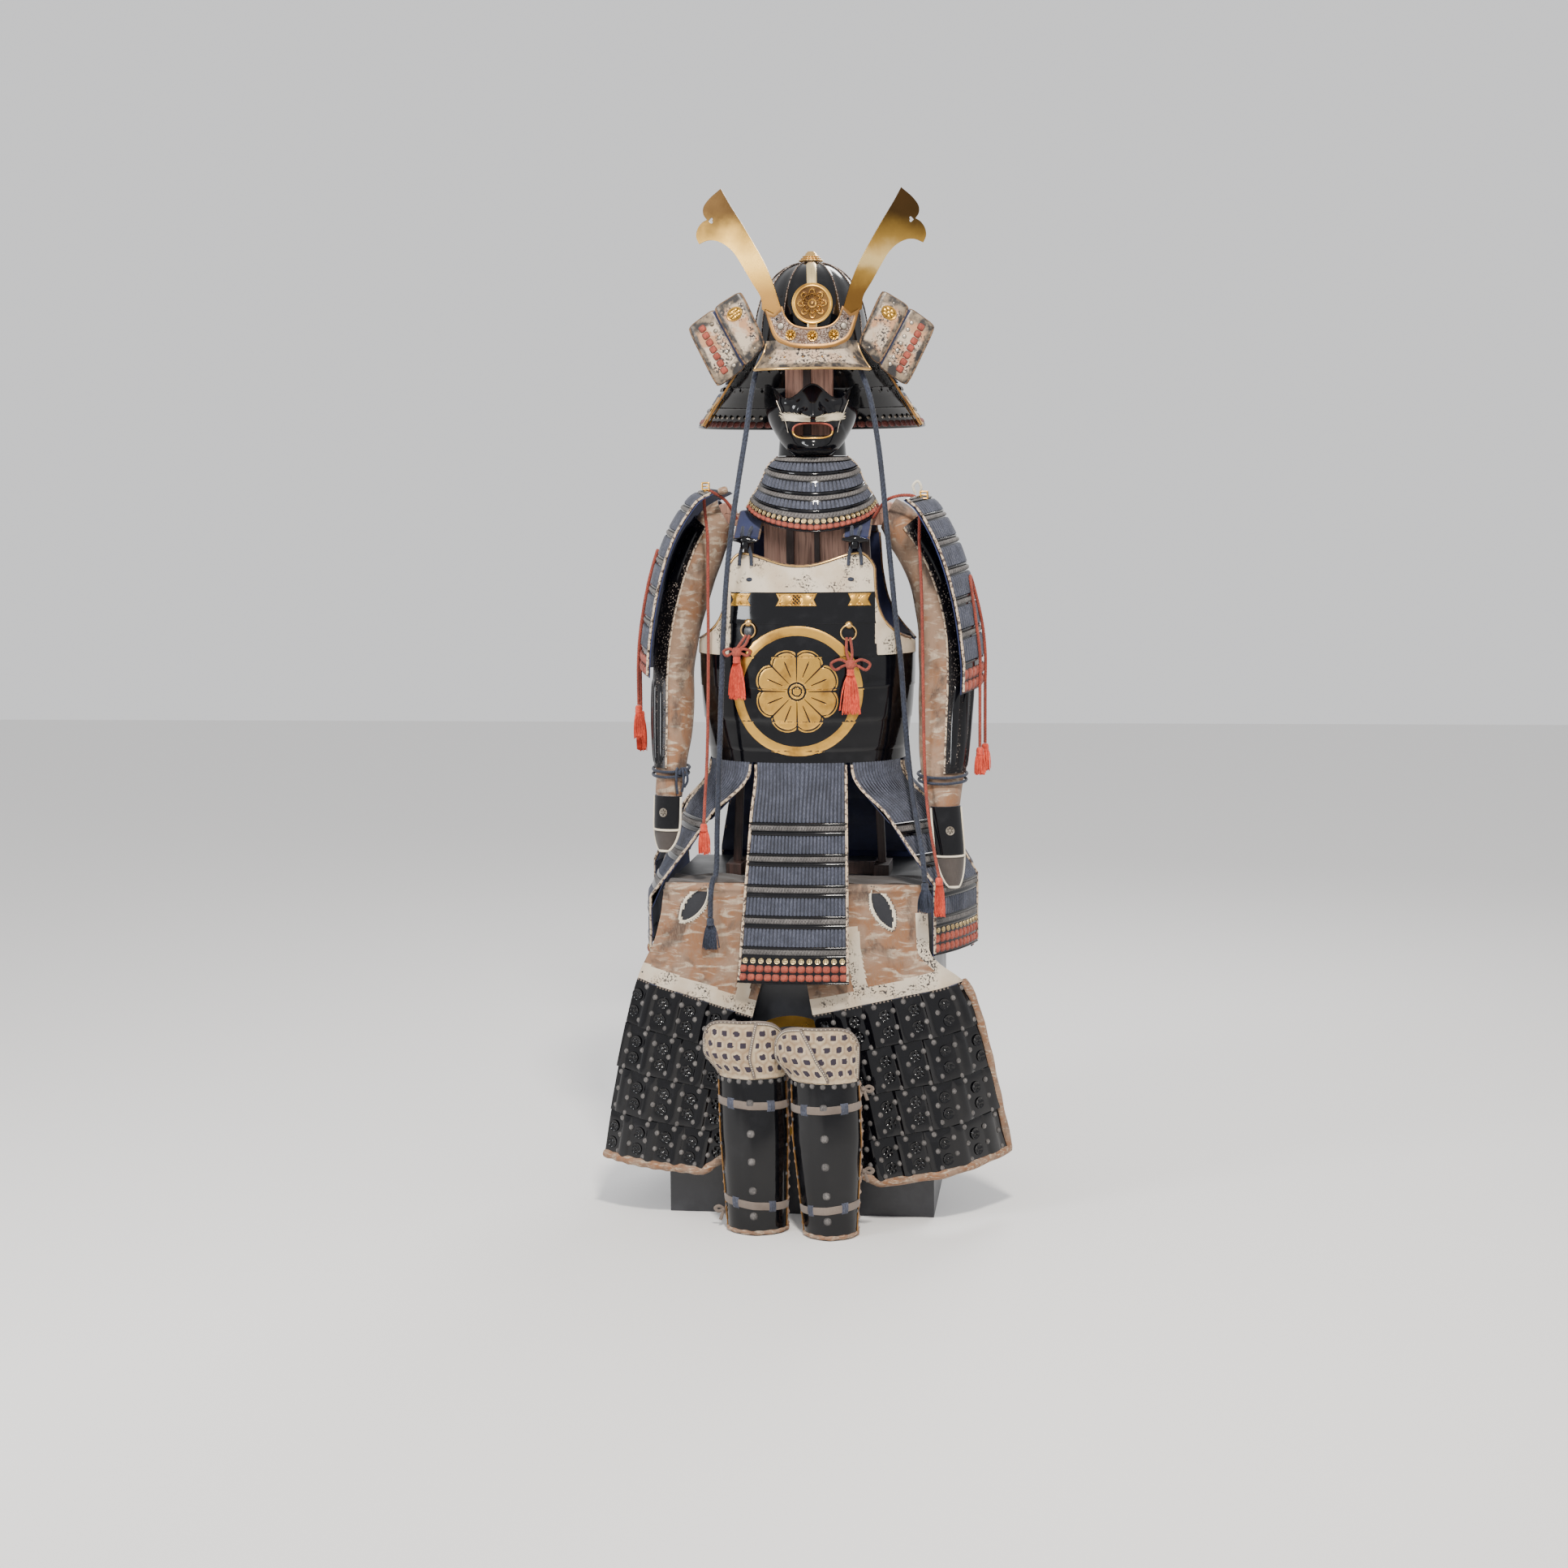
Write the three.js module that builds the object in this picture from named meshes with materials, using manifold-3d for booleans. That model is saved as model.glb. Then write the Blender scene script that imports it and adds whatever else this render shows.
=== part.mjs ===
// Samurai armour with its horned helmet and face mask, worn by a wooden stand that is set on the armour's chest.
// Millimetres, +Z up, the front faces -Y, the origin is the middle of the chest's underside.
// "left" and "right" are the viewer's, looking at the front.
import * as THREE from 'three';
import { mergeVertices } from 'three/addons/utils/BufferGeometryUtils.js';
import Module from 'manifold-3d';

const wasm = await Module();
wasm.setup();

// Driving sizes
const GAP = 0.3; // air between pieces that meet
const CLOTH = 3; // padded cloth with its lining
const PLATE = 2.5; // lacquered plate with its leather
const BODY_Y = -30; // the cuirass stands a little forward on the chest
const TURN = THREE.MathUtils.degToRad(7); // helmet and mask look a little to the right

const CHEST = { width: 470, depth: 380, height: 572, wall: 12, lidTop: 586, lidSkirt: 80, lidWall: 4 };
const CUIRASS = {
  hem: 802, bust: 985, armpit: 1014, breast: 1100,
  hemHalfWidth: 174, halfWidth: 193, hemHalfDepth: 132, halfDepth: 142,
  squareness: 0.9, lean: 22, leanOver: 165, lap: 1.2,
  armholeHalfWidth: 128, armholeFade: 28,
  seams: [822, 874, 932, 988, 1045],
};
const HEAD = { x: 7, rim: 1530, height: 145, halfWidth: 100, halfDepth: 116, roundness: 2.3, ribs: 12, rib: 2 };

const { lerp: mix, clamp, smoothstep, degToRad: rad } = THREE.MathUtils;
const { sin, cos, abs, sign, sqrt, PI } = Math;
const signedPower = (value, power) => sign(value) * abs(value) ** power;
const steps = (from, to, count) => Array.from({ length: count + 1 }, (_, i) => mix(from, to, i / count));

// Value of a column of a table at a place along its key column, on a smooth curve through the rows.
function column(rows, key, at, name) {
  const rising = rows[rows.length - 1][key] > rows[0][key] ? 1 : -1;
  let i = rows.findIndex((row) => (row[key] - at) * rising > 0);
  i = clamp((i < 0 ? rows.length : i) - 1, 0, rows.length - 2);
  const slope = (a, b) => (rows[b][name] - rows[a][name]) / (rows[b][key] - rows[a][key]);
  const before = slope(Math.max(i - 1, 0), i + 1);
  const after = slope(i, Math.min(i + 2, rows.length - 1));
  const span = rows[i + 1][key] - rows[i][key];
  const t = clamp((at - rows[i][key]) / span, 0, 1);
  return rows[i][name] * (1 + t * t * (2 * t - 3)) + rows[i + 1][name] * t * t * (3 - 2 * t)
    + before * span * t * (1 - t) ** 2 - after * span * t * t * (1 - t);
}

// Solids
function geometryOf(points, faces) {
  const made = new THREE.BufferGeometry();
  made.setAttribute('position', new THREE.Float32BufferAttribute(points.flat(), 3));
  const corner = (i) => new THREE.Vector3(...points[i]);
  let volume = 0;
  for (let i = 0; i < faces.length; i += 3)
    volume += corner(faces[i]).dot(corner(faces[i + 1]).cross(corner(faces[i + 2])));
  if (volume < 0) faces.reverse();
  made.setIndex(faces);
  return made;
}

// A closed wall between two sheets of points, each a function of u and v. A ring closes on itself along u.
function wallBetween(outer, inner, us, vs, ring = false) {
  const points = [outer, inner].flatMap((sheet) => vs.flatMap((v) => us.map((u) => sheet(u, v))));
  const at = (side, i, j) => side * us.length * vs.length + j * us.length + (i % us.length);
  const faces = [];
  const quad = (a, b, c, d) => faces.push(a, b, c, a, c, d);
  const across = ring ? us.length : us.length - 1;
  const down = vs.length - 1;
  for (let i = 0; i < across; i++) {
    for (let j = 0; j < down; j++) {
      quad(at(0, i, j), at(0, i + 1, j), at(0, i + 1, j + 1), at(0, i, j + 1));
      quad(at(1, i, j), at(1, i, j + 1), at(1, i + 1, j + 1), at(1, i + 1, j));
    }
    quad(at(1, i, 0), at(1, i + 1, 0), at(0, i + 1, 0), at(0, i, 0));
    quad(at(0, i, down), at(0, i + 1, down), at(1, i + 1, down), at(1, i, down));
  }
  for (let j = 0; j < down && !ring; j++) {
    quad(at(0, 0, j), at(0, 0, j + 1), at(1, 0, j + 1), at(1, 0, j));
    quad(at(1, across, j), at(1, across, j + 1), at(0, across, j + 1), at(0, across, j));
  }
  return geometryOf(points, faces);
}

function solid(geometry) {
  const bare = new THREE.BufferGeometry();
  bare.setAttribute('position', geometry.getAttribute('position').clone());
  if (geometry.index) bare.setIndex(geometry.index.clone());
  const merged = mergeVertices(bare, 1e-3);
  return new wasm.Manifold(new wasm.Mesh({
    numProp: 3,
    vertProperties: merged.attributes.position.array,
    triVerts: new Uint32Array(merged.index.array),
  }));
}

function fromSolid(made) {
  const mesh = made.getMesh();
  const geometry = new THREE.BufferGeometry();
  geometry.setAttribute('position', new THREE.BufferAttribute(mesh.vertProperties, 3));
  geometry.setIndex(new THREE.BufferAttribute(mesh.triVerts, 1));
  return geometry;
}

const join = (...geometries) => fromSolid(geometries.map(solid).reduce((sum, next) => sum.add(next)));
const cut = (body, ...tools) => fromSolid(tools.map(solid).reduce((rest, tool) => rest.subtract(tool), solid(body)));
const box = (x, y, z, at) => new THREE.BoxGeometry(x, y, z).translate(...at);
const prism = (outline, thick) => new THREE.ExtrudeGeometry(
  new THREE.Shape(outline.map(([x, y]) => new THREE.Vector2(x, y))), { depth: thick, bevelEnabled: false },
).rotateX(PI / 2); // the outline stands in X and Z, and runs from y = 0 to the front
const turned = (profile, sides) => new THREE.LatheGeometry( // the profile runs upwards, as radius and height
  profile.map(([r, z]) => new THREE.Vector2(r, z)), sides,
).rotateX(PI / 2);

function tube(points, diameter, count, sides = 8) {
  const ring = new THREE.Shape(steps(0, 2 * PI, sides).slice(0, sides).map(
    (a) => new THREE.Vector2(diameter / 2 * cos(a), diameter / 2 * sin(a)),
  ));
  const extrudePath = new THREE.CatmullRomCurve3(points.map((p) => new THREE.Vector3(...p)), false, 'centripetal');
  return new THREE.ExtrudeGeometry(ring, { steps: count, extrudePath });
}

// The finishes
const finish = Object.fromEntries(Object.entries({
  black_lacquer: [0x0b0b0d, 0.18, 0.1],
  gilt: [0xb8862f, 0.3, 0.9],
  silver_band: [0x8f8070, 0.45, 0.7],
  white_leather: [0xd9ccb8, 0.6, 0],
  blue_lacing: [0x3c4152, 0.85, 0],
  red_cord: [0xc0402a, 0.8, 0],
  fur_leather: [0xa5795a, 0.9, 0],
  black_mail: [0x191715, 0.5, 0.6],
  grey_cloth: [0x3d3a38, 0.9, 0],
  kikko_cloth: [0xcfc0a2, 0.85, 0],
  chest_lacquer: [0x15161b, 0.5, 0],
  stand_wood: [0x7a4a33, 0.7, 0],
}).map(([name, [color, roughness, metalness]]) => [
  name, new THREE.MeshStandardMaterial({ color, roughness, metalness }),
]));

const armour = new THREE.Group();
const head = new THREE.Group(); // turned about the middle of the helmet
head.position.set(HEAD.x, 0, 0);
head.rotation.z = TURN;
armour.add(head);

function piece(name, geometry, finishName, group = armour) {
  const mesh = new THREE.Mesh(geometry, finish[finishName]);
  mesh.name = name;
  group.add(mesh);
}

// Chest: an open box under an overlapping lid
function makeChest() {
  const { width, depth, height, wall: thick, lidTop, lidSkirt, lidWall } = CHEST;
  piece('chest_body', cut(
    box(width, depth, height, [0, 0, height / 2]),
    box(width - 2 * thick, depth - 2 * thick, height, [0, 0, height / 2 + thick]),
  ), 'chest_lacquer');
  const inside = [width + 2 * GAP, depth + 2 * GAP];
  piece('chest_lid', cut(
    box(inside[0] + 2 * lidWall, inside[1] + 2 * lidWall, lidSkirt, [0, 0, lidTop - lidSkirt / 2]),
    box(inside[0], inside[1], lidSkirt, [0, 0, height + GAP - lidSkirt / 2]),
  ), 'chest_lacquer');
}

// Stand: two splayed legs, a shoulder bar, a torso board and a head board under a rounded cap
const STAND = {
  bar: { halfLength: 146, low: 1213, high: 1235, front: -32, back: -8 },
  shoulderRadius: 19, legFoot: 126, legHead: 96, legSize: 14, footDepth: 90, footHeight: 22,
  torso: { halfWidth: 75, low: 960, high: 1282 }, headBoard: { halfWidth: 42, high: 1600 },
  board: 16, batten: 4, y: -20,
};

function makeStand() {
  const { bar, torso, headBoard, board, batten, y, legFoot, legHead, legSize, footDepth, footHeight } = STAND;
  const foot = CHEST.lidTop + GAP;
  const parts = [box(2 * bar.halfLength, bar.back - bar.front, bar.high - bar.low,
    [0, (bar.front + bar.back) / 2, (bar.low + bar.high) / 2])];
  for (const side of [-1, 1]) {
    const outline = [[legFoot, foot], [legFoot + legSize, foot], [legHead + legSize, bar.low + 1], [legHead, bar.low + 1]];
    parts.push(prism(outline.map(([x, z]) => [side * x, z]), legSize).translate(0, y + legSize / 2, 0));
    parts.push(box(2 * legSize, footDepth, footHeight, [side * (legFoot + legSize / 2), y, foot + footHeight / 2]));
    parts.push(turned([[0, -12], [STAND.shoulderRadius, -12], [STAND.shoulderRadius, 12], [0, 12]], 16)
      .rotateX(PI / 2).translate(side * bar.halfLength, y, bar.high));
  }
  parts.push(box(2 * (legFoot + legSize), legSize, footHeight, [0, y, foot + footHeight / 2]));

  // The boards are nailed to the front of the bar
  const boardY = bar.front + 1 - board / 2;
  parts.push(box(2 * torso.halfWidth, board, torso.high - torso.low, [0, boardY, (torso.low + torso.high) / 2]));
  parts.push(
    box(14, batten + 1, torso.high - torso.low, [-28, boardY - board / 2 - batten / 2 + 0.5, (torso.low + torso.high) / 2]),
    box(10, batten + 1, torso.high - torso.low, [20, boardY - board / 2 - batten / 2 + 0.5, (torso.low + torso.high) / 2]),
  );
  const low = torso.high - 1;
  parts.push(
    box(2 * headBoard.halfWidth, board, headBoard.high - low, [HEAD.x, boardY, (low + headBoard.high) / 2]),
    box(14, batten + 1, headBoard.high - low - 60, [HEAD.x - 3, boardY - board / 2 - batten / 2 + 0.5, (low + headBoard.high) / 2 - 30]),
    turned([[0, -1], [46, -1], [50, 40], [48, 54], [33.5, 65.5], [0, 67]], 16).translate(HEAD.x, 0, headBoard.high),
  );
  piece('stand', join(...parts), 'stand_wood');
}

// Cuirass
function cuirassPoint(angle, z, out = 0) {
  const { hem, bust, squareness, hemHalfWidth, halfWidth, hemHalfDepth, halfDepth, lean, leanOver } = CUIRASS;
  const fill = sin(clamp((z - hem) / (bust - hem), 0, 1) * PI / 2);
  const halfX = mix(hemHalfWidth, halfWidth, fill) + out;
  const halfY = mix(hemHalfDepth, halfDepth, fill) - lean * Math.max(0, (z - bust) / leanOver) ** 1.5 + out;
  return [halfX * signedPower(sin(angle), squareness), BODY_Y - halfY * signedPower(cos(angle), squareness), z];
}
const cuirassAngle = (x) => Math.asin(clamp(x / CUIRASS.halfWidth, -1, 1) ** (1 / CUIRASS.squareness));
const NEARLY_SIDE = rad(89.93);

// How far round from the front (or from the back) the plates reach at a height, up to the armhole's edge
function plateReach(z, edge, fade) {
  if (z <= CUIRASS.armpit) return NEARLY_SIDE;
  return Math.min(NEARLY_SIDE, cuirassAngle(edge + (CUIRASS.halfWidth - 2 - edge) * Math.exp((CUIRASS.armpit - z) / fade)));
}
const frontReach = (z) => plateReach(z, CUIRASS.armholeHalfWidth, CUIRASS.armholeFade);
const backReach = (z) => plateReach(z, 122, 45);

function neckline(x) {
  const share = abs(x) / 97;
  return 1145 + 22 * sin(Math.min(share, 1) * PI / 2) ** 2 - 240 * Math.max(0, share - 1) ** 2;
}

function makeCuirass() {
  const { hem, breast, armpit, seams, lap } = CUIRASS;
  const lowered = [...seams, breast - GAP];
  const frontRows = [hem, ...seams.flatMap((z) => [z - 0.5, z + 0.5]), armpit, 1030, 1070, breast - GAP].sort((a, b) => a - b);
  const lapAt = (z) => { // each plate leans out by the lap at its lower edge
    const i = lowered.findIndex((top) => z < top);
    const low = i <= 0 ? hem : lowered[i - 1];
    return i < 0 ? 0 : lap * (1 - (z - low) / (lowered[i] - low));
  };
  const front = (out) => (u, z) => cuirassPoint(u * frontReach(z), z, out + lapAt(z));
  piece('cuirass_front', wallBetween(front(0), front(-CLOTH), steps(-1, 1, 12), frontRows), 'black_lacquer');

  const breastHeight = (u, v) => mix(breast, neckline(CUIRASS.armholeHalfWidth * u), v);
  const breastSheet = (out) => (u, v) => cuirassPoint(u * frontReach(breastHeight(u, v)), breastHeight(u, v), out);
  piece('cuirass_breast', wallBetween(breastSheet(0.5), breastSheet(-CLOTH), steps(-1, 1, 12), steps(0, 1, 2)), 'white_leather');

  const backTop = (u) => 1199 + 6 * Math.max(0, 1 - (u / 0.5) ** 2);
  const backHeight = (u, v) => (v <= 1 ? mix(hem, armpit, v) : mix(armpit, backTop(u), v - 1));
  const backSheet = (out) => (u, v) => {
    const z = backHeight(u, v);
    return cuirassPoint(PI + u * backReach(z), z, out);
  };
  piece('cuirass_back', wallBetween(backSheet(0), backSheet(-CLOTH), steps(-1, 1, 12),
    [0, 0.5, 1, 1.1, 1.3, 2]), 'black_lacquer');
}

// Shoulder straps over the bar, with a toggle that ties each to the breast
const STRAP = {
  inner: 75.6, outer: 118, thick: 6,
  profile: [ // underside, from the back plate's edge over the bar to the front
    { y: 80, z: 1199.4 }, { y: 58, z: 1199.4 }, { y: 25, z: 1227 }, { y: -6, z: 1235.3 }, { y: -34, z: 1235.3 },
    { y: -65, z: 1220 }, { y: -100, z: 1202 }, { y: -124, z: 1190 },
  ],
};
function makeStraps() {
  for (const [side, name] of [[-1, 'left'], [1, 'right']]) {
    const { profile, inner, outer, thick } = STRAP;
    const sheet = (up) => (u, i) => [side * mix(inner, outer, u), profile[i].y, profile[i].z + up];
    const strap = wallBetween(sheet(thick), sheet(0), [0, 1], profile.keys().toArray());
    const x = side * 96;
    const spindle = turned([[0, -21], [3, -19], [7, -5], [7, 5], [3, 19], [0, 21]], 8)
      .rotateY(PI / 2).translate(x, -143, 1190);
    const legs = [-8, 8].map((dx) => tube([[x + dx, -144, 1192],
      [x + 1.2 * dx, frontSurface(x + 1.2 * dx, 1166, 5), 1170], [x + 1.4 * dx, frontSurface(x + 1.4 * dx, 1148, 4.6), 1148]], 6, 2, 5));
    const neck = tube([[x, -143, 1191], [x, -130, 1195], [x, -122, 1195]], 7, 2, 5);
    piece(`strap_${name}`, join(strap, spindle, ...legs, neck), 'blue_lacing');
  }
}

// Lacing and lames: an offset along the way down, each lame's upper edge standing proud of the one above
function lameRows(cords, tops, bottom, proud) {
  const rows = [{ z: cords, out: 0 }];
  tops.forEach((top, i) => {
    rows.push({ z: top, out: proud });
    rows.push({ z: (tops[i + 1] ?? bottom - 1.5) + 1.5, out: i + 1 < tops.length ? 0.6 : proud });
  });
  return rows;
}

// Tassets: seven hanging panels. Each starts along the hem and settles on its own line outside the chest.
const TASSETS = [
  { name: 'front', angle: 0, spread: 25, topHalf: 82, x: -7, y: -243, facing: 0, half: 98, bottom: 425, settle: 425 },
  { name: 'front_left', angle: -51, spread: 23.5, topHalf: 66, x: -287, y: -62, facing: -84, half: 83, bottom: 456, settle: 560 },
  { name: 'side_left', angle: -100, spread: 22, topHalf: 62, x: -284, y: 128, facing: -104, half: 80, bottom: 456, settle: 600 },
  { name: 'back_left', angle: -153, spread: 22, topHalf: 62, x: -112, y: 226, facing: -174, half: 84, bottom: 450, settle: 600 },
  { name: 'front_right', angle: 51, spread: 23.5, topHalf: 66, x: 277, y: -137, facing: 66, half: 84, bottom: 472, settle: 596 },
  { name: 'side_right', angle: 100, spread: 22, topHalf: 62, x: 288, y: 62, facing: 98, half: 84, bottom: 456, settle: 600 },
  { name: 'back_right', angle: 153, spread: 22, topHalf: 62, x: 112, y: 226, facing: 174, half: 84, bottom: 450, settle: 600 },
];
const TASSET = { cordsEnd: 699, pitch: 53, lames: 5, proud: 4, sag: 9, seat: 0.35 };

function tassetPoint(row, s, z, out) {
  const top = CUIRASS.hem - TASSET.seat;
  const way = clamp((top - z) / (top - row.settle), 0, 1);
  const onHem = cuirassPoint(rad(row.angle + s * row.spread), CUIRASS.hem, out);
  const [startX, startY] = cuirassPoint(rad(row.angle), CUIRASS.hem, out);
  const facing = rad(mix(row.angle, row.facing, way));
  const half = mix(row.topHalf, row.half, way);
  const reach = out - TASSET.sag * s * s;
  const x = mix(startX, row.x, way) + cos(facing) * s * half + sin(facing) * reach;
  const y = mix(startY, row.y, way) + sin(facing) * s * half - cos(facing) * reach;
  const free = smoothstep(top - z, 0, 90);
  return [mix(onHem[0], x, free), mix(onHem[1], y, free), z];
}

function makeTassets() {
  for (const row of TASSETS) {
    const tops = steps(0, TASSET.lames - 1, TASSET.lames - 1).map((i) => TASSET.cordsEnd - i * TASSET.pitch)
      .filter((z) => z > row.bottom + 15);
    const rows = lameRows(CUIRASS.hem - TASSET.seat, tops, row.bottom, TASSET.proud);
    rows.splice(1, 0, { z: 775, out: 0 }, { z: 735, out: 0 }, { z: tops[0] + 1.5, out: 0 });
    const sheet = (thick) => (s, i) => tassetPoint(row, s, rows[i].z, rows[i].out - thick);
    piece(`tasset_${row.name}`, wallBetween(sheet(0), sheet(PLATE), steps(-1, 1, 4), rows.keys().toArray()), 'blue_lacing');
  }
}

// Sleeves: tubes through a table of rings, with plates and mail on their outer side and a guard over the hand
const SLEEVES = {
  left: [
    { x: 146, y: -24, z: 1234, tilt: 62, rx: 30, ry: 44 },
    { x: 170, y: -26, z: 1208, tilt: 38, rx: 37, ry: 50 },
    { x: 199, y: -32, z: 1145, tilt: 16, rx: 42, ry: 54 },
    { x: 226, y: -40, z: 1050, tilt: 8, rx: 39, ry: 53 },
    { x: 237, y: -54, z: 962, tilt: 2, rx: 36, ry: 48 },
    { x: 236, y: -80, z: 873, tilt: 0, rx: 36, ry: 43 },
    { x: 237, y: -108, z: 790, tilt: 0, rx: 28, ry: 35 },
    { x: 240, y: -124, z: 736, tilt: 0, rx: 24, ry: 30 },
  ],
  right: [
    { x: 146, y: -24, z: 1234, tilt: 62, rx: 30, ry: 44 },
    { x: 172, y: -26, z: 1206, tilt: 40, rx: 37, ry: 50 },
    { x: 214, y: -32, z: 1138, tilt: 22, rx: 40, ry: 54 },
    { x: 241, y: -40, z: 1050, tilt: 6, rx: 45, ry: 54 },
    { x: 248, y: -56, z: 962, tilt: 0, rx: 48, ry: 50 },
    { x: 247, y: -84, z: 873, tilt: 0, rx: 45, ry: 46 },
    { x: 246, y: -116, z: 784, tilt: 0, rx: 39, ry: 38 },
    { x: 250, y: -138, z: 724, tilt: 0, rx: 28, ry: 31 },
  ],
};

// A point on the sleeve: along counts rings from the shoulder, angle turns from the outer side to the front
function sleevePoint(side, along, angle, out = 0) {
  const rows = SLEEVES[side < 0 ? 'left' : 'right'].map((row, i) => ({ ...row, i }));
  const at = (name) => column(rows, 'i', along, name);
  const tilt = rad(at('tilt'));
  const reach = (at('rx') + out) * cos(angle);
  return [
    side * (at('x') + reach * cos(tilt)),
    at('y') - (at('ry') + out) * sin(angle),
    at('z') + reach * sin(tilt),
  ];
}

const ARM_PLATES = { rings: [1, 2, 3, 4, 5, 6], spread: rad(75), lift: 2.2, thick: 2 };
const HANDS = { // back of each hand: the middle of the wrist edge, the fingers' end, and half the width
  left: { top: [-243, -160.6, 742], end: [-246, -165, 645], half: 27, facing: -22 },
  right: { top: [259, -170.6, 728], end: [272, -191, 590], half: 27, facing: 20 },
};
function makeSleeves() {
  for (const [side, name] of [[-1, 'left'], [1, 'right']]) {
    const around = steps(0, 2 * PI, 12).slice(0, 12);
    const along = steps(0, 7, 7);
    const skin = (out) => (angle, i) => sleevePoint(side, i, angle, out);
    piece(`sleeve_${name}`, wallBetween(skin(0), skin(-CLOTH), around, along, true), 'fur_leather');

    // Splints: every other strip along the arm stands proud of the mail between them
    const { rings, spread, lift, thick } = ARM_PLATES;
    const strips = steps(-spread, spread, 10);
    const proud = (angle) => (strips.indexOf(angle) % 2 ? lift : 0);
    const plate = (angle, i) => sleevePoint(side, i, angle, GAP + 0.3 + thick + proud(angle));
    const back = (angle, i) => sleevePoint(side, i, angle, GAP + 0.3);
    piece(`arm_plates_${name}`, wallBetween(plate, back, strips, rings), 'black_mail');

    const { top, end, half, facing } = HANDS[name];
    const guard = (out) => (u, v) => {
      const width = half * sqrt(Math.max(0, 1 - Math.max(0, v - 0.45) ** 2 / 0.34));
      const bend = u * 1.15;
      const across = width * sin(bend) / sin(1.15);
      const depth = (width + 4) * (cos(bend) - 1) * 0.75 + out;
      const turn = rad(facing);
      return [
        mix(top[0], end[0], v) + cos(turn) * across + sin(turn) * depth,
        mix(top[1], end[1], v) + sin(turn) * across - cos(turn) * depth,
        mix(top[2], end[2], v),
      ];
    };
    piece(`hand_guard_${name}`, wallBetween(guard(0), guard(-PLATE), steps(-1, 1, 6), [0, 0.45, 0.7, 0.86, 0.95, 1]), 'black_lacquer');
  }
}

// Shoulder guards: laced lames outside each sleeve, seen edge-on from the front
const SHOULDER_GUARD = {
  left: [
    { v: 0, x: 179.5, z: 1278.6 }, { v: 0.12, x: 207.4, z: 1261.6 }, { v: 0.35, x: 250, z: 1193 },
    { v: 0.6, x: 277, z: 1105 }, { v: 0.85, x: 293, z: 1010 }, { v: 1, x: 296, z: 959 },
  ],
  right: [
    { v: 0, x: 214, z: 1266 }, { v: 0.12, x: 236, z: 1246 }, { v: 0.35, x: 272, z: 1176 },
    { v: 0.6, x: 298, z: 1086 }, { v: 0.85, x: 312, z: 988 }, { v: 1, x: 312, z: 930 },
  ],
  y: -42, halfWidth: 122, curve: 30, lames: 6, proud: 3,
};
function shoulderGuardPoint(side, s, v, out) {
  const rows = SHOULDER_GUARD[side < 0 ? 'left' : 'right'];
  const bend = SHOULDER_GUARD.curve * s * s;
  const x = column(rows, 'v', v, 'x') - bend + out;
  return [side * x, SHOULDER_GUARD.y + s * SHOULDER_GUARD.halfWidth, column(rows, 'v', v, 'z') - 0.25 * bend + 0.3 * out];
}
function makeShoulderGuards() {
  const { lames, proud } = SHOULDER_GUARD;
  const rows = [{ v: 0, out: 0 }];
  for (let i = 1; i <= lames; i++) {
    const top = i / (lames + 1);
    rows.push({ v: top, out: proud });
    rows.push({ v: (i + 1) / (lames + 1) - (i < lames ? 0.01 : 0), out: i < lames ? 0.5 : proud });
  }
  for (const [side, name] of [[-1, 'left'], [1, 'right']]) {
    const sheet = (thick) => (s, i) => shoulderGuardPoint(side, s, rows[i].v, rows[i].out - thick);
    piece(`shoulder_guard_${name}`, wallBetween(sheet(0), sheet(PLATE), steps(-1, 1, 4), rows.keys().toArray()), 'blue_lacing');
  }
}

// Thigh guards: cloth that lies on the lid's front edge and hangs, with scales on its lower half
const THIGH_GUARDS = {
  left: {
    side: -1, bandInner: 360, bandOuter: 424, low: 84, lowOuter: 102, wrap: 48,
    edges: [ // inner and outer edge down the front
      { z: 586, inner: 12, outer: 236 }, { z: 500, inner: 38, outer: 252 }, { z: 424, inner: 64, outer: 286 },
      { z: 350, inner: 84, outer: 306 }, { z: 200, inner: 116, outer: 336 }, { z: 80, inner: 140, outer: 354 },
    ],
  },
  right: {
    side: 1, bandInner: 364, bandOuter: 424, low: 66, lowOuter: 108, wrap: 108,
    edges: [
      { z: 586, inner: 4, outer: 222 }, { z: 500, inner: 6, outer: 226 }, { z: 470, inner: 8, outer: 232 }, { z: 424, inner: 13, outer: 284 },
      { z: 350, inner: 28, outer: 312 }, { z: 200, inner: 72, outer: 344 }, { z: 60, inner: 110, outer: 372 },
    ],
  },
};
const LID_FRONT = -(CHEST.depth / 2 + GAP + CHEST.lidWall);
const OVER_LID = [ // the cloth's inner face from the lid's top over its front edge
  { v: 0, y: LID_FRONT + 28, z: CHEST.lidTop + GAP }, { v: 0.04, y: LID_FRONT - GAP, z: CHEST.lidTop + GAP },
  { v: 0.07, y: LID_FRONT - GAP - 0.4, z: CHEST.lidTop - 3 },
];
const hangingFront = (z) => LID_FRONT - GAP - 0.8 - 34 * (clamp((CHEST.lidTop - z) / 500, 0, 1)) ** 1.2;

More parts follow.
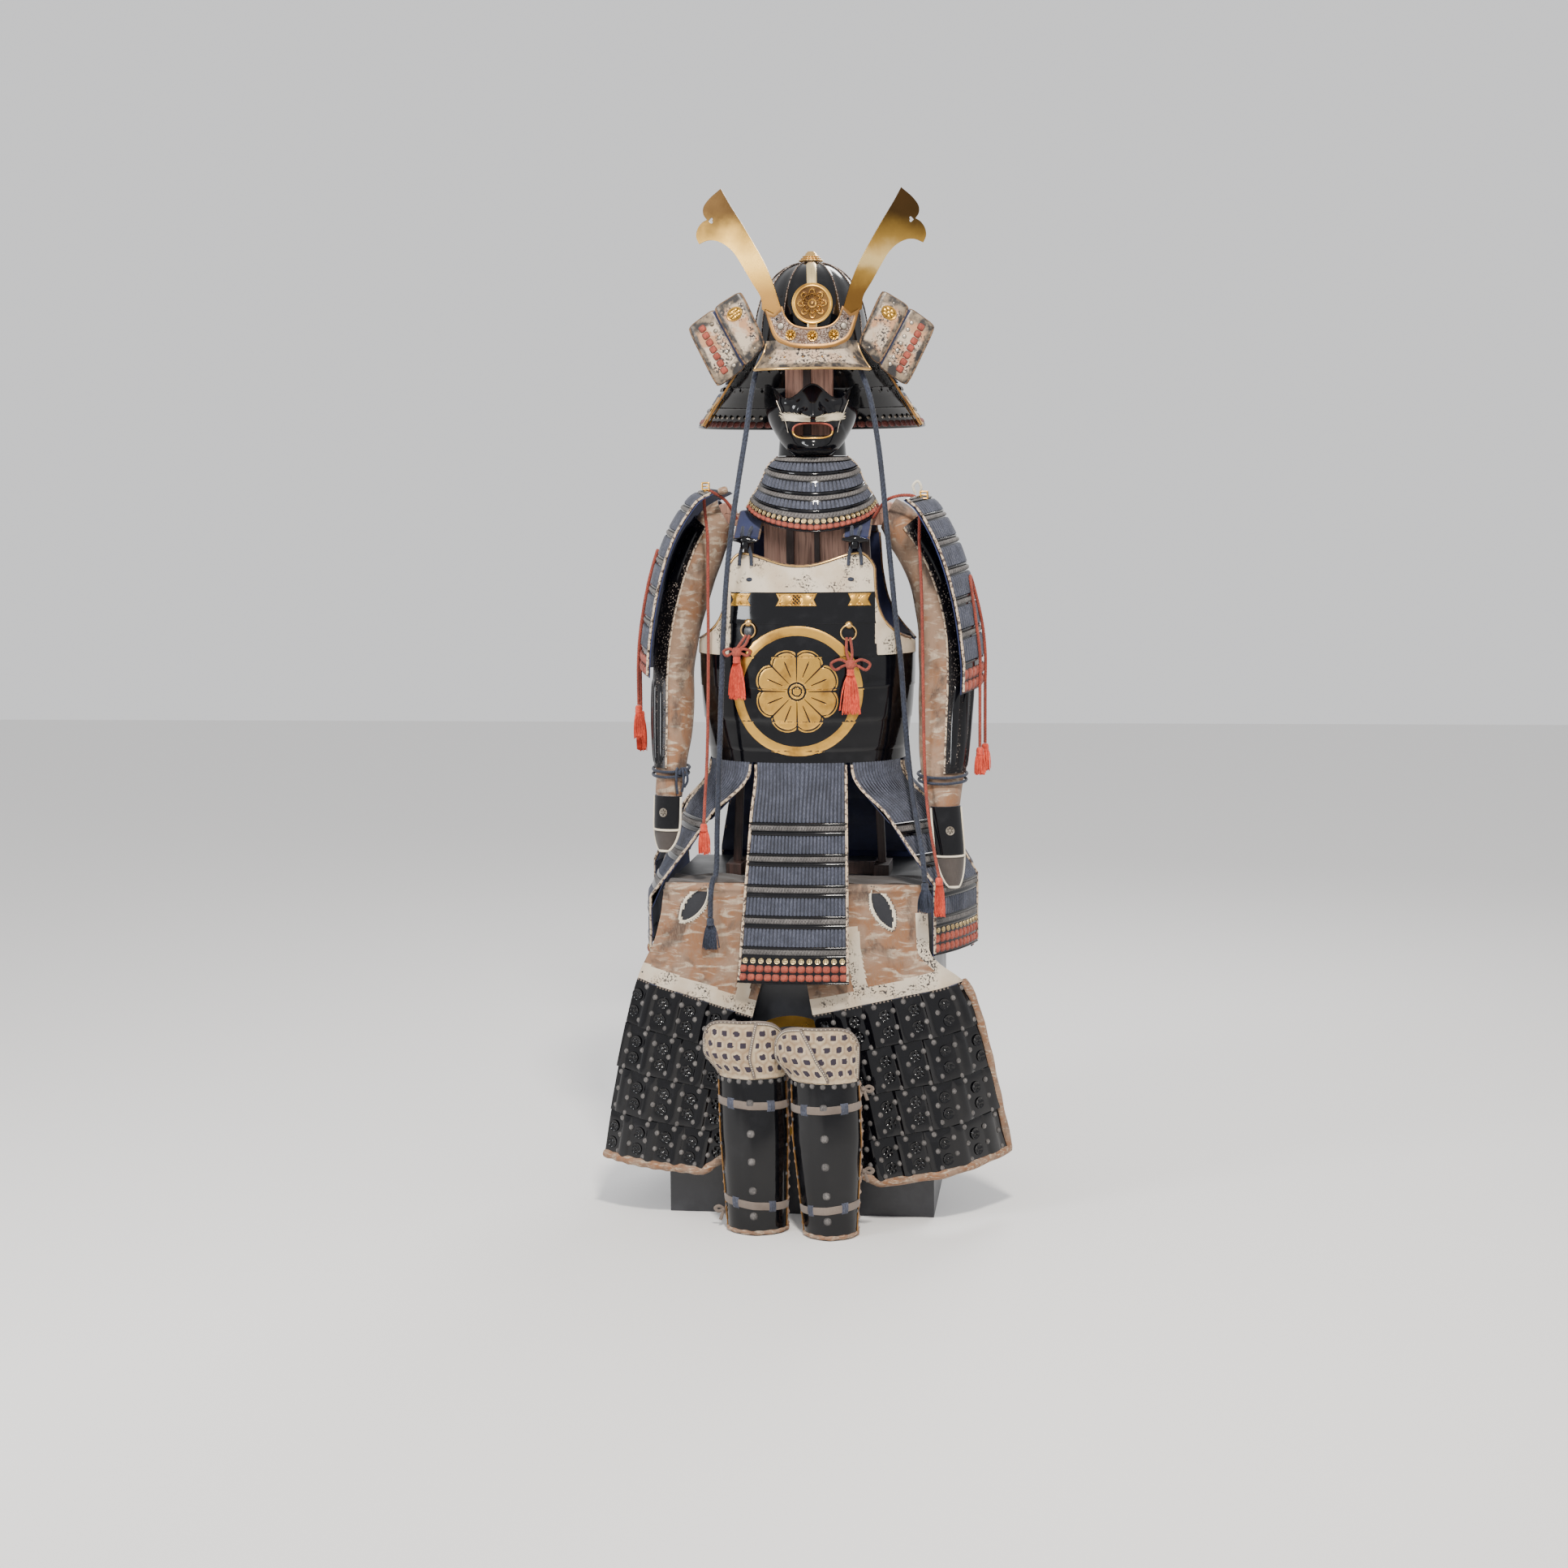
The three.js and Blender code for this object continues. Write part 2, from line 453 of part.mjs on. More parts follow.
function thighPoint(guard, u, z, out) {
  const x = mix(column(guard.edges, 'z', z, 'inner'), column(guard.edges, 'z', z, 'outer'), u);
  const wrap = guard.wrap * (Math.max(0, x - 246) / 110) ** 1.5; // back beyond the chest's corner
  const fold = 2.5 * smoothstep(CHEST.lidTop - z, 10, 150) * sin(u * 3.2 * PI); // soft flutes that grow downwards
  return [guard.side * (x + 0.5 * out * u ** 2), hangingFront(z) - out + wrap - Math.max(0, fold), z];
}
const bandHeight = (guard, u) => mix(guard.bandInner, guard.bandOuter, u);
const lowHeight = (guard, u) => mix(guard.low, guard.lowOuter, u) + 26 * Math.max(0, 0.14 - u) / 0.14;

function eyeSlit(side, x, z, tall, wide, lean) {
  const outline = steps(0, 2 * PI, 12).slice(0, 12).map((a) => {
    const along = tall / 2 * cos(a);
    const across = wide / 2 * signedPower(sin(a), 1.5);
    return [side * (x + across * cos(lean) - along * sin(lean)), z + across * sin(lean) + along * cos(lean)];
  });
  return prism(outline, 60).translate(0, LID_FRONT + 2, 0);
}
const EYE_SLITS = { left: [184, 556, 74, 29, 0.66], right: [146, 552, 76, 29, 0.46] };

function makeThighGuards() {
  for (const [name, guard] of Object.entries(THIGH_GUARDS)) {
    const over = (u, v, out) => {
      const y = column(OVER_LID, 'v', v, 'y');
      const x = guard.side * mix(guard.edges[0].inner, guard.edges[0].outer, u);
      const turn = smoothstep(v, 0.03, 0.07);
      return [x, y - out * turn, column(OVER_LID, 'v', v, 'z') + out * (1 - turn)];
    };
    const rows = [0, 0.04, 0.07, 0.2, 0.4, 0.6, 0.8, 1];
    const height = (u, v) => mix(OVER_LID[2].z, bandHeight(guard, u), (v - 0.07) / 0.93);
    const sheet = (out) => (u, v) => (v <= 0.07 ? over(u, v, out) : thighPoint(guard, u, height(u, v), out));
    const cloth = wallBetween(sheet(CLOTH), sheet(0), steps(0, 1, 8), rows);
    const opened = cut(cloth, eyeSlit(guard.side, ...EYE_SLITS[name]));
    piece(`thigh_cloth_${name}`, opened, 'fur_leather');

    const rowCount = 4;
    const lower = (u, v) => mix(bandHeight(guard, u) - 2 * GAP, lowHeight(guard, u), v);
    const laps = steps(0, rowCount, rowCount).slice(0, -1).flatMap((i) => [
      { v: i / rowCount + (i ? 0.006 : 0), out: 3.5 }, { v: (i + 1) / rowCount - (i < rowCount - 1 ? 0.006 : 0), out: 6 },
    ]);
    const scales = (thick) => (u, i) => thighPoint(guard, u, lower(u, laps[i].v), CLOTH + laps[i].out - 3.5 - thick);
    piece(`thigh_scales_${name}`, wallBetween(scales(0), scales(CLOTH), steps(0, 1, 8), laps.keys().toArray()), 'black_lacquer');
  }
  const belt = (up) => (u, v) => [
    mix(-236, 236, u), mix(LID_FRONT + 28 + GAP, -60, v), CHEST.lidTop + GAP + up * (4 + 2 * sin(9 * u) * sin(3 * v)),
  ];
  const opening = STAND.footHeight; // the belt lies clear in front of the stand's feet
  const beltBack = (u, v) => belt(1)(u, v * (1 - opening / 200));
  const beltUnder = (u, v) => belt(0)(u, v * (1 - opening / 200));
  piece('thigh_belt', wallBetween(beltBack, beltUnder, steps(0, 1, 10), steps(0, 1, 2)), 'grey_cloth');
}

// Shin guards stand on the floor in front of the chest, each with a quilted knee cover
const SHINS = {
  left: { lowX: -66, topX: -76, lowY: -282, topY: -258, lowHalf: 52, midHalf: 60, topHalf: 59, kneeX: -90, kneeHigh: 368 },
  right: { lowX: 64, topX: 54, lowY: -302, topY: -284, lowHalf: 46, midHalf: 60, topHalf: 58, kneeX: 42, kneeHigh: 364 },
};
const SHIN = { top: 268, depth: 48, spread: rad(96), kneeSpread: rad(72), kneeHalf: 72, ridge: 3 };
function shinPoint(row, angle, z, out = 0) {
  const v = z / SHIN.top;
  const half = mix(mix(row.lowHalf, row.midHalf, Math.min(v * 1.6, 1)), row.topHalf, Math.max(0, v - 0.6)) + out;
  const depth = SHIN.depth * mix(0.92, 1, sin(Math.min(v, 1) * PI)) + out + SHIN.ridge * Math.max(0, 1 - abs(angle) / 0.35);
  return [mix(row.lowX, row.topX, v) + half * sin(angle), mix(row.lowY, row.topY, v) - depth * cos(angle), z];
}
function kneePoint(row, angle, z, out) { // it stands on the plate's upper edge, and widens over the knee
  const wider = smoothstep(z, SHIN.top, SHIN.top + 45);
  const [x, y] = shinPoint(row, angle, SHIN.top, out);
  const half = mix(1, SHIN.kneeHalf / row.topHalf, wider);
  return [mix(row.topX, row.kneeX, wider) + (x - row.topX) * half, y - 4 * wider * cos(angle) + 0.06 * (z - SHIN.top), z];
}
function makeShins() {
  for (const [name, row] of Object.entries(SHINS)) {
    const plate = (out) => (angle, z) => shinPoint(row, angle, z, out);
    piece(`shin_guard_${name}`, wallBetween(plate(0), plate(-CLOTH), steps(-SHIN.spread, SHIN.spread, 10),
      [0, 60, 130, 200, SHIN.top]), 'black_lacquer');
    const top = (angle) => row.kneeHigh - 34 * abs(angle / SHIN.kneeSpread) ** 4;
    const knee = (out) => (angle, v) => kneePoint(row, angle, mix(SHIN.top + GAP, top(angle), v), out);
    piece(`knee_cover_${name}`, wallBetween(knee(1), knee(-CLOTH), steps(-SHIN.kneeSpread, SHIN.kneeSpread, 10),
      steps(0, 1, 3)), 'kikko_cloth');
  }
}

// Helmet
const bowlHeight = (t) => HEAD.rim + HEAD.height * t;
function bowlPoint(angle, t, out = 0) {
  const round = (1 - t ** HEAD.roundness) ** (1 / HEAD.roundness);
  return [(HEAD.halfWidth * round + out) * sin(angle), -(HEAD.halfDepth * round + out) * cos(angle), bowlHeight(t) + out * t];
}
const BOWL_TOP = 0.993;

const HORN = { // outline of the left horn, from its foot up the inner edge and down the lobes
  thick: 2.2, footX: -70, footZ: 1588, facing: rad(-22),
  outline: [
    [17, 0], [3, 44], [-11, 78], [-30, 113], [-52, 151], [-74, 187], [-86, 209], [-107, 192], [-117, 178],
    [-117, 166], [-111, 157], [-120, 152], [-128, 141], [-130, 128], [-125, 116], [-112, 121], [-98, 121],
    [-80, 113], [-64, 98], [-49, 74], [-33, 46], [-18, 20], [-16, 0],
  ],
};
const HOLDER = { y: -128.8, bend: 0.003 };
const HOLDER_EDGES = [ // from the middle to the tip: the outer edge and the inner edge of the crescent
  { t: 0, x: 0, z: 1519, innerX: 0, innerZ: 1555 }, { t: 0.25, x: 24, z: 1520, innerX: 17, innerZ: 1556 },
  { t: 0.5, x: 46, z: 1525, innerX: 33, innerZ: 1561 }, { t: 0.75, x: 67, z: 1540, innerX: 45, innerZ: 1573 },
  { t: 1, x: 83, z: 1588, innerX: 52, innerZ: 1592 },
];
const holderY = (x) => HOLDER.y + HOLDER.bend * x * x;

function makeHelmet() {
  const ribbed = (out) => (i, t) => bowlPoint(i * 2 * PI / 36, t, out + (i % 3 === 0 && out >= 0 ? HEAD.rib : 0));
  const around = steps(0, 35, 35);
  piece('helmet_bowl', wallBetween(ribbed(0), ribbed(-PLATE), around, [0, 0.4, 0.7, 0.88, 0.96, BOWL_TOP], true), 'black_lacquer', head);

  const crownSeat = bowlHeight(BOWL_TOP) + 2 + GAP;
  piece('helmet_crown', turned([[0, 0], [20, 0], [22, 4], [18, 6], [14, 12], [8, 18], [0, 19]], 12)
    .translate(0, 0, crownSeat), 'gilt', head);

  const visor = (out) => (angle, v) => {
    const grow = 34 * v ** 1.7 * cos(angle * 0.62);
    const [x, y] = bowlPoint(angle, 0, HEAD.rib + 0.1 + grow + out);
    return [x, y, HEAD.rim + 5 - 51 * v + out * 0.5 * v];
  };
  piece('helmet_visor', wallBetween(visor(PLATE), visor(0), steps(-rad(50), rad(50), 10), [0, 0.35, 0.7, 1]), 'white_leather', head);

  const holder = (back) => (t, v) => {
    const at = (name) => column(HOLDER_EDGES, 't', abs(t), name);
    const x = sign(t) * mix(at('x'), at('innerX'), v);
    return [x, holderY(x) + back, mix(at('z'), at('innerZ'), v)];
  };
  const disc = { z: 1596, r: 35 };
  const stem = box(12, 3, 70, [0, HOLDER.y + 3.5, 1585]);
  piece('horn_holder', join(
    wallBetween(holder(0), holder(PLATE), steps(-1, 1, 14), [0, 1]), stem,
  ), 'silver_band', head);
  piece('front_disc', turned([[0, 0], [disc.r, 0], [disc.r, 3], [disc.r - 3, 4], [0, 4]], 24)
    .rotateX(PI / 2).translate(0, HOLDER.y + 2 - GAP, disc.z), 'gilt', head);

  for (const [side, name] of [[-1, 'left'], [1, 'right']]) {
    const outline = HORN.outline.map(([x, z]) => [-side * x / cos(HORN.facing), z]);
    piece(`horn_${name}`, prism(outline, HORN.thick).rotateZ(side * -HORN.facing)
      .translate(side * -HORN.footX, holderY(HORN.footX) + PLATE + GAP + HORN.thick + 1.05, HORN.footZ), 'gilt', head);
  }
}

// Turned-back wings: two stepped plates on each side of the brow
const WINGS = [ // corners of each plate on the right side, as x, z, with its depth
  { y: -74.7, corners: [[83, 1530], [116, 1494], [170, 1594], [125, 1621]] },
  { y: -65.7, corners: [[117, 1492], [165, 1458], [216, 1561], [172, 1592]] },
];
function makeWings() {
  for (const [side, name] of [[-1, 'left'], [1, 'right']]) {
    const leaf = ({ y, corners }, back) => (u, v) => {
      const [a, b, c, d] = corners;
      const x = mix(mix(a[0], b[0], u), mix(d[0], c[0], u), v);
      const z = mix(mix(a[1], b[1], u), mix(d[1], c[1], u), v);
      return [side * x, y + 0.12 * (x - 80) + 12 * (v - 0.4) ** 2 + back, z];
    };
    const plates = WINGS.map((row) => wallBetween(leaf(row, 0), leaf(row, 4), steps(-0.03, 1.03, 2), steps(0, 1, 4)));
    // The step between the two, along the edge that they share
    const step = wallBetween(
      (u, v) => leaf(WINGS[0], 1)(mix(0.85, 1.02, u), v), (u, v) => leaf(WINGS[1], 3)(mix(-0.02, 0.12, u), v), [0, 1], steps(0.02, 0.98, 4),
    );
    piece(`wing_${name}`, join(...plates, step), 'white_leather', head);
  }
}

// Neck guard: four flaring lames round the back
const NECK_GUARD = { top: 1534, bottom: 1388, topHalf: 105.3, bottomHalf: 200, topDepth: 121.3, bottomDepth: 206, open: rad(108), lames: 4 };
function neckGuardPoint(angle, v, out) {
  const { top, bottom, topHalf, bottomHalf, topDepth, bottomDepth } = NECK_GUARD;
  return [(mix(topHalf, bottomHalf, v) + out) * sin(angle), (mix(topDepth, bottomDepth, v) + out) * cos(angle), mix(top, bottom, v) + out * 0.6];
}
function makeNeckGuard() {
  const { lames, open } = NECK_GUARD;
  const rows = steps(0, lames - 1, lames - 1).flatMap((i) => [{ v: i ? (i + 0.01) / lames : 0, out: i ? 3 : 0 }, { v: (i + 0.99) / lames, out: 0 }]);
  const sheet = (thick) => (angle, i) => neckGuardPoint(angle, rows[i].v, rows[i].out - thick);
  piece('neck_guard', wallBetween(sheet(0), sheet(PLATE), steps(-open, open, 14), rows.keys().toArray()), 'black_lacquer', head);
}

// Face mask with its open mouth, and the throat guard that hangs from it
const MASK = [ // half width and front of the face at each height
  { z: 1470, half: 82, front: 92 }, { z: 1440, half: 85, front: 99 }, { z: 1421, half: 84, front: 103 },
  { z: 1393, half: 75, front: 105 }, { z: 1366, half: 60, front: 103 }, { z: 1346, half: 46, front: 95 }, { z: 1336, half: 36, front: 80 },
];
const maskBack = (z) => mix(-51, -22, smoothstep(z, 1336, 1400));
const maskTop = (x) => 1459 - 25 * sin(clamp(abs(x) / 43, 0, 1) * PI / 2) ** 2 + 26 * smoothstep(abs(x), 46, 82);
const bump = (x, middle, wide) => Math.exp(-(((x - middle) / wide) ** 2));

function maskPoint(angle, v, out) {
  const rough = 85 * sin(angle);
  const z = mix(maskTop(rough), 1336, v);
  const half = column(MASK, 'z', z, 'half') + out;
  const front = column(MASK, 'z', z, 'front') + out;
  const x = half * sin(angle);
  const nose = bump(x, 0, 15) * smoothstep(z, 1396, 1403) * mix(27, 7, clamp((z - 1403) / 56, 0, 1));
  const nostrils = 9 * bump(abs(x), 17, 8) * bump(z, 1409, 9);
  const cheeks = 8 * bump(abs(x), 50, 18) * bump(z, 1428, 14);
  const chin = 10 * bump(x, 0, 20) * bump(z, 1350, 9);
  return [x, maskBack(z) - (front + maskBack(z)) * cos(angle) - nose - nostrils - cheeks - chin, z];
}

const THROAT = [ // lower edge of each lame: height in the middle, at the sides, and half width there
  { i: 0, middle: 1335.4, edge: 1335.4, half: 60, depth: 62 }, { i: 1, middle: 1303, edge: 1318, half: 79, depth: 84 },
  { i: 2, middle: 1268, edge: 1289, half: 92, depth: 99 }, { i: 3, middle: 1238, edge: 1268, half: 106, depth: 113 },
  { i: 4, middle: 1203, edge: 1246, half: 118, depth: 126 },
];
const THROAT_SPREAD = rad(82);
function throatPoint(angle, i, out) {
  const at = (name) => column(THROAT, 'i', i, name);
  const half = at('half') + out;
  const depth = at('depth') + out;
  const dip = abs(angle / THROAT_SPREAD) ** 1.7;
  return [half * sin(angle), -16 - (depth - 16 + 14) * cos(angle), mix(at('middle'), at('edge'), dip)];
}

function makeMask() {
  const spread = rad(86);
  const skin = (out) => (angle, v) => maskPoint(angle, v, out);
  const face = wallBetween(skin(0), skin(-PLATE), steps(-spread, spread, 16), [0, 0.16, 0.32, 0.46, 0.55, 0.64, 0.78, 0.9, 1]);
  const mouth = prism(steps(0, 2 * PI, 12).slice(0, 12).map((a) => [
    36 * signedPower(cos(a), 0.6), 1379 + 13 * signedPower(sin(a), 0.8)]), 80).translate(0, -70, 0);
  piece('mask', cut(face, mouth), 'black_lacquer', head);

  const rows = [0, 1, 2, 3].flatMap((i) => [{ i: i + 0.02 * sign(i), out: 3 }, { i: i + 0.98, out: 0.5 }]);
  const guard = (thick) => (angle, row) => throatPoint(angle, rows[row].i, rows[row].out - thick);
  piece('throat_guard', wallBetween(guard(0), guard(PLATE), steps(-THROAT_SPREAD, THROAT_SPREAD, 10), rows.keys().toArray()), 'blue_lacing', head);
}

// Tassels: separate strands whose roots are fused in the head
function tassel(top, length, width, strands, depth = 1, facing = 0) {
  const [x, y, z] = top;
  const parts = [turned([[0, -13.5], [7, -13], [6, -4], [0, 0]], 8).translate(x, y, z)];
  const outer = Math.round(strands * 0.65); // two rings of strands
  for (const [count, radius] of [[outer, 5.3], [strands - outer, 2.4]]) {
    for (let i = 0; i < count; i++) {
      const angle = (i + 0.5) * 2 * PI / count;
      const lean = Math.atan2((width / 2 - 7) * radius / 5.3, length);
      parts.push(new THREE.CylinderGeometry(1.3, 1.8, length - 11, 3).rotateX(PI / 2)
        .translate(0, 0, -(length - 11) / 2).rotateY(-lean * cos(angle)).rotateX(lean * sin(angle) * depth)
        .translate(radius * cos(angle), radius * sin(angle), -11).rotateZ(facing).translate(x, y, z));
    }
  }
  return parts;
}

const FRONT_TASSELS = {
  left: { ringX: -90, ringZ: 1034, knotX: -110, knotZ: 996, bow: 0.68, length: 79, width: 38 },
  right: { ringX: 86, ringZ: 1030, knotX: 90, knotZ: 975, bow: 1, length: 83, width: 44 },
};
function frontSurface(x, z, out) {
  return cuirassPoint(sign(x) * cuirassAngle(abs(x)), z, out)[1];
}
function makeFrontTassels() {
  for (const [name, t] of Object.entries(FRONT_TASSELS)) {
    const on = (x, z, out) => [x, frontSurface(x, z, out), z];
    const facingAt = (x, z) => Math.atan(frontSurface(x + 1, z, 0) - frontSurface(x, z, 0));
    const hoop = (radius, thick, shift, stretch, at) => new THREE.TorusGeometry(radius, thick, 4, 10)
      .rotateX(PI / 2).scale(stretch, 1, 1).translate(shift, 0, 0).rotateZ(facingAt(at[0], at[2])).translate(...at);
    const ring = on(t.ringX, t.ringZ, 3.6);
    const knot = on(t.knotX, t.knotZ, 11.4);
    const cord = tube([on(t.ringX, t.ringZ - 12, 4.4), on((t.ringX + t.knotX) / 2, (t.ringZ + t.knotZ) / 2, 6.4), knot], 5, 2, 5);
    const loops = [-1, 1].map((side) => hoop(8 * t.bow, 2.6, side * 19 * t.bow, 1.6, on(t.knotX, t.knotZ, 10.2)));
    const strands = tassel([knot[0], knot[1], t.knotZ - 4], t.length, t.width, 7, 0.2, facingAt(t.knotX, t.knotZ));
    piece(`front_tassel_${name}`, join(hoop(13, 1.6, 0, 1, ring), cord, ...loops,
      new THREE.SphereGeometry(8, 6, 4).translate(...knot), ...strands), 'red_cord');
  }
}

// Cords that hang free, each with its tassel or tassels
const CORDS = {
  chin_cord_left: {
    diameter: 10, finish: 'blue_lacing', steps: 28, tassels: [{ length: 58, width: 34, strands: 8, depth: 0.15 }],
    route: [[-62, -59.1, 1538], [-80, -84, 1488], [-89, -98, 1440], [-96, -112, 1380], [-107, -132, 1300], [-117, -156, 1215],
      [-128, -156, 1120], [-134, -157, 1030], [-138, -158, 940], [-142, -162, 830], [-145, -167, 740], [-147, -170, 680],
      [-148, -172, 625], [-149, -183, 603], [-151, -198, 600], [-153, -210, 582], [-154, -215, 536]],
  },
  chin_cord_right: {
    diameter: 10, finish: 'blue_lacing', steps: 28, tassels: [{ length: 54, width: 34, strands: 8 }],
    route: [[83.7, -55.4, 1538], [100, -72, 1488], [117, -84, 1440], [131, -94, 1370], [140, -98, 1300], [148, -102, 1215],
      [158, -112, 1120], [166, -118, 1040], [173, -122, 985], [179, -120, 900], [185, -118, 820], [193, -136, 760],
      [204, -178, 710], [217, -226, 660], [223, -240, 606]],
  },
  red_cord_left: {
    diameter: 6, finish: 'red_cord', steps: 24, tassels: [{ length: 56, width: 24, strands: 6, depth: 0.5 }],
    route: [[-121.5, -62, 1226], [-136, -84, 1256], [-152, -102, 1270], [-168.9, -112, 1275.2], [-166, -116, 1190], [-166, -119, 1100],
      [-166, -122, 1000], [-167, -127, 900], [-168, -142, 800], [-169, -160, 745], [-170, -172, 696]],
  },
  red_cord_right: {
    diameter: 6, finish: 'red_cord', steps: 28, tassels: [{ length: 70, width: 24, strands: 6, depth: 0.6 }],
    route: [[121.1, -62, 1226], [148, -88, 1258], [182, -102, 1266], [200.8, -108, 1260.4], [206, -112, 1180], [210, -116, 1090],
      [212, -120, 990], [214, -134, 900], [217, -152, 800], [222, -172, 740], [230, -196, 690], [241, -222, 640], [247, -232, 614]],
  },
};
// The cord over each shoulder guard's outer face, tied at a ring, with a tassel at both ends
const SIDE_CORDS = {
  left: { side: -1, front: -0.3, back: 0.02, ring: 0.42, tails: [64, 78], tassels: [62, 74] },
  right: { side: 1, front: -0.5, back: -0.1, ring: 0.5, tails: [104, 104], tassels: [50, 50] },
};
for (const [name, row] of Object.entries(SIDE_CORDS)) {
  const lift = SHOULDER_GUARD.proud + 3 + 0.5;
  const on = (s, v) => shoulderGuardPoint(row.side, s, v, lift);
  const drop = ([x, y, z], by) => [x, y, z - by];
  const heights = [0.99, 0.85, 0.7, 0.55].filter((v) => v > row.ring + 0.08);
  const end = (s, by) => [drop(on(s, 1), by), drop(on(s, 1), by / 2), on(s, 1.0)];
  CORDS[`side_cord_${name}`] = {
    diameter: 6, finish: 'red_cord', steps: 30,
    tassels: [{ length: row.tassels[1], width: 24, strands: 6 }, { length: row.tassels[0], width: 24, strands: 6, atStart: true }],
    route: [...end(row.front, row.tails[0]), ...heights.slice(1).map((v) => on(row.front, v)),
      on((row.front + row.back) / 2, row.ring), ...heights.slice(1).reverse().map((v) => on(row.back, v)),
      ...end(row.back, row.tails[1]).reverse()],
  };
}

function makeCords() {
  for (const [name, cord] of Object.entries(CORDS)) {
    piece(name, tube(cord.route, cord.diameter, cord.steps), cord.finish);
    cord.tassels.forEach(({ length, width, strands, depth, atStart }, i) => {
      const [x, y, z] = atStart ? cord.route[0] : cord.route[cord.route.length - 1];
      piece(`${name}_tassel${i ? '_b' : ''}`, join(...tassel([x, y, z - GAP - 0.2], length, width, strands, depth)), cord.finish);
    });
  }
}

makeChest();
makeStand();
makeCuirass();
makeStraps();
makeTassets();
makeSleeves();
makeShoulderGuards();
makeThighGuards();
makeShins();
makeHelmet();
makeWings();
makeNeckGuard();
makeMask();
makeFrontTassels();
makeCords();

export default armour;
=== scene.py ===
"""Samurai armour with its horned helmet and face mask, worn by a wooden stand on the armour's chest.

Shapes are worked out in millimetres and put into the meshes in metres. +Z is up and the front
faces -Y. "left" and "right" are the viewer's, looking at the front.
"""
from math import cos, pi, radians, sin

import bmesh
import bpy
import numpy as np
from mathutils import Matrix


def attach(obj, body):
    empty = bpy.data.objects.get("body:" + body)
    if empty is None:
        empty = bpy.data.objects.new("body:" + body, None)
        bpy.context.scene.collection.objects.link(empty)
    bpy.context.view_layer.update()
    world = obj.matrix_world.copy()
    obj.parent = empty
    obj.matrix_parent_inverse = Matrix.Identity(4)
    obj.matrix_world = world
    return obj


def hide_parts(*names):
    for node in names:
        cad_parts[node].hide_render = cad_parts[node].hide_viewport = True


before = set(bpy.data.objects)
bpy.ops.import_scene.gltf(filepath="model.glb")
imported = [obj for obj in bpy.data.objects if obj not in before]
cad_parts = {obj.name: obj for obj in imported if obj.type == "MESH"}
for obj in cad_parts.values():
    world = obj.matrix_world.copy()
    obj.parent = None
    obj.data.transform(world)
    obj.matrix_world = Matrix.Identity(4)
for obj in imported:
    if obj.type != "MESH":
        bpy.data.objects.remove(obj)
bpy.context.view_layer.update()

MM = 0.001
TAU = 2 * pi
SIDES = (("left", -1), ("right", 1))
rng = np.random.default_rng(7)


# Camera, at the photograph's place

def make_camera():
    """The camera's axes come from its yaw, tilt and roll in degrees."""
    yaw, tilt, roll = radians(6.90), radians(6.79), radians(-0.46)
    across = np.array([cos(yaw), sin(yaw), 0])
    level = np.array([-sin(yaw), cos(yaw), 0])
    upright = np.array([0, 0, 1.0])
    ahead = level * cos(tilt) - upright * sin(tilt)
    above = upright * cos(tilt) + level * sin(tilt)
    right = across * cos(roll) + above * sin(roll)
    top = -across * sin(roll) + above * cos(roll)
    place = np.eye(4)
    place[:3, :3] = np.stack([right, top, -ahead], 1)
    place[:3, 3] = np.array([506.3, -4584, 1295.4]) * MM
    camera = bpy.data.objects.new("camera", bpy.data.cameras.new("camera"))
    camera.data.sensor_width = 36
    camera.data.lens = 58.79
    camera.matrix_world = Matrix(place.tolist())
    bpy.context.collection.objects.link(camera)
    bpy.context.scene.camera = camera


make_camera()


# Small sums

def mix(a, b, t):
    return a + (b - a) * t


def power(value, exponent):
    """Power that keeps the sign."""
    return np.sign(value) * np.abs(value) ** exponent


def ease(value, low, high):
    t = np.clip((value - low) / (high - low), 0, 1)
    return t * t * (3 - 2 * t)


def bell(value, middle, wide):
    return np.exp(-(((value - middle) / wide) ** 2))


def column(table, at, k):
    """Column k of a table at places along its first column, on cubic curves through the rows."""
    table = np.asarray(table, float)
    table = table[np.argsort(table[:, 0])]
    keys, values = table[:, 0], table[:, k]
    last = len(keys) - 1
    row = np.arange(last + 1)
    after, before = np.minimum(row + 1, last), np.maximum(row - 1, 0)
    slope = (values[after] - values[before]) / (keys[after] - keys[before])
    i = np.clip(np.searchsorted(keys, at, side="right") - 1, 0, last - 1)
    span = keys[i + 1] - keys[i]
    t = np.clip((at - keys[i]) / span, 0, 1)
    ends = values[i] * (1 + t * t * (2 * t - 3)) + values[i + 1] * t * t * (3 - 2 * t)
    return ends + slope[i] * span * t * (1 - t) ** 2 - slope[i + 1] * span * t * t * (1 - t)


def spot(x, y, z):
    """Points from three arrays."""
    return np.stack(np.broadcast_arrays(x, y, z), -1).astype(float)


def grid(across, down):
    return np.meshgrid(np.asarray(across, float), np.asarray(down, float))


def unit(vectors):
    return vectors / np.maximum(np.linalg.norm(vectors, axis=-1, keepdims=True), 1e-9)


def walk(points):
    """Length along a line of points, from its start."""
    return np.concatenate([[0], np.cumsum(np.linalg.norm(np.diff(points, axis=0), axis=1))])


def spaced(points, count):
    """Points at even distances along a line of points."""
    way = walk(points)
    at = np.linspace(0, way[-1], count)
    return np.stack([np.interp(at, way, points[:, k]) for k in range(3)], 1)


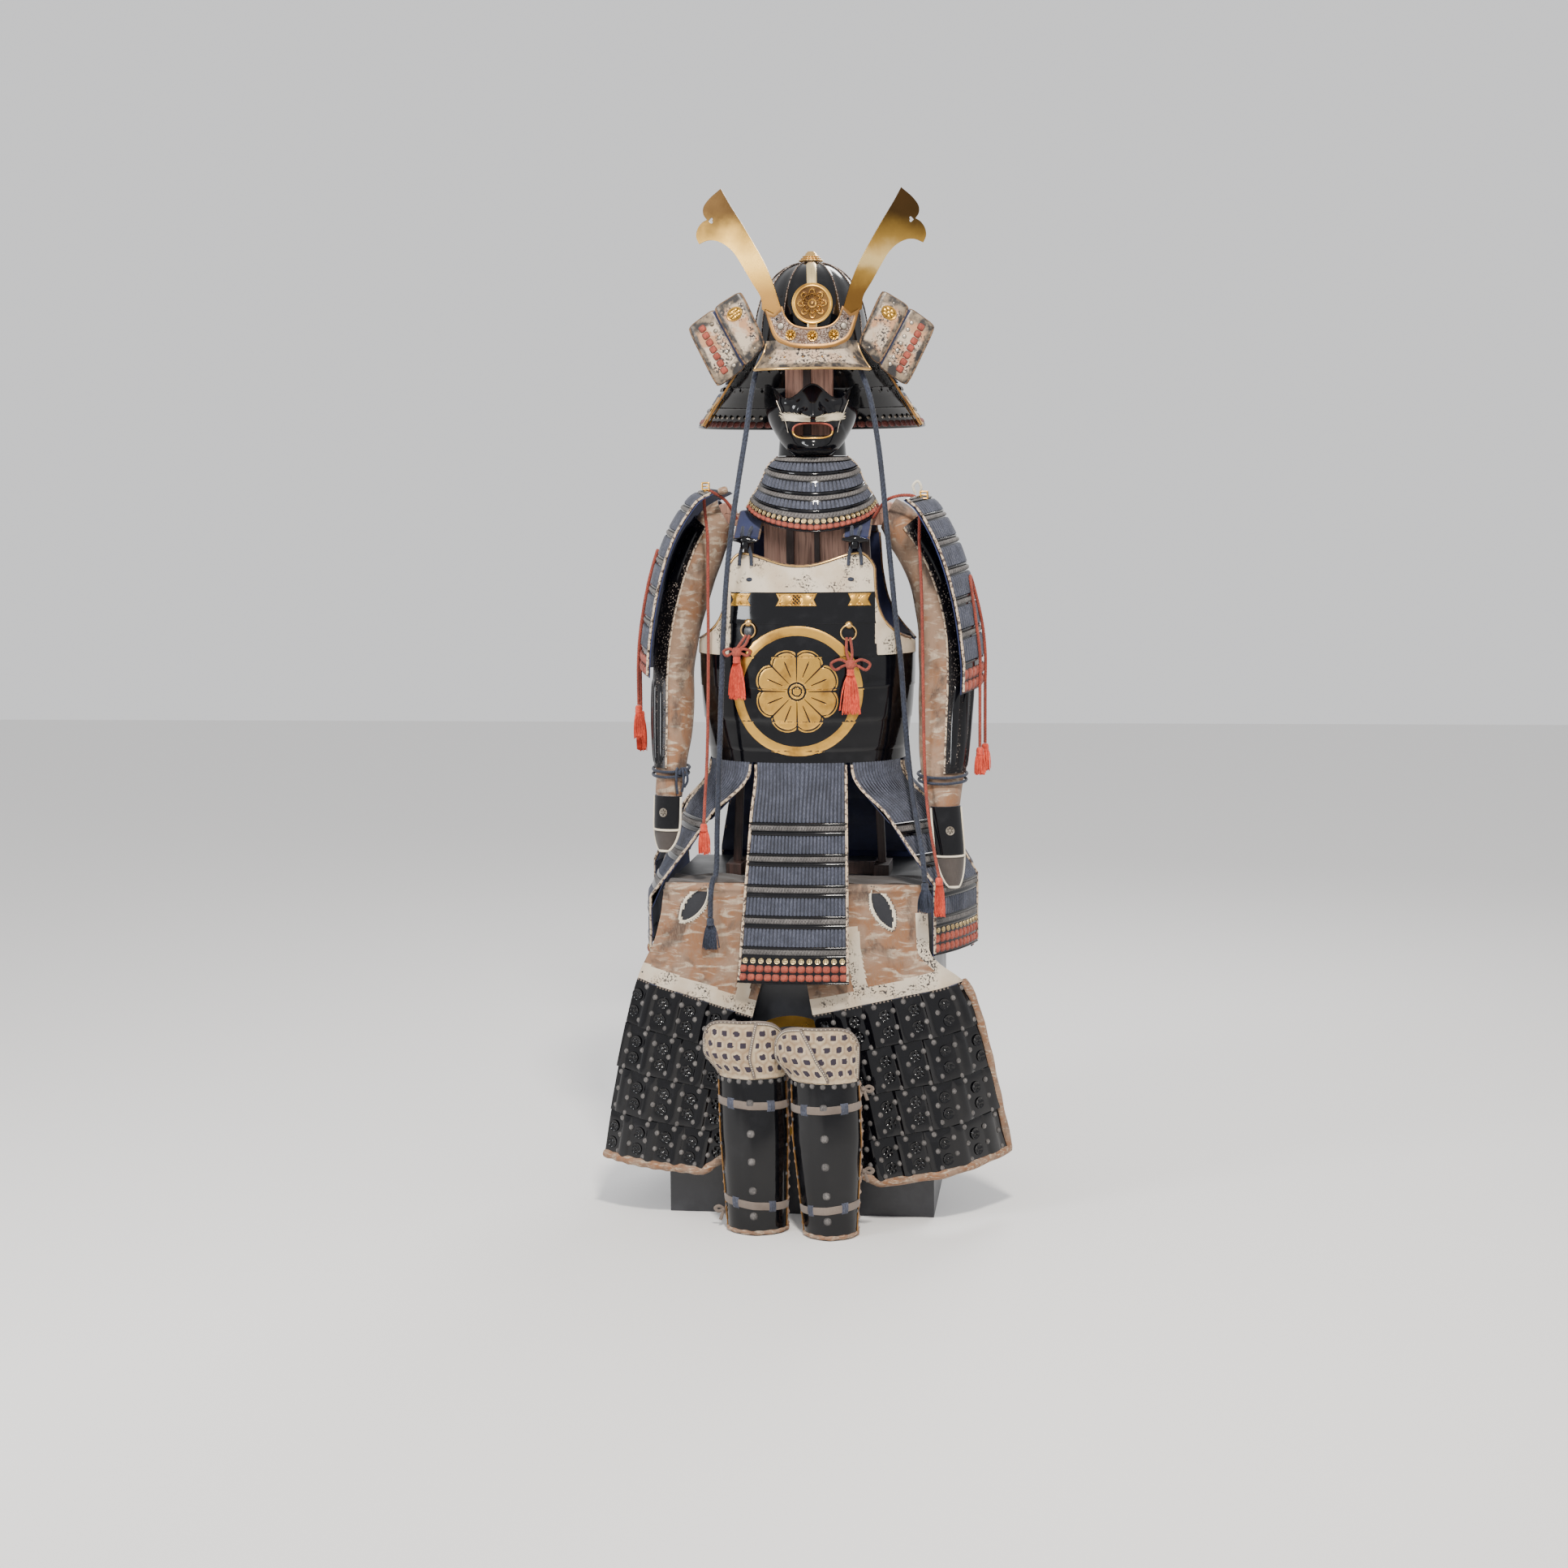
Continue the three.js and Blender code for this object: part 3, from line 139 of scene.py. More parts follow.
def through(points, count):
    """A smooth curve through points: centripetal Catmull-Rom pieces, then even steps along it."""
    p = np.asarray(points, float)
    p = np.concatenate([[2 * p[0] - p[1]], p, [2 * p[-1] - p[-2]]])
    gap = np.sqrt(np.linalg.norm(np.diff(p, axis=0), axis=1))[:, None]
    before, here, after = gap[:-2], gap[1:-1], gap[2:]
    p0, p1, p2, p3 = p[:-3], p[1:-2], p[2:-1], p[3:]
    leave = ((p1 - p0) / before - (p2 - p0) / (before + here) + (p2 - p1) / here) * here
    arrive = ((p2 - p1) / here - (p3 - p1) / (here + after) + (p3 - p2) / after) * here
    t = np.linspace(0, 1, 24, endpoint=False)[None, :, None]
    a, b, c, d = (v[:, None, :] for v in (p1, p2, leave, arrive))
    line = a + c * t + (3 * (b - a) - 2 * c - d) * t ** 2 + (2 * (a - b) + c + d) * t ** 3
    return spaced(np.concatenate([line.reshape(-1, 3), p[-2:-1]]), count)


# Patches: grids of points with their own texture places and paint number

def patch(points, paint=0, uv=None, mark=0.0):
    """Quads over rows and columns of points. The mark is 1 deep in a groove and 0 on top; the finishes paint
    shade into the grooves from it.
    """
    rows, columns = points.shape[:2]
    if uv is None:
        uv = np.stack(grid(np.linspace(0, 1, columns), np.linspace(0, 1, rows)), -1)
    corner = np.arange(rows * columns).reshape(rows, columns)
    faces = np.stack([corner[:-1, :-1], corner[:-1, 1:], corner[1:, 1:], corner[1:, :-1]], -1)
    paints = np.broadcast_to(paint, faces.shape[:2]).ravel()
    marks = np.broadcast_to(mark, (rows, columns)).astype(float).ravel()
    return points.reshape(-1, 3), faces.reshape(-1, 4), np.asarray(uv, float).reshape(-1, 2), paints, marks


def wall(outer, inner, paint=0, inner_paint=None, ring=False, uv=None, mark=0.0):
    """Two sheets of points with strips that join their edges. A ring's first column is its last."""
    inner_paint = paint if inner_paint is None else inner_paint
    parts = [patch(outer, paint, uv, mark), patch(inner[:, ::-1], inner_paint)]
    ends = [(outer[::-1][:1], inner[::-1][:1]), (inner[:1], outer[:1])]
    parts += [patch(np.concatenate(pair), inner_paint) for pair in ends]
    if not ring:
        sides = [(inner[:, :1], outer[:, :1]), (outer[:, -1:], inner[:, -1:])]
        parts += [patch(np.concatenate(pair, 1), inner_paint) for pair in sides]
    return parts


def slab(sheet, across, down, thick, paint=0, inner_paint=None, ring=False, uv=None):
    """A wall from a function of place across, place down and height above the sheet."""
    u, v = grid(across, down)
    return wall(sheet(u, v, 0), sheet(u, v, -thick), paint, inner_paint, ring, uv)


def around_line(path, hint):
    """Two directions across a line of points, the first one square to hint."""
    along = unit(np.gradient(path, axis=0))
    first = unit(np.cross(along, np.asarray(hint, float)))
    return first, np.cross(along, first)


def tube(path, radius, sides=8, hint=(0.3, 1, 0.1), paint=0, relief=None, ends=True, flat=1.0):
    """A round bar along a line of points. Relief is a function of angle and distance to a height."""
    first, second = around_line(path, hint)
    angle, way = grid(np.linspace(0, TAU, sides + 1), walk(path))
    radius = np.broadcast_to(np.asarray(radius, float), len(path))
    rise = 0 * angle if relief is None else relief(angle, way)
    mark = -rise / max(1e-6, -rise.min())
    out = radius[:, None] + rise
    points = path[:, None, :] + (out * np.cos(angle))[..., None] * first[:, None, :]
    points = points + (flat * out * np.sin(angle))[..., None] * second[:, None, :]
    if ends:
        start = np.broadcast_to(path[:1, None, :], (1, sides + 1, 3))
        stop = np.broadcast_to(path[-1:, None, :], (1, sides + 1, 3))
        points = np.concatenate([start, points, stop])
        way = np.concatenate([way[:1], way, way[-1:]])
        angle = np.concatenate([angle[:1], angle, angle[-1:]])
        mark = np.concatenate([mark[:1], mark, mark[-1:]])
    return patch(points, paint, np.stack([angle / TAU, way * MM], -1), mark)


def lathe(profile, sides, place, paint=0, axis=(0, 0, 1), side=(1, 0, 0), squash=1.0):
    """A profile of radius and height turned round an axis."""
    profile = np.asarray(profile, float)
    axis = unit(np.asarray(axis, float))
    side = unit(np.asarray(side, float) - np.dot(side, axis) * axis)
    other = np.cross(axis, side)
    angle = np.linspace(0, TAU, sides + 1)[None, :, None]
    ring = np.cos(angle) * side + squash * np.sin(angle) * other
    points = np.asarray(place, float) + profile[:, :1, None] * ring + profile[:, 1:, None] * axis
    return patch(points, paint)


def strands(lines, thick, paint=0, first=(1, 0, 0), second=(0, 1, 0)):
    """Thin three-sided hairs along many lines of points at once."""
    corner = (TAU * np.arange(4) / 3)[:, None]
    ring = np.cos(corner) * np.array(first, float) + np.sin(corner) * np.array(second, float)
    points = lines[:, :, None, :] + np.asarray(thick, float)[None, :, None, None] * ring
    one = patch(points[0])
    shift = len(one[0]) * np.arange(len(lines))
    faces = (one[1][None] + shift[:, None, None]).reshape(-1, 4)
    uv = np.tile(one[2], (len(lines), 1))
    return points.reshape(-1, 3), faces, uv, np.full(len(faces), paint), np.zeros(points.size // 3)


def scatter(shape, places, frames, paint=0, size=1.0):
    """Copies of a small patch of points, each in its own frame of three directions."""
    points, faces, uv, _, marks = shape
    size = np.broadcast_to(np.asarray(size, float), len(places))
    turned = np.einsum("nk,mkj->mnj", points, frames) * size[:, None, None]
    copies = np.asarray(places, float)[:, None, :] + turned
    shift = len(points) * np.arange(len(places))
    many = (faces[None] + shift[:, None, None]).reshape(-1, 4)
    uv, marks = np.tile(uv, (len(places), 1)), np.tile(marks, len(places))
    return copies.reshape(-1, 3), many, uv, np.full(len(many), paint), marks


def facing_front(count):
    """Frames whose outward direction is -Y."""
    return np.broadcast_to(np.array([[1, 0, 0], [0, 0, 1], [0, -1, 0]], float), (count, 3, 3))


def seats(sheet, u, v, lift=0.0):
    """Places on a sheet with their frames: across, up and outwards."""
    u, v = np.asarray(u, float).ravel(), np.asarray(v, float).ravel()
    step = 1e-3
    across = unit(sheet(u + step, v, 0) - sheet(u - step, v, 0))
    rough = sheet(u, v, 1) - sheet(u, v, 0)
    down = unit(sheet(u, v + step, 0) - sheet(u, v - step, 0))
    normal = unit(np.cross(across, down))
    normal = normal * np.sign(np.sum(normal * rough, -1))[:, None]
    return sheet(u, v, 0) + lift * normal, np.stack([across, np.cross(normal, across), normal], 1)


def dome(radius, height, sides=8, rings=3, squareness=1.0, stretch=1.0):
    """A low knob on the plane z = 0, squarer with a smaller squareness."""
    angle, t = grid(np.linspace(0, TAU, sides + 1), np.linspace(0, pi / 2, rings + 1))
    reach = radius * np.cos(t)
    x = reach * power(np.cos(angle), squareness)
    y = reach * power(np.sin(angle), squareness) * stretch
    return patch(spot(x, y, height * np.sin(t) - 0.5), mark=np.cos(t) ** 4)


def rosette(radius, height, petals=6, sides=30):
    """A small flower: a raised rim, petals and a middle, as height over distance and angle."""
    angle, share = grid(np.linspace(0, TAU, sides + 1), np.array([1, 0.94, 0.85, 0.68, 0.5, 0.36, 0.22, 0]))
    wave = 0.5 + 0.5 * np.cos(petals * angle)
    rise = bell(share, 0.9, 0.09) + bell(share, 0.58, 0.17) * wave + 1.1 * bell(share, 0, 0.25)
    low = np.clip(1 - rise, 0, 1)
    reach = radius * share
    return patch(spot(reach * np.cos(angle), reach * np.sin(angle), height * rise - 0.5), mark=low)


def turn_head(points):
    """The head is turned 7 degrees about a line 7 mm to the right."""
    turn = radians(7)
    x, y, z = np.moveaxis(points, -1, 0)
    return spot(7 + x * cos(turn) - y * sin(turn), x * sin(turn) + y * cos(turn), z)


def on_head(parts):
    return [(turn_head(points), *rest) for points, *rest in parts]


def build(name, parts, finishes, replaced=(), sharp=40, tidy=True):
    """One object from patches, merged where they meet, with a paint for each patch."""
    start = np.cumsum([0] + [len(part[0]) for part in parts])
    points = np.concatenate([part[0] for part in parts]) * MM
    faces = np.concatenate([part[1] + first for part, first in zip(parts, start)])
    uvs, paints, marks = (np.concatenate([part[k] for part in parts]) for k in (2, 3, 4))
    mesh = bpy.data.meshes.new(name)
    mesh.vertices.add(len(points))
    mesh.vertices.foreach_set("co", points.ravel())
    mesh.loops.add(faces.size)
    mesh.loops.foreach_set("vertex_index", faces.ravel())
    mesh.polygons.add(len(faces))
    mesh.polygons.foreach_set("loop_start", np.arange(0, faces.size, 4))
    mesh.polygons.foreach_set("material_index", paints.astype(np.int32))
    layer = mesh.uv_layers.new(name="surface")
    layer.data.foreach_set("uv", uvs[faces.ravel()].ravel())
    # The groove mark, from which the finishes paint shade into hollows.
    groove = mesh.attributes.new("groove", "FLOAT", "POINT")
    groove.data.foreach_set("value", marks)
    mesh.update(calc_edges=True)
    work = bmesh.new()
    work.from_mesh(mesh)
    bmesh.ops.remove_doubles(work, verts=work.verts, dist=2e-6)
    bmesh.ops.dissolve_degenerate(work, edges=work.edges, dist=1e-7)
    if tidy:
        bmesh.ops.recalc_face_normals(work, faces=work.faces)
    work.to_mesh(mesh)
    work.free()
    mesh.shade_smooth()
    mesh.set_sharp_from_angle(angle=radians(sharp))
    for material in finishes:
        mesh.materials.append(material)
    made = bpy.data.objects.new(name, mesh)
    bpy.context.collection.objects.link(made)
    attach(made, "root")
    if replaced:
        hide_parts(*replaced)
    return made


# Finishes

class Finish:
    """The nodes of one finish, with short calls for those that it uses."""

    def __init__(self, name, **constants):
        self.material = bpy.data.materials.new(name)
        self.material.use_nodes = True
        self.nodes = self.material.node_tree.nodes
        self.links = self.material.node_tree.links
        self.shader = self.nodes["Principled BSDF"]
        for socket, value in constants.items():
            self.put(self.shader.inputs[socket.replace("_", " ")], value)

    def put(self, socket, value):
        if isinstance(value, bpy.types.NodeSocket):
            self.links.new(value, socket)
        elif isinstance(value, tuple) and len(value) == 3 and socket.type == "RGBA":
            socket.default_value = (*value, 1)
        else:
            socket.default_value = value

    def add(self, kind, sockets, **settings):
        node = self.nodes.new("ShaderNode" + kind)
        for key, value in settings.items():
            setattr(node, key, value)
        for socket, value in sockets.items():
            self.put(node.inputs[socket], value)
        return node

    def place(self, scale=(1, 1, 1), source="Object"):
        coordinates = self.add("TexCoord", {}).outputs[source]
        return self.add("Mapping", {"Vector": coordinates, "Scale": scale}).outputs[0]

    def noise(self, scale, stretch=(1, 1, 1), detail=3.0, source="Object", distortion=0.0, rough=0.55):
        sockets = {"Vector": self.place(stretch, source), "Scale": scale, "Detail": detail,
                   "Distortion": distortion, "Roughness": rough}
        return self.add("TexNoise", sockets).outputs[0]

    def cells(self, scale, stretch=(1, 1, 1), feature="F1", source="Object", output="Distance", loose=1.0):
        sockets = {"Vector": self.place(stretch, source), "Scale": scale, "Randomness": loose}
        return self.add("TexVoronoi", sockets, feature=feature).outputs[output]

    def sum(self, operation, a, b=0.0, c=0.0):
        return self.add("Math", {0: a, 1: b, 2: c}, operation=operation).outputs[0]

    def between(self, value, low, high, first=0.0, last=1.0):
        sockets = {"Value": value, "From Min": low, "From Max": high, "To Min": first, "To Max": last}
        return self.add("MapRange", sockets, interpolation_type="SMOOTHSTEP").outputs[0]

    def blend(self, share, first, second):
        node = self.add("Mix", {0: share}, data_type="RGBA")
        self.put(node.inputs[6], first)
        self.put(node.inputs[7], second)
        return node.outputs[2]

    def bump(self, height, distance, strength=1.0):
        sockets = {"Height": height, "Distance": distance * MM, "Strength": strength}
        self.links.new(self.add("Bump", sockets).outputs[0], self.shader.inputs["Normal"])

    def set(self, **sockets):
        for socket, value in sockets.items():
            self.put(self.shader.inputs[socket.replace("_", " ")], value)
        return self.material


def lacquer():
    """Glossy black lacquer with faint brush waves and dust."""
    f = Finish("black_lacquer", Coat_Weight=0.3, Coat_Roughness=0.04, Specular_IOR_Level=0.2)
    dust = f.noise(30, detail=6)
    haze = f.between(dust, 0.5, 0.8)
    f.bump(f.noise(18, detail=1), 0.8, 0.25)
    return f.set(Base_Color=f.blend(f.sum("MULTIPLY", haze, 0.12), (0.002, 0.002, 0.003),
                                    (0.05, 0.05, 0.055)),
                 Roughness=f.between(dust, 0.3, 0.8, 0.09, 0.21))


def gold(name="gold_leaf", color=(0.72, 0.4, 0.08), worn=(0.3, 0.15, 0.035), rough=0.24, grain=60,
         depth=0.15):
    """Gold leaf or gilt copper, cloudy, a little rubbed, with painted shade that darkens its grooves and the
    feet of its knobs.
    """
    f = Finish(name, Metallic=0.95)
    groove = f.add("Attribute", {}, attribute_name="groove").outputs["Fac"]
    cloud = f.noise(22, detail=5)
    fine = f.noise(grain * 8, detail=3)
    f.bump(f.noise(grain, detail=4), depth, 0.6)
    rubbed = f.blend(f.between(cloud, 0.45, 0.75), color, worn)
    # Painted shade: the groove mark darkens hollows and the feet of knobs towards a fifth of the worn
    # colour.
    return f.set(Base_Color=f.blend(f.sum("MULTIPLY", groove, 0.85), rubbed, tuple(c * 0.2 for c in worn)),
                 Roughness=f.sum("ADD", f.between(cloud, 0.3, 0.7, rough, rough + 0.16),
                                 f.sum("MULTIPLY", fine, 0.06)))


def horn_gilt():
    """Flat gilt horns: dark bronze near the top as painted reflection, a painted highlight of pale gold half
    way and stronger to the right, and brown at the feet.
    """
    f = Finish("horn_gilt", Metallic=1.0)
    height = f.add("SeparateXYZ", {0: f.place()}).outputs[2]
    across = f.add("SeparateXYZ", {0: f.place()}).outputs[0]
    cloud = f.noise(14, detail=4)
    rise = f.sum("ADD", height, f.sum("MULTIPLY", cloud, 0.06))
    feet = f.blend(f.between(rise, 1.635, 1.705), (0.24, 0.12, 0.03), (0.62, 0.36, 0.075))
    # Painted reflection: the horns turn dark bronze towards the top.
    with_dark_reflection = f.blend(f.between(rise, 1.71, 1.79), feet, (0.07, 0.038, 0.014))
    # Painted highlight: a pale gold belt half way up, stronger towards the right.
    painted_highlight = f.sum("MULTIPLY", f.between(rise, 1.675, 1.7), f.between(rise, 1.71, 1.745, 1.0, 0.0))
    color = f.blend(f.sum("MULTIPLY", painted_highlight, f.between(across, -0.05, 0.1, 0.1, 0.75)), with_dark_reflection,
                    (1.0, 0.74, 0.32))
    f.bump(f.noise(300, detail=2), 0.06, 0.4)
    return f.set(Base_Color=color, Roughness=f.between(cloud, 0.3, 0.7, 0.28, 0.42))


def embossed(name="embossed_band", low=(0.06, 0.042, 0.035), high=(0.42, 0.34, 0.29), scale=170):
    """Old silvered copper with fine scrolls."""
    f = Finish(name, Metallic=0.6)
    scroll = f.noise(scale, detail=2, distortion=2.5)
    relief = f.between(scroll, 0.44, 0.56)
    stain = f.between(f.noise(20, detail=4), 0.4, 0.7)
    f.bump(relief, 0.6, 1.0)
    color = f.blend(relief, low, high)
    return f.set(Base_Color=f.blend(f.sum("MULTIPLY", stain, 0.4), color, (0.26, 0.13, 0.075)),
                 Roughness=0.4)


def specked_leather(name="specked_leather", cream=(0.56, 0.48, 0.37), amount=1.0, tint=(0.46, 0.36, 0.25)):
    """Cream printed leather that has flaked to black specks in clusters."""
    f = Finish(name, Sheen_Weight=0.05)
    grain = f.noise(900, detail=2)
    flake = f.between(f.noise(300, detail=3), 0.53, 0.57)
    cluster = f.between(f.noise(20, detail=4), 0.5, 0.6)
    speck = f.sum("MULTIPLY", f.sum("MULTIPLY", flake, cluster), amount)
    base = f.blend(f.between(f.noise(18, detail=4), 0.4, 0.7), cream, tint)
    f.bump(f.sum("SUBTRACT", grain, f.sum("MULTIPLY", speck, 2.0)), 0.15, 0.5)
    return f.set(Base_Color=f.blend(speck, base, (0.025, 0.02, 0.02)), Roughness=0.62)


def plate_leather(name, patchy):
    """Cream leather over a plate, dark and oxidised towards its rim, with brown patches."""
    f = Finish(name, Metallic=0.1)
    u, v, _ = f.add("SeparateXYZ", {0: f.place(source="UV")}).outputs
    near = [f.sum("MINIMUM", w, f.sum("SUBTRACT", 1.0, w)) for w in (u, v)]
    rough = f.noise(40, detail=5)
    edge = f.sum("ADD", f.sum("MINIMUM", *near), f.sum("MULTIPLY", f.sum("SUBTRACT", rough, 0.5), 0.2))
    rim = f.between(edge, 0.1, 0.19, 1.0, 0.0)
    speck = f.sum("MULTIPLY", f.between(f.noise(260, detail=3), 0.52, 0.56),
                  f.between(f.noise(26, detail=3), 0.42, 0.54))
    base = f.blend(f.sum("MULTIPLY", f.between(f.noise(30, detail=4), 0.45, 0.58), patchy),
                   (0.5, 0.4, 0.3), (0.4, 0.19, 0.08))
    aged = f.blend(speck, base, (0.03, 0.026, 0.026))
    dark = f.blend(f.between(f.noise(60, detail=4), 0.42, 0.66), (0.022, 0.02, 0.02), (0.24, 0.18, 0.12))
    f.bump(f.noise(250, detail=4), 0.35, 0.7)
    return f.set(Base_Color=f.blend(rim, aged, dark), Roughness=0.4)


def silk(name, color, light=None, scale=700, bump=0.25, sheen=0.12, dip=0.85):
    """Braided silk: fine threads along the cord, small changes of tone, and painted shade that darkens its
    grooves, as strong as dip.
    """
    f = Finish(name, Sheen_Weight=sheen, Roughness=0.8)
    light = light or tuple(min(1, 1.9 * c + 0.02) for c in color)
    groove = f.add("Attribute", {}, attribute_name="groove").outputs["Fac"]
    thread = f.noise(scale, (1, 1, 0.35), detail=2)
    tone = f.between(f.noise(45, detail=4), 0.35, 0.7)
    f.bump(thread, bump, 0.8)
    mixed = f.blend(f.between(thread, 0.35, 0.7), color, light)
    worn = f.blend(f.sum("MULTIPLY", tone, 0.6), mixed, tuple(c * 0.5 for c in color))
    # Painted shade: the groove mark darkens the hollows of the braids and the gaps between cords and between
    # knots.
    return f.set(Base_Color=f.blend(f.sum("MULTIPLY", groove, dip), worn, tuple(c * 0.12 for c in color)))


def mottled_hide(name="mottled_hide", strength=1.0, lie=(1, 1, 0.3), size=1.0):
    """Short-haired hide: orange-brown, cream and dark clouds with fine hairs."""
    f = Finish(name, Sheen_Weight=0.1, Roughness=0.85)
    hair = f.noise(230, lie, detail=4, distortion=1.4)
    cloud = f.noise(15 * size, detail=5, distortion=0.8)
    streak = f.noise(44 * size, (0.6, 1, 2.0), detail=5, distortion=1.0)
    warm = f.blend(f.between(cloud, 0.42, 0.6), (0.25, 0.155, 0.1), (0.22, 0.1, 0.045))
    pale = f.blend(f.between(streak, 0.5, 0.66), warm, (0.42, 0.33, 0.24))
    patches = f.between(f.noise(19 * size, (1.2, 1, 0.9), detail=6, distortion=0.6), 0.5, 0.66)
    base = f.blend(f.sum("MULTIPLY", patches, 0.8 * strength), pale, (0.04, 0.03, 0.026))
    hairs = f.blend(f.between(hair, 0.42, 0.66), base, (0.2, 0.135, 0.09))
    f.bump(f.sum("ADD", hair, f.sum("MULTIPLY", cloud, 2.0)), 0.6, 0.8)
    return f.set(Base_Color=f.blend(0.45, base, hairs))


def mail():
    """Black mail with worn grey grains."""
    f = Finish("mail", Metallic=0.5)
    ring = f.cells(250)
    grain = f.between(ring, 0.1, 0.4, 1.0, 0.0)
    worn = f.between(f.noise(40, detail=3), 0.38, 0.6)
    f.bump(grain, 1.0, 1.0)
    return f.set(Base_Color=f.blend(f.sum("MULTIPLY", grain, worn), (0.006, 0.005, 0.006),
                                    (0.36, 0.3, 0.26)), Roughness=0.36)


def cloth(name, color, light, scale=500):
    """Plain woven cloth."""
    f = Finish(name, Sheen_Weight=0.2, Roughness=0.9)
    warp = f.noise(scale, (1, 1, 0.2), detail=2)
    weft = f.noise(scale, (0.2, 1, 1), detail=2)
    weave = f.sum("MULTIPLY", f.sum("ADD", warp, weft), 0.5)
    f.bump(weave, 0.25, 0.7)
    tone = f.between(f.noise(16, detail=4), 0.3, 0.7)
    return f.set(Base_Color=f.blend(f.sum("MULTIPLY", tone, weave), color, light))


def flecked(name="flecked_cord", first=(0.52, 0.4, 0.28), second=(0.07, 0.045, 0.035)):
    """Edge cord of cream and brown threads."""
    f = Finish(name, Roughness=0.8, Sheen_Weight=0.2)
    fleck = f.between(f.noise(190, detail=2), 0.5, 0.58)
    f.bump(f.noise(400, detail=2), 0.3, 0.8)
    return f.set(Base_Color=f.blend(fleck, first, second))


def quilt():
    """Cream hexagon quilting: marks below zero are the dark spots, and marks above it darken the sunken
    stitch lines between the cells as painted shade.
    """
    f = Finish("quilt", Roughness=0.85, Sheen_Weight=0.1)
    mark = f.add("Attribute", {}, attribute_name="groove").outputs["Fac"]
    thread = f.noise(420, detail=3)
    cream = f.blend(f.between(f.noise(70, detail=4), 0.35, 0.7), (0.5, 0.4, 0.27), (0.36, 0.26, 0.16))
    # Painted shade in the sunken stitch lines round each cell.
    hollow_shaded = f.blend(f.sum("MULTIPLY", f.sum("MAXIMUM", mark, 0.0), 0.75), cream, (0.2, 0.12, 0.06))
    f.bump(thread, 0.4, 0.9)
    return f.set(Base_Color=f.blend(f.between(mark, -0.6, -0.35, 1.0, 0.0), hollow_shaded, (0.022, 0.014, 0.026)))


def wood(name, color, dark, grain=(1, 1, 0.06), scale=90):
    """Oiled board with grain along its length."""
    f = Finish(name, Coat_Weight=0.1, Coat_Roughness=0.4)
    streak = f.noise(scale * 3, grain, detail=5, distortion=0.8)
    band = f.noise(scale * 0.5, grain, detail=3, distortion=1.5)
    f.bump(streak, 0.15, 0.6)
    color = f.blend(f.between(streak, 0.42, 0.68), f.blend(f.between(band, 0.4, 0.7), color, dark),
                    tuple(c * 0.6 for c in dark))
    return f.set(Base_Color=color, Roughness=0.55)


def painted_box():
    """The chest's black lacquer, flat, rubbed and a little blue."""
    f = Finish("chest_black", Coat_Weight=0.15, Coat_Roughness=0.35)
    cloud = f.noise(12, detail=6)
    f.bump(f.noise(120, detail=4), 0.12, 0.4)
    return f.set(Base_Color=f.blend(f.between(cloud, 0.4, 0.75), (0.011, 0.012, 0.016),
                                    (0.035, 0.036, 0.042)),
                 Roughness=f.between(cloud, 0.3, 0.7, 0.34, 0.5))


LACQUER = lacquer()
GOLD = gold()
BRASS = gold("brass", (0.72, 0.45, 0.16), (0.3, 0.16, 0.06), rough=0.22)
BRONZE = gold("bronze", (0.33, 0.17, 0.055), (0.12, 0.06, 0.025), rough=0.38)
PALE_GILT = gold("pale_gilt", (0.86, 0.66, 0.34), (0.5, 0.33, 0.14), rough=0.3)
GREY_STUD = gold("grey_stud", (0.5, 0.45, 0.38), (0.16, 0.13, 0.1), rough=0.4)
HORN = horn_gilt()
EMBOSSED = embossed()
SPECKED = specked_leather()
VISOR_LEATHER = plate_leather("visor_leather", 0.35)
WING_LEATHER = plate_leather("wing_leather", 0.85)
LACING = silk("blue_lacing", (0.03, 0.036, 0.058), (0.085, 0.092, 0.13))
BRAID = silk("grey_braid", (0.07, 0.064, 0.064), (0.2, 0.185, 0.175))
NAVY = silk("navy_cord", (0.008, 0.012, 0.026), (0.034, 0.044, 0.075))
RED = silk("red_cord", (0.22, 0.03, 0.017), (0.38, 0.065, 0.034))
TASSEL_RED = silk("tassel_red", (0.5, 0.035, 0.015), (0.78, 0.1, 0.045), scale=500)
BLOCK_RED = silk("block_red", (0.26, 0.04, 0.022), (0.42, 0.095, 0.055), scale=600, bump=0.5)
BLOCK_DARK = silk("block_dark", (0.12, 0.022, 0.016), (0.2, 0.045, 0.032), scale=600, bump=0.5)
HIDE = mottled_hide()
BINDING = mottled_hide("brown_binding", 0.45, size=2.5)
MAIL = mail()
NAVY_CLOTH = cloth("navy_cloth", (0.006, 0.01, 0.045), (0.014, 0.026, 0.11))
GREY_CLOTH = cloth("grey_cloth", (0.035, 0.028, 0.025), (0.085, 0.07, 0.062))
DARK_CLOTH = cloth("dark_cloth", (0.009, 0.01, 0.014), (0.025, 0.026, 0.032))
RIBBON = cloth("brown_ribbon", (0.11, 0.085, 0.07), (0.24, 0.19, 0.155), scale=900)
FLECKED = flecked()
EDGE_BROWN = flecked("edge_brown", (0.15, 0.08, 0.035), (0.035, 0.02, 0.012))
QUILT = quilt()
CREAM = cloth("cream_edge", (0.62, 0.55, 0.42), (0.78, 0.72, 0.6))
STAND_WOOD = wood("stand_wood", (0.5, 0.28, 0.2), (0.38, 0.19, 0.135))
# The stand's wood painted in shade, for its struts and the boards at their feet, and for strips that stand
# for the shade in the gaps between the slats.
SHADED_WOOD = wood("shaded_wood", (0.06, 0.03, 0.025), (0.03, 0.015, 0.012))
CHEST_BLACK = painted_box()
LACED = [LACQUER, LACING, BRAID, BLOCK_RED, PALE_GILT, NAVY_CLOTH, FLECKED]


# Cords and their tassels

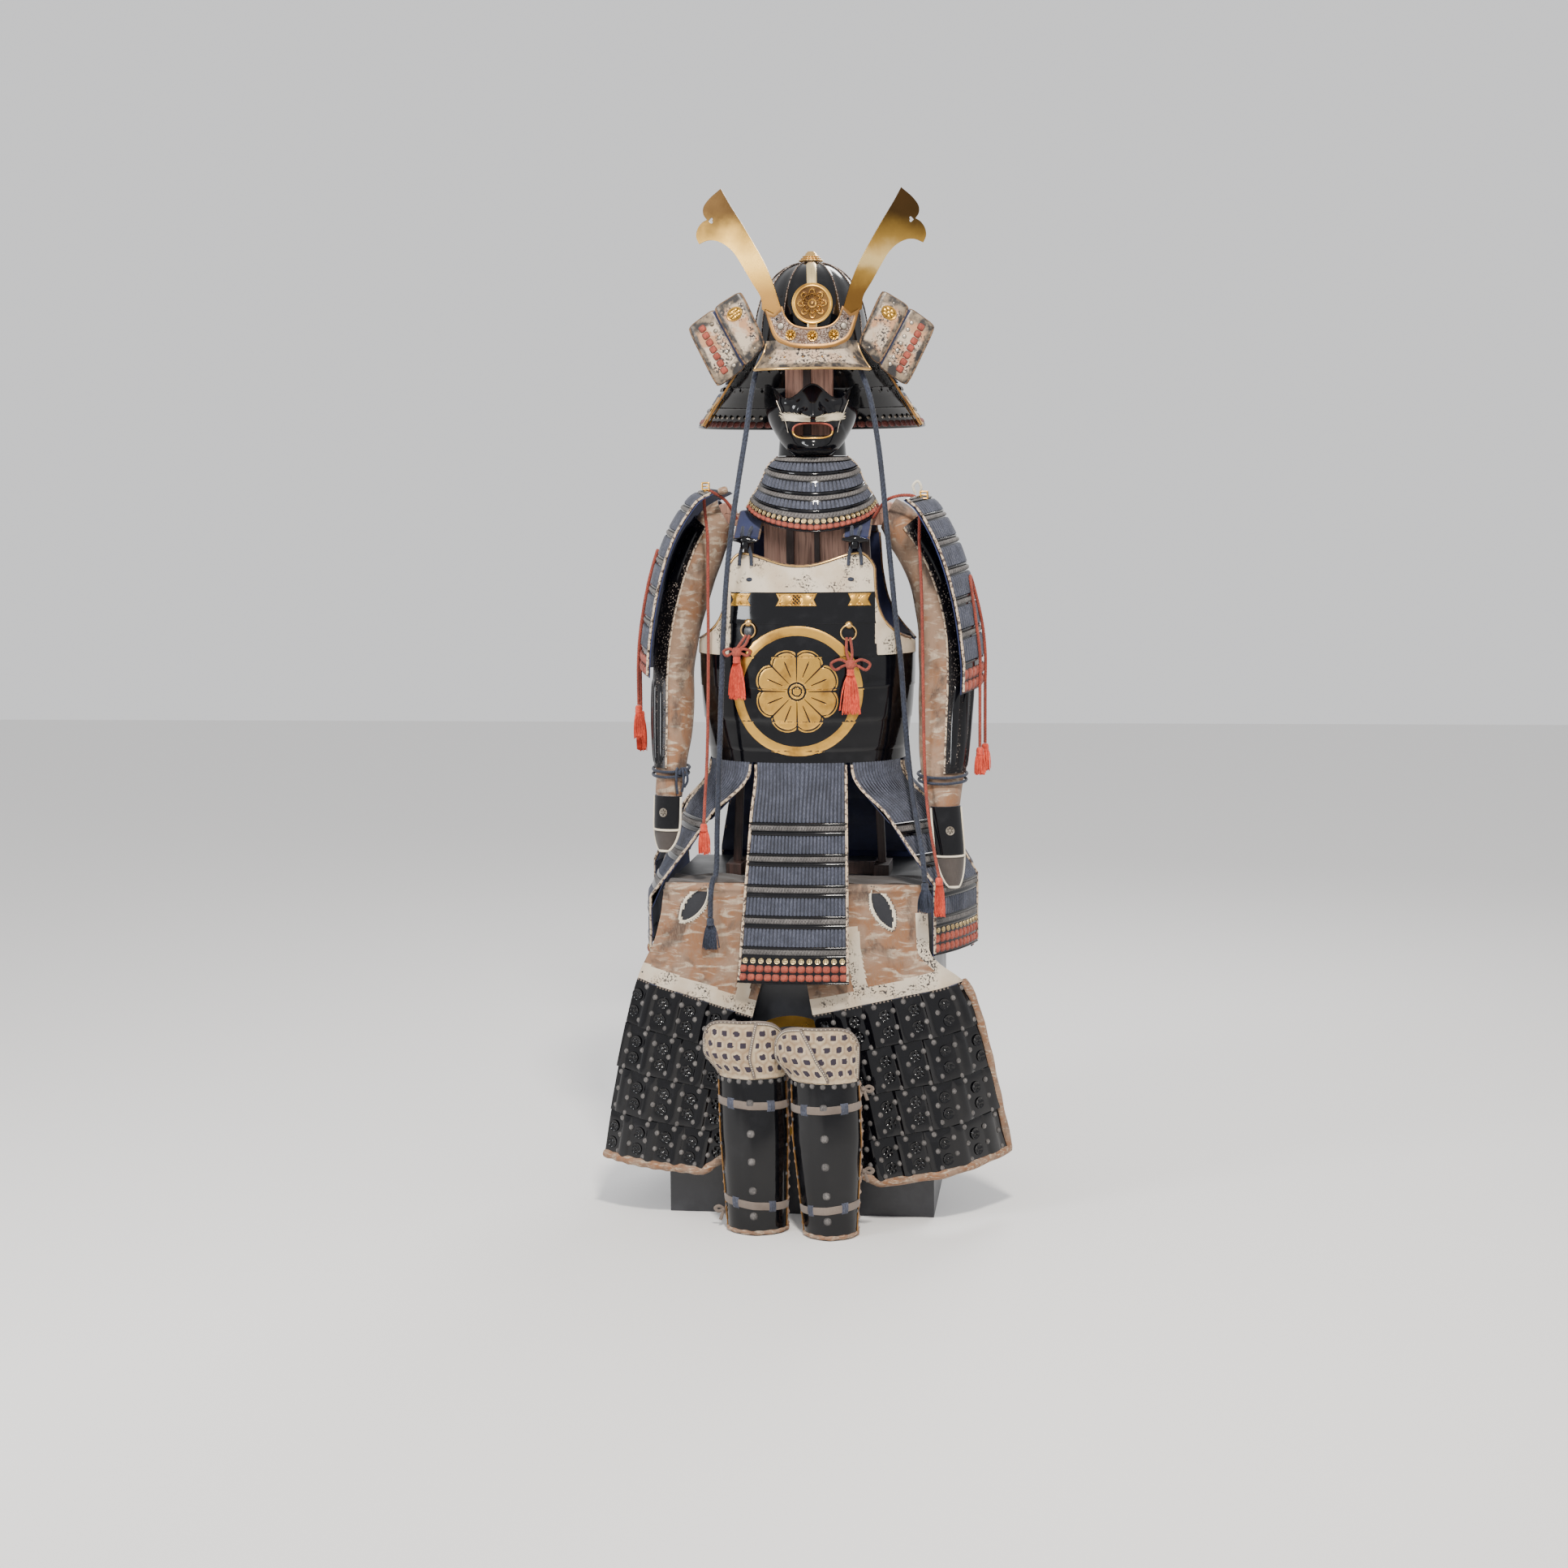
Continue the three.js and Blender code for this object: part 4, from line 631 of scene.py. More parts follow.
def tassel(top, length, width, count=80, depth=1.0, facing=0.0, lean=(0, 0), paint=0):
    """A knotted head with strands that run from it on lines a little bent, wider at their ends."""
    top = np.asarray(top, float)
    head = [[0, 0], [4.6, -0.6], [6.2, -3], [6.6, -7], [6.2, -10], [6.9, -11], [6.9, -13.2], [5, -14],
            [0, -14.2]]
    angle = np.arange(count) * 2.399963
    reach = np.sqrt((np.arange(count) + 0.5) / count)
    spread = (width / 2 - 1.5) * reach * rng.uniform(0.75, 1.05, count)
    long = (length - 12) * rng.uniform(0.86, 1.0, count)
    t = np.linspace(0, 1, 6)
    wobble = rng.normal(0, 1.0, (count, 1, 2)) * np.sin(pi * t)[None, :, None]
    way = np.stack([np.cos(angle), depth * np.sin(angle)], -1)
    swell = 5.2 * reach[:, None] * (1 - t) + spread[:, None] * t ** 0.7
    flat = way[:, None, :] * swell[..., None] + wobble + np.asarray(lean, float) * (t ** 1.5)[None, :, None]
    turn = np.array([[cos(facing), sin(facing)], [-sin(facing), cos(facing)]])
    line = np.concatenate([flat @ turn, (-11.5 - long[:, None] * t)[..., None]], -1) + top
    return [lathe(head[::-1], 12, top, paint), strands(line, mix(1.25, 0.8, t), paint)]


# Routes of the hanging cords, as the solids have them
CHIN_LEFT = [(-62, -59.1, 1538), (-80, -84, 1488), (-89, -98, 1440), (-96, -112, 1380), (-107, -132, 1300),
             (-117, -156, 1215), (-128, -156, 1120), (-134, -157, 1030), (-138, -158, 940),
             (-142, -162, 830),
             (-145, -167, 740), (-147, -170, 680), (-148, -172, 625), (-149, -183, 603), (-151, -198, 600),
             (-153, -210, 582), (-154, -215, 536)]
CHIN_RIGHT = [(83.7, -55.4, 1538), (100, -72, 1488), (117, -84, 1440), (131, -94, 1370), (140, -98, 1300),
              (148, -102, 1215), (158, -112, 1120), (166, -118, 1040), (173, -122, 985), (179, -120, 900),
              (185, -118, 820), (193, -136, 760), (204, -178, 710), (217, -226, 660), (223, -240, 606)]
RED_LEFT = [(-121.5, -62, 1226), (-136, -84, 1256), (-152, -102, 1270), (-168.9, -112, 1275.2),
            (-166, -116, 1190),
            (-166, -119, 1100), (-166, -122, 1000), (-167, -127, 900), (-168, -142, 800), (-169, -160, 745),
            (-170, -172, 696)]
RED_RIGHT = [(121.1, -62, 1226), (148, -88, 1258), (182, -102, 1266), (200.8, -108, 1260.4),
             (206, -112, 1180),
             (210, -116, 1090), (212, -120, 990), (214, -134, 900), (217, -152, 800), (222, -172, 740),
             (230, -196, 690), (241, -222, 640), (247, -232, 614)]
SHOULDER_GUARD = {
    -1: [(0, 179.5, 1278.6), (0.12, 207.4, 1261.6), (0.35, 250, 1193), (0.6, 277, 1105), (0.85, 293, 1010),
         (1, 296, 959)],
    1: [(0, 214, 1266), (0.12, 236, 1246), (0.35, 272, 1176), (0.6, 298, 1086), (0.85, 312, 988),
        (1, 312, 930)],
}


def shoulder_point(side, s, v, out=0.0):
    """Across s and down v: a table of widths and heights, bent back by 30 s squared."""
    bend = 30 * np.square(s)
    x = column(SHOULDER_GUARD[side], v, 1) - bend + out
    return spot(side * x, -42 + s * 122, column(SHOULDER_GUARD[side], v, 2) - 0.25 * bend + 0.3 * out)


def side_route(side, front, back, ring, tails):
    """Down from the ring on the shoulder guard's outer face to both tassels."""
    def on(s, v):
        return shoulder_point(side, s, v, 6.5)

    heights = [v for v in (0.85, 0.7, 0.55) if v > ring + 0.08]

    def end(s, drop):
        low = on(s, 1)
        return [low - (0, 0, drop), low - (0, 0, drop / 2), low]

    middle = [on(front, v) for v in heights] + [on((front + back) / 2, ring)] + [on(back, v)
                                                                                 for v in heights[::-1]]
    return end(front, tails[0]) + middle + end(back, tails[1])[::-1]


SIDE_CORDS = {-1: (-0.3, 0.02, 0.42, (64, 78), (62, 74)), 1: (-0.5, -0.1, 0.5, (104, 104), (50, 50))}


def braid(turns, height, round_=4):
    """Relief of a round braid: strands of two helix families that take turns on top."""
    def relief(angle, way):
        first, second = round_ * angle / TAU + way / turns, round_ * angle / TAU - way / turns
        over = (np.floor(first) + np.floor(second)) % 2 == 0
        ridge = np.where(over, first, second) % 1
        return height * (np.sqrt(np.clip(1 - (2 * ridge - 1) ** 2, 0, 1)) - 1)
    return relief


def hanging_cord(name, route, diameter, finish, tassels):
    """A braided tube along its route, and its tassels just below its ends."""
    count = int(walk(np.asarray(route, float))[-1] / (diameter / 6))
    path = through(route, count)
    thick = diameter > 8
    relief = braid(diameter * 0.85, 0.17 * diameter, 4 if thick else 3)
    made = build(name, [tube(path, diameter / 2, 16 if thick else 12, relief=relief)], [finish],
                 [name], sharp=75)
    for i, (at, length, width, depth, paint) in enumerate(tassels):
        label = f"{name}_tassel" + ("_b" if i else "")
        top = path[at] - (0, 0, 0.5)
        build(label, tassel(top, length, width, depth=depth), [paint], [label], sharp=60)
    route = path[::4] if len(path) % 4 == 1 else np.concatenate([path[::4], path[-1:]])


def make_cords():
    hanging_cord("chin_cord_left", CHIN_LEFT, 10, NAVY, [(-1, 58, 34, 0.15, NAVY)])
    hanging_cord("chin_cord_right", CHIN_RIGHT, 10, NAVY, [(-1, 54, 34, 1, NAVY)])
    hanging_cord("red_cord_left", RED_LEFT, 6, RED, [(-1, 56, 24, 0.5, TASSEL_RED)])
    hanging_cord("red_cord_right", RED_RIGHT, 6, RED, [(-1, 70, 24, 0.6, TASSEL_RED)])
    for name, side in SIDES:
        front, back, ring, tails, lengths = SIDE_CORDS[side]
        route = side_route(side, front, back, ring, tails)
        ends = [(-1, lengths[1], 24, 1, TASSEL_RED), (0, lengths[0], 24, 1, TASSEL_RED)]
        hanging_cord(f"side_cord_{name}", route, 6, RED, ends)


make_cords()


# Chest and stand

def ring_on_plane(middle, inner, outer, y, lift, paint=0):
    """A flat painted ring that stands a little proud of a front face."""
    angle, r = grid(np.linspace(0, TAU, 121), [inner, inner + 0.01, outer - 0.01, outer])
    depth = np.array([0, lift, lift, 0])[:, None]
    return patch(spot(middle[0] + r * np.cos(angle), y - depth, middle[1] + r * np.sin(angle)), paint)


def make_chest():
    for name in ("chest_body", "chest_lid"):
        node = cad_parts[name]
        node.data.materials.clear()
        node.data.materials.append(CHEST_BLACK)
    build("chest_ring", [ring_on_plane((-14, 250), 89, 108, -190.05, 0.35)], [GOLD], sharp=30)


def board(low, high, paint=0):
    """A board as six faces."""
    x, y, z = (np.array([a, b], float) for a, b in zip(low, high))
    corners = np.array([[[[x[i], y[j], z[k]] for i in (0, 1)] for j in (0, 1)] for k in (0, 1)])
    sides = [corners[0], corners[1][:, ::-1], corners[:, 0], corners[:, 1][:, ::-1],
             corners[:, :, 0][:, ::-1], corners[:, :, 1]]
    return [patch(side, paint) for side in sides]


def make_stand():
    parts = []
    for side in (-1, 1):
        outline = np.array([[126, 586.3], [140, 586.3], [110, 1214], [96, 1214]])
        x = side * outline[:, 0]
        front = spot(x, -27, outline[:, 1])
        ring = front[[0, 1, 2, 3, 0]]
        loop = np.stack([ring, ring + (0, 14, 0)])
        middle = front.mean(0)
        # The strut and its foot, in the wood painted in shade.
        parts.append(patch(np.concatenate([np.broadcast_to(middle, (1, 5, 3)), loop,
                                           np.broadcast_to(middle + (0, 14, 0), (1, 5, 3))]), 1))
        parts += board((side * 133 - 14, -65, 586.3), (side * 133 + 14, 25, 608.3), 1)
        disc = [[0, -12], [17.5, -12], [19, -10.5], [19, 10.5], [17.5, 12], [0, 12]]
        parts.append(lathe(disc, 32, (side * 146, -20, 1235), 0, axis=(0, 1, 0), side=(1, 0, 0)))
    parts += board((-140, -27, 586.3), (140, -13, 608.3), 1)
    parts += board((-146, -32, 1213), (146, -8, 1235), 0)
    parts += board((-75, -47, 960), (75, -31, 1282), 0)
    # Strips of painted shade for the gaps between the slats.
    parts += board((-35, -51, 960.5), (-21, -47.05, 1281.5), 1)
    parts += board((15, -51, 960.5), (25, -47.05, 1281.5), 1)
    parts += board((-35, -47, 1282.1), (49, -31, 1600), 0)
    parts += board((-3, -51, 1282.5), (11, -47.05, 1539.5), 1)
    cap = [[0, 0], [46, 0], [48.5, 14], [50, 40], [48, 54], [42, 61], [33.5, 65.5], [18, 67], [0, 67]]
    parts.append(lathe(cap, 48, (7, 0, 1600.1), 0))
    nails = [(x, -47.2, z) for z in (975, 1120, 1268) for x in (-66, 66)]
    parts.append(scatter(dome(3.2, 1.6), nails, facing_front(len(nails)), 2))
    made = build("stand_boards", parts, [STAND_WOOD, SHADED_WOOD, BRASS], ["stand"], sharp=30)
    bevel = made.modifiers.new("edges", "BEVEL")
    bevel.width = 1.2 * MM
    bevel.segments = 2
    bevel.limit_method = "ANGLE"


# Cuirass

HEM, BUST, ARMPIT, BREAST = 802, 985, 1014, 1100
SEAMS = [822, 874, 932, 988, 1045]


def cuirass_half(z):
    fill = np.sin(np.clip((z - HEM) / (BUST - HEM), 0, 1) * pi / 2)
    lean = 22 * np.maximum(0, (z - BUST) / 165) ** 1.5
    return mix(174, 193, fill), mix(132, 142, fill) - lean


def cuirass_point(angle, z, out=0.0):
    """A rounded-square section, wider to the bust, whose front leans back above it."""
    half_x, half_y = cuirass_half(z)
    return spot((half_x + out) * power(np.sin(angle), 0.9),
                -30 - (half_y + out) * power(np.cos(angle), 0.9), z)


def cuirass_front_at(x, z, out=0.0):
    """The point of the front at a place across and a height."""
    half_x, _ = cuirass_half(z)
    angle = np.arcsin(np.clip(np.abs(x) / (half_x + out), 0, 1) ** (1 / 0.9)) * np.sign(x)
    return cuirass_point(angle, z, out)


def plate_reach(z, edge, fade):
    z = np.asarray(z, float)
    x = edge + (191 - edge) * np.exp((ARMPIT - np.maximum(z, ARMPIT)) / fade)
    reach = np.arcsin(np.clip(x / 193, 0, 1) ** (1 / 0.9))
    return np.where(z <= ARMPIT, radians(89.93), np.minimum(radians(89.93), reach))


def front_reach(z):
    return plate_reach(z, 128, 28)


def neckline(x):
    share = np.abs(x) / 97
    return 1145 + 22 * np.sin(np.minimum(share, 1) * pi / 2) ** 2 - 240 * np.maximum(0, share - 1) ** 2


def edge_roll(points, radius, paint, sides=8, hint=(0.2, 1, 0.15)):
    return tube(np.asarray(points, float), radius, sides, hint, paint)


def lap(z):
    """Each plate leans out by 1.2 mm at its lower edge."""
    lower = np.array([HEM] + SEAMS)
    upper = np.array(SEAMS + [BREAST])
    i = np.clip(np.searchsorted(upper, z, side="right"), 0, len(upper) - 1)
    return 1.2 * (1 - np.clip((z - lower[i]) / (upper[i] - lower[i]), 0, 1))


def front_ornament():
    """A gold ring and a many-petalled flower inside it, as heights over distance and angle."""
    def on(angle, r, rise):
        x, z = -4 + r * np.sin(angle), 928 + r * np.cos(angle)
        return cuirass_front_at(x, z, lap(z) + rise)

    angle, share = grid(np.linspace(0, TAU, 181), np.linspace(0, 1, 7))
    parts = [patch(on(angle, mix(95, 116, share), 0.45 - 1.2 * (2 * share - 1) ** 8), 1)]
    angle, share = grid(np.linspace(0, TAU, 209), np.linspace(0, 1, 38))
    petal = np.abs(np.sin(4 * angle))
    edge = 66 + 12 * petal ** 0.6
    r = edge * share
    vein = bell(np.abs(np.sin(4 * angle)) * r, 0, 1.6) * ease(r, 16, 20)
    middle_line = bell(np.abs(np.cos(4 * angle)) * r, 0, 1.1) * ease(r, 24, 30) * (1 - ease(r, 52, 60))
    rings = bell(r, 15, 1.4) + bell(r - edge, -7, 0.9) + bell(r, 8, 0.9)
    rise = 0.45 - 1.6 * np.clip(vein + middle_line + rings, 0, 1) - 1.4 * share ** 30
    parts.append(patch(on(angle, r, rise), 1))
    return parts


def swallow_plate(left, right, low=1076, high=1098):
    """A small gilt plate with forked ends and a pierced lattice, whose holes dip below the lacquer."""
    u, v = grid(np.linspace(0, 1, 61), np.linspace(0, 1, 25))
    fork = 5.5 * (1 - np.abs(2 * v - 1))
    x = mix(left + fork, right - fork, u)
    z = mix(low, high, v)
    lattice = np.minimum(np.abs(np.sin(pi * (x + z) / 6.4)), np.abs(np.sin(pi * (x - z) / 6.4)))
    rim = np.maximum(ease(np.abs(2 * v - 1), 0.72, 0.8), ease(np.abs(2 * u - 1), 0.86, 0.9))
    count = 2
    flower = sum(bell(np.hypot(x - mix(left, right, (i + 0.5) / count), z - (low + high) / 2), 0, 8)
                 for i in range(count))
    solid = np.clip(rim + (lattice < 0.33) + 2 * flower, 0, 1)
    edge = np.maximum(np.abs(2 * v - 1), np.abs(2 * u - 1)) ** 40
    return patch(cuirass_front_at(x, z, lap(z) - 0.6 + 1.7 * solid + 1.2 * np.clip(flower, 0, 1) - 1.2
                                  * edge), 1)


def make_cuirass():
    heights = np.unique(np.concatenate([np.linspace(HEM, 1099.7, 34)]
                                       + [[z - 0.7, z - 0.1, z + 0.1, z + 0.7] for z in SEAMS]))

    def front(u, z, out):
        bead = 0.5 * bell(z, np.asarray(SEAMS)[np.abs(np.subtract.outer(z, SEAMS)).argmin(-1)] + 1.6, 1.2)
        return cuirass_point(u * front_reach(z), z,
                             out + lap(z) + (bead if np.ndim(out) == 0 and out == 0 else 0))

    parts = slab(front, np.linspace(-1, 1, 49), heights, 3, 0, 2)
    parts += front_ornament()
    parts += [swallow_plate(-124, -86), swallow_plate(-41, 31), swallow_plate(84, 124)]
    build("front_plates", parts, [LACQUER, GOLD, NAVY_CLOTH], ["cuirass_front"], sharp=35)

    def breast(u, v, out):
        z = mix(BREAST, neckline(128 * u), v)
        return cuirass_point(u * front_reach(z), z, 0.5 + out)

    parts = slab(breast, np.linspace(-1, 1, 49), np.linspace(0, 1, 9), 3.5, 0, 2)
    top = breast(np.linspace(-1, 1, 60), np.ones(60), 0)
    high = breast(np.array([1.0]), np.array([1.0]), 0)[0][2]
    down = np.linspace(high, ARMPIT + 2, 30)
    arm = cuirass_point(front_reach(down), down, 0.6)
    flip = np.array([-1, 1, 1])
    rim = np.concatenate([(arm * flip)[::-1], top, arm])
    parts.append(edge_roll(spaced(rim, 150), 2.6, 1))
    parts.append(edge_roll(spaced(rim + (0, -2.2, 0), 150), 1.1, 3))
    for side in (-1, 1):
        z = np.linspace(990, BREAST - 0.5, 18)
        limit = front_reach(z) * 0.995
        inner = np.arcsin(((130 if side > 0 else 123) / cuirass_half(z)[0]) ** (1 / 0.9))
        u = np.linspace(0, 1, 12)
        angle = mix(np.minimum(inner, limit)[:, None], limit[:, None], u[None])
        rise = 1.1 * np.minimum(1, 14 * np.minimum(u, 1 - u))[None] + lap(z)[:, None] - 0.2
        parts.append(patch(cuirass_point(side * angle, z[:, None] + 0 * angle, rise), 0))
        oval = dome(6.8, 1.6, 16, 3, stretch=0.55)
        x = np.array([side * 88])
        place = cuirass_front_at(x, np.array([1122.0]), 1.0)
        parts.append(scatter(oval, place, np.array([[[1, 0, 0], [0, 0.15, 1], [0, -1, 0.15]]], float), 4))
    build("breast_leather", parts, [SPECKED, EDGE_BROWN, NAVY_CLOTH, BRASS, NAVY],
          ["cuirass_breast"])

    def back(u, v, out):
        low = v <= 1
        top = 1199 + 6 * np.maximum(0, 1 - (u / 0.5) ** 2)
        z = np.where(low, mix(HEM, ARMPIT, np.minimum(v, 1)), mix(ARMPIT, top, np.maximum(v - 1, 0)))
        ribs = 1.2 * np.abs(np.sin(pi * np.clip(z - HEM, 0, None)
                                   / 56)) ** 0.3 if np.ndim(out) == 0 and out == 0 else 0
        return cuirass_point(pi + u * plate_reach(z, 122, 45), z, out - 1.2 + ribs)

    parts = slab(back, np.linspace(-1, 1, 41), np.linspace(0, 2, 57), 1.8, 0, 1)
    rim_v = np.linspace(1.0, 2, 30)
    edge = [back(np.full(30, s), rim_v, 0) for s in (-1.0, 1.0)]
    crest = back(np.linspace(-1, 1, 40), np.full(40, 2.0), 0)
    parts.append(edge_roll(spaced(np.concatenate([edge[0], crest, edge[1][::-1]]), 140), 2.2, 2))
    build("back_plates", parts, [LACQUER, NAVY_CLOTH, EDGE_BROWN], ["cuirass_back"],
          sharp=50)


STRAP_LINE = [(80, 1199.4), (58, 1199.4), (25, 1227), (-6, 1235.3), (-34, 1235.3), (-65, 1220),
              (-100, 1202), (-124, 1190)]


def make_straps():
    for name, side in SIDES:
        line = np.array([(0, y, z) for y, z in STRAP_LINE], float)
        path = spaced(line, 40)[:, 1:]

        def strap(u, v, out):
            y, z = (np.interp(v, np.linspace(0, 1, 40), path[:, k]) for k in (0, 1))
            pad = 1.2 * (1 - np.abs(2 * u - 1) ** 6)
            return spot(side * mix(75.6, 118, u), y, z + 4.8 + pad + out)

        parts = slab(strap, np.linspace(0, 1, 13), np.linspace(0, 1, 60), 4.8, 0, 1)
        v = np.linspace(0, 1, 60)
        for u in (0.0, 1.0):
            parts.append(edge_roll(strap(np.full(60, u), v, -2.6), 2.4, 2, hint=(1, 0, 0.1)))
        x = side * 96
        spindle = [[0, -23], [2.4, -22], [4.5, -12], [7.5, -5], [8, 0], [7.5, 5], [4.5, 12], [2.4, 22],
                   [0, 23]]
        parts.append(lathe(spindle, 16, (x, -143, 1190), 3, axis=(1, 0.1 * side, -0.05), side=(0, 1, 0)))
        parts.append(lathe([[0, -7], [7, -6], [8.5, 0], [7, 6], [0, 7]], 14, (x, -146, 1181), 3,
                           axis=(0, 0, 1)))
        for shift in (-8, 8):
            low = cuirass_front_at(np.array([x + 1.4 * shift]), np.array([1146.0]), 3.6)[0]
            mid = cuirass_front_at(np.array([x + 1.2 * shift]), np.array([1166.0]), 5.0)[0]
            line = through([(x + 0.5 * shift, -144, 1184), mid, low], 24)
            parts.append(tube(line, 3.2, 8, hint=(1, 0, 0.1), paint=4, relief=braid(6, 0.6)))
            up = through([(x + 0.6 * shift, -143, 1193), (x + 0.8 * shift, -132, 1204),
                          (x + shift, -112, 1212)], 20)
            parts.append(tube(up, 3.0, 8, hint=(1, 0, 0.1), paint=4, relief=braid(6, 0.6)))
        finishes = [NAVY_CLOTH, NAVY_CLOTH, EDGE_BROWN, LACQUER, NAVY]
        build(f"shoulder_strap_{name}", parts, finishes, [f"strap_{name}"])


# Laced panels

def cord_across(cords, per=5):
    """Places across a row of cords and the round ridge of each."""
    share = np.linspace(0, 1, per)
    share[0], share[-1] = 0.03, 0.97
    at = (np.arange(cords)[:, None] + share[None]).ravel()
    ridge = np.sqrt(np.clip(1 - (2 * (at % 1) - 1) ** 2, 0, 1))
    return at / cords, ridge


def lacing_patch(sheet, cords, high, low, rise, base, paint=1, rows=8, margin=0.05, loop=4.0):
    """Upright cords side by side between two heights, rounded off at their upper ends."""
    at, ridge = cord_across(cords)
    s = mix(-1 + margin, 1 - margin, at)
    v = np.concatenate([high - loop * np.array([0, 0.3, 1]), np.linspace(high - loop, low, rows)[1:]])
    u, z = grid(s, v)
    top = np.sqrt(np.clip(1 - (1 - np.clip((high - z) / loop, 0, 1)) ** 2, 0, 1))
    lift = ridge[None] * top
    return patch(sheet(u, z, base - 1.0 + (rise + 1.0) * lift), paint, mark=1 - lift)


def braid_patch(sheet, strokes, high, low, rise, base, paint=2, slant=1.0, margin=0.02, per=5):
    """A row of slanting strokes, like one side of a plait."""
    at, _ = cord_across(strokes, per)
    s = mix(-1 + margin, 1 - margin, at)
    t = np.linspace(0, 1, 7)
    u, z = grid(s, mix(high, low, t))
    phase = (at[None] * strokes + slant * t[:, None]) % 1
    ridge = np.sqrt(np.clip(1 - (2 * phase - 1) ** 2, 0, 1))
    body = np.sqrt(np.clip(1 - (2 * t - 1) ** 2, 0, 1))[:, None]
    lift = (0.35 + 0.65 * ridge) * body
    return patch(sheet(u, z, base - 0.8 + (rise + 0.8) * lift), paint,
                 mark=1 - (0.15 + 0.85 * ridge) * body)


def band_patch(sheet, high, low, base, rise=1.0, paint=0, across=13):
    """A glossy bead of lacquer along a plate's edge."""
    t = np.linspace(0, 1, 7)
    u, z = grid(np.linspace(-1, 1, across), mix(high, low, t))
    return patch(sheet(u, z, base - 0.6 + (rise + 0.6) * np.sqrt(1 - (2 * t - 1) ** 2)[:, None]), paint)


def block_patch(sheet, count, high, low, rise, base, paint=3, margin=0.02):
    """Plump square knots in a row, each dipping below the plate round its edge."""
    share = np.array([0.01, 0.07, 0.14, 0.26, 0.42, 0.58, 0.74, 0.86, 0.93, 0.99])
    at = (np.arange(count)[:, None] + share[None]).ravel()
    t = np.array([0, 0.07, 0.14, 0.28, 0.43, 0.57, 0.72, 0.86, 0.93, 1])
    u, z = grid(mix(-1 + margin, 1 - margin, at / count), mix(high, low, t))
    a, b = 2 * (at % 1)[None] - 1, 2 * t[:, None] - 1
    plump = np.clip(1.12 - (np.abs(a) ** 3 + np.abs(b) ** 3) ** (1 / 1.4) * 1.3, -0.7, 1)
    weave = 0.12 * np.sin(9 * a + 9 * b)
    return patch(sheet(u, z, base + rise * (plump + weave * (plump > 0))), paint,
                 mark=np.clip(0.75 - plump * 1.4 - 2 * weave, 0, 1))


TASSETS = [  # name, angle, spread, half width at the top, x, y, facing, half width, bottom, settle
    ("front", 0, 25, 82, -7, -243, 0, 98, 425, 425),
    ("front_left", -51, 23.5, 66, -287, -62, -84, 83, 456, 560),
    ("side_left", -100, 22, 62, -284, 128, -104, 80, 456, 600),
    ("back_left", -153, 22, 62, -112, 226, -174, 84, 450, 600),
    ("front_right", 51, 23.5, 66, 277, -137, 66, 84, 472, 596),
    ("side_right", 100, 22, 62, 288, 62, 98, 84, 456, 600),
    ("back_right", 153, 22, 62, 112, 226, 174, 84, 450, 600),
]


def tasset_point(row, s, z, out):
    """From its stretch of the hem the panel turns and slides to its own line outside the chest."""
    _, angle, spread, top_half, x_end, y_end, facing_end, half_end, _, settle = row
    top = HEM - 0.35
    way = np.clip((top - z) / (top - settle), 0, 1)
    on_hem = cuirass_point(np.radians(angle + s * spread), HEM, out)
    start = cuirass_point(np.radians(angle) + 0 * s, HEM, out)
    facing = np.radians(mix(angle, facing_end, way))
    half = mix(top_half, half_end, way)
    reach = out - 9 * s * s
    x = mix(start[..., 0], x_end, way) + np.cos(facing) * s * half + np.sin(facing) * reach
    y = mix(start[..., 1], y_end, way) + np.sin(facing) * s * half - np.cos(facing) * reach
    free = ease(top - z, 0, 90)
    return spot(mix(on_hem[..., 0], x, free), mix(on_hem[..., 1], y, free), z)


def lame_heights(bottom, first=699, pitch=53, count=5):
    tops = [first - pitch * i for i in range(count) if first - pitch * i > bottom + 15]
    return list(zip(tops, tops[1:] + [None]))


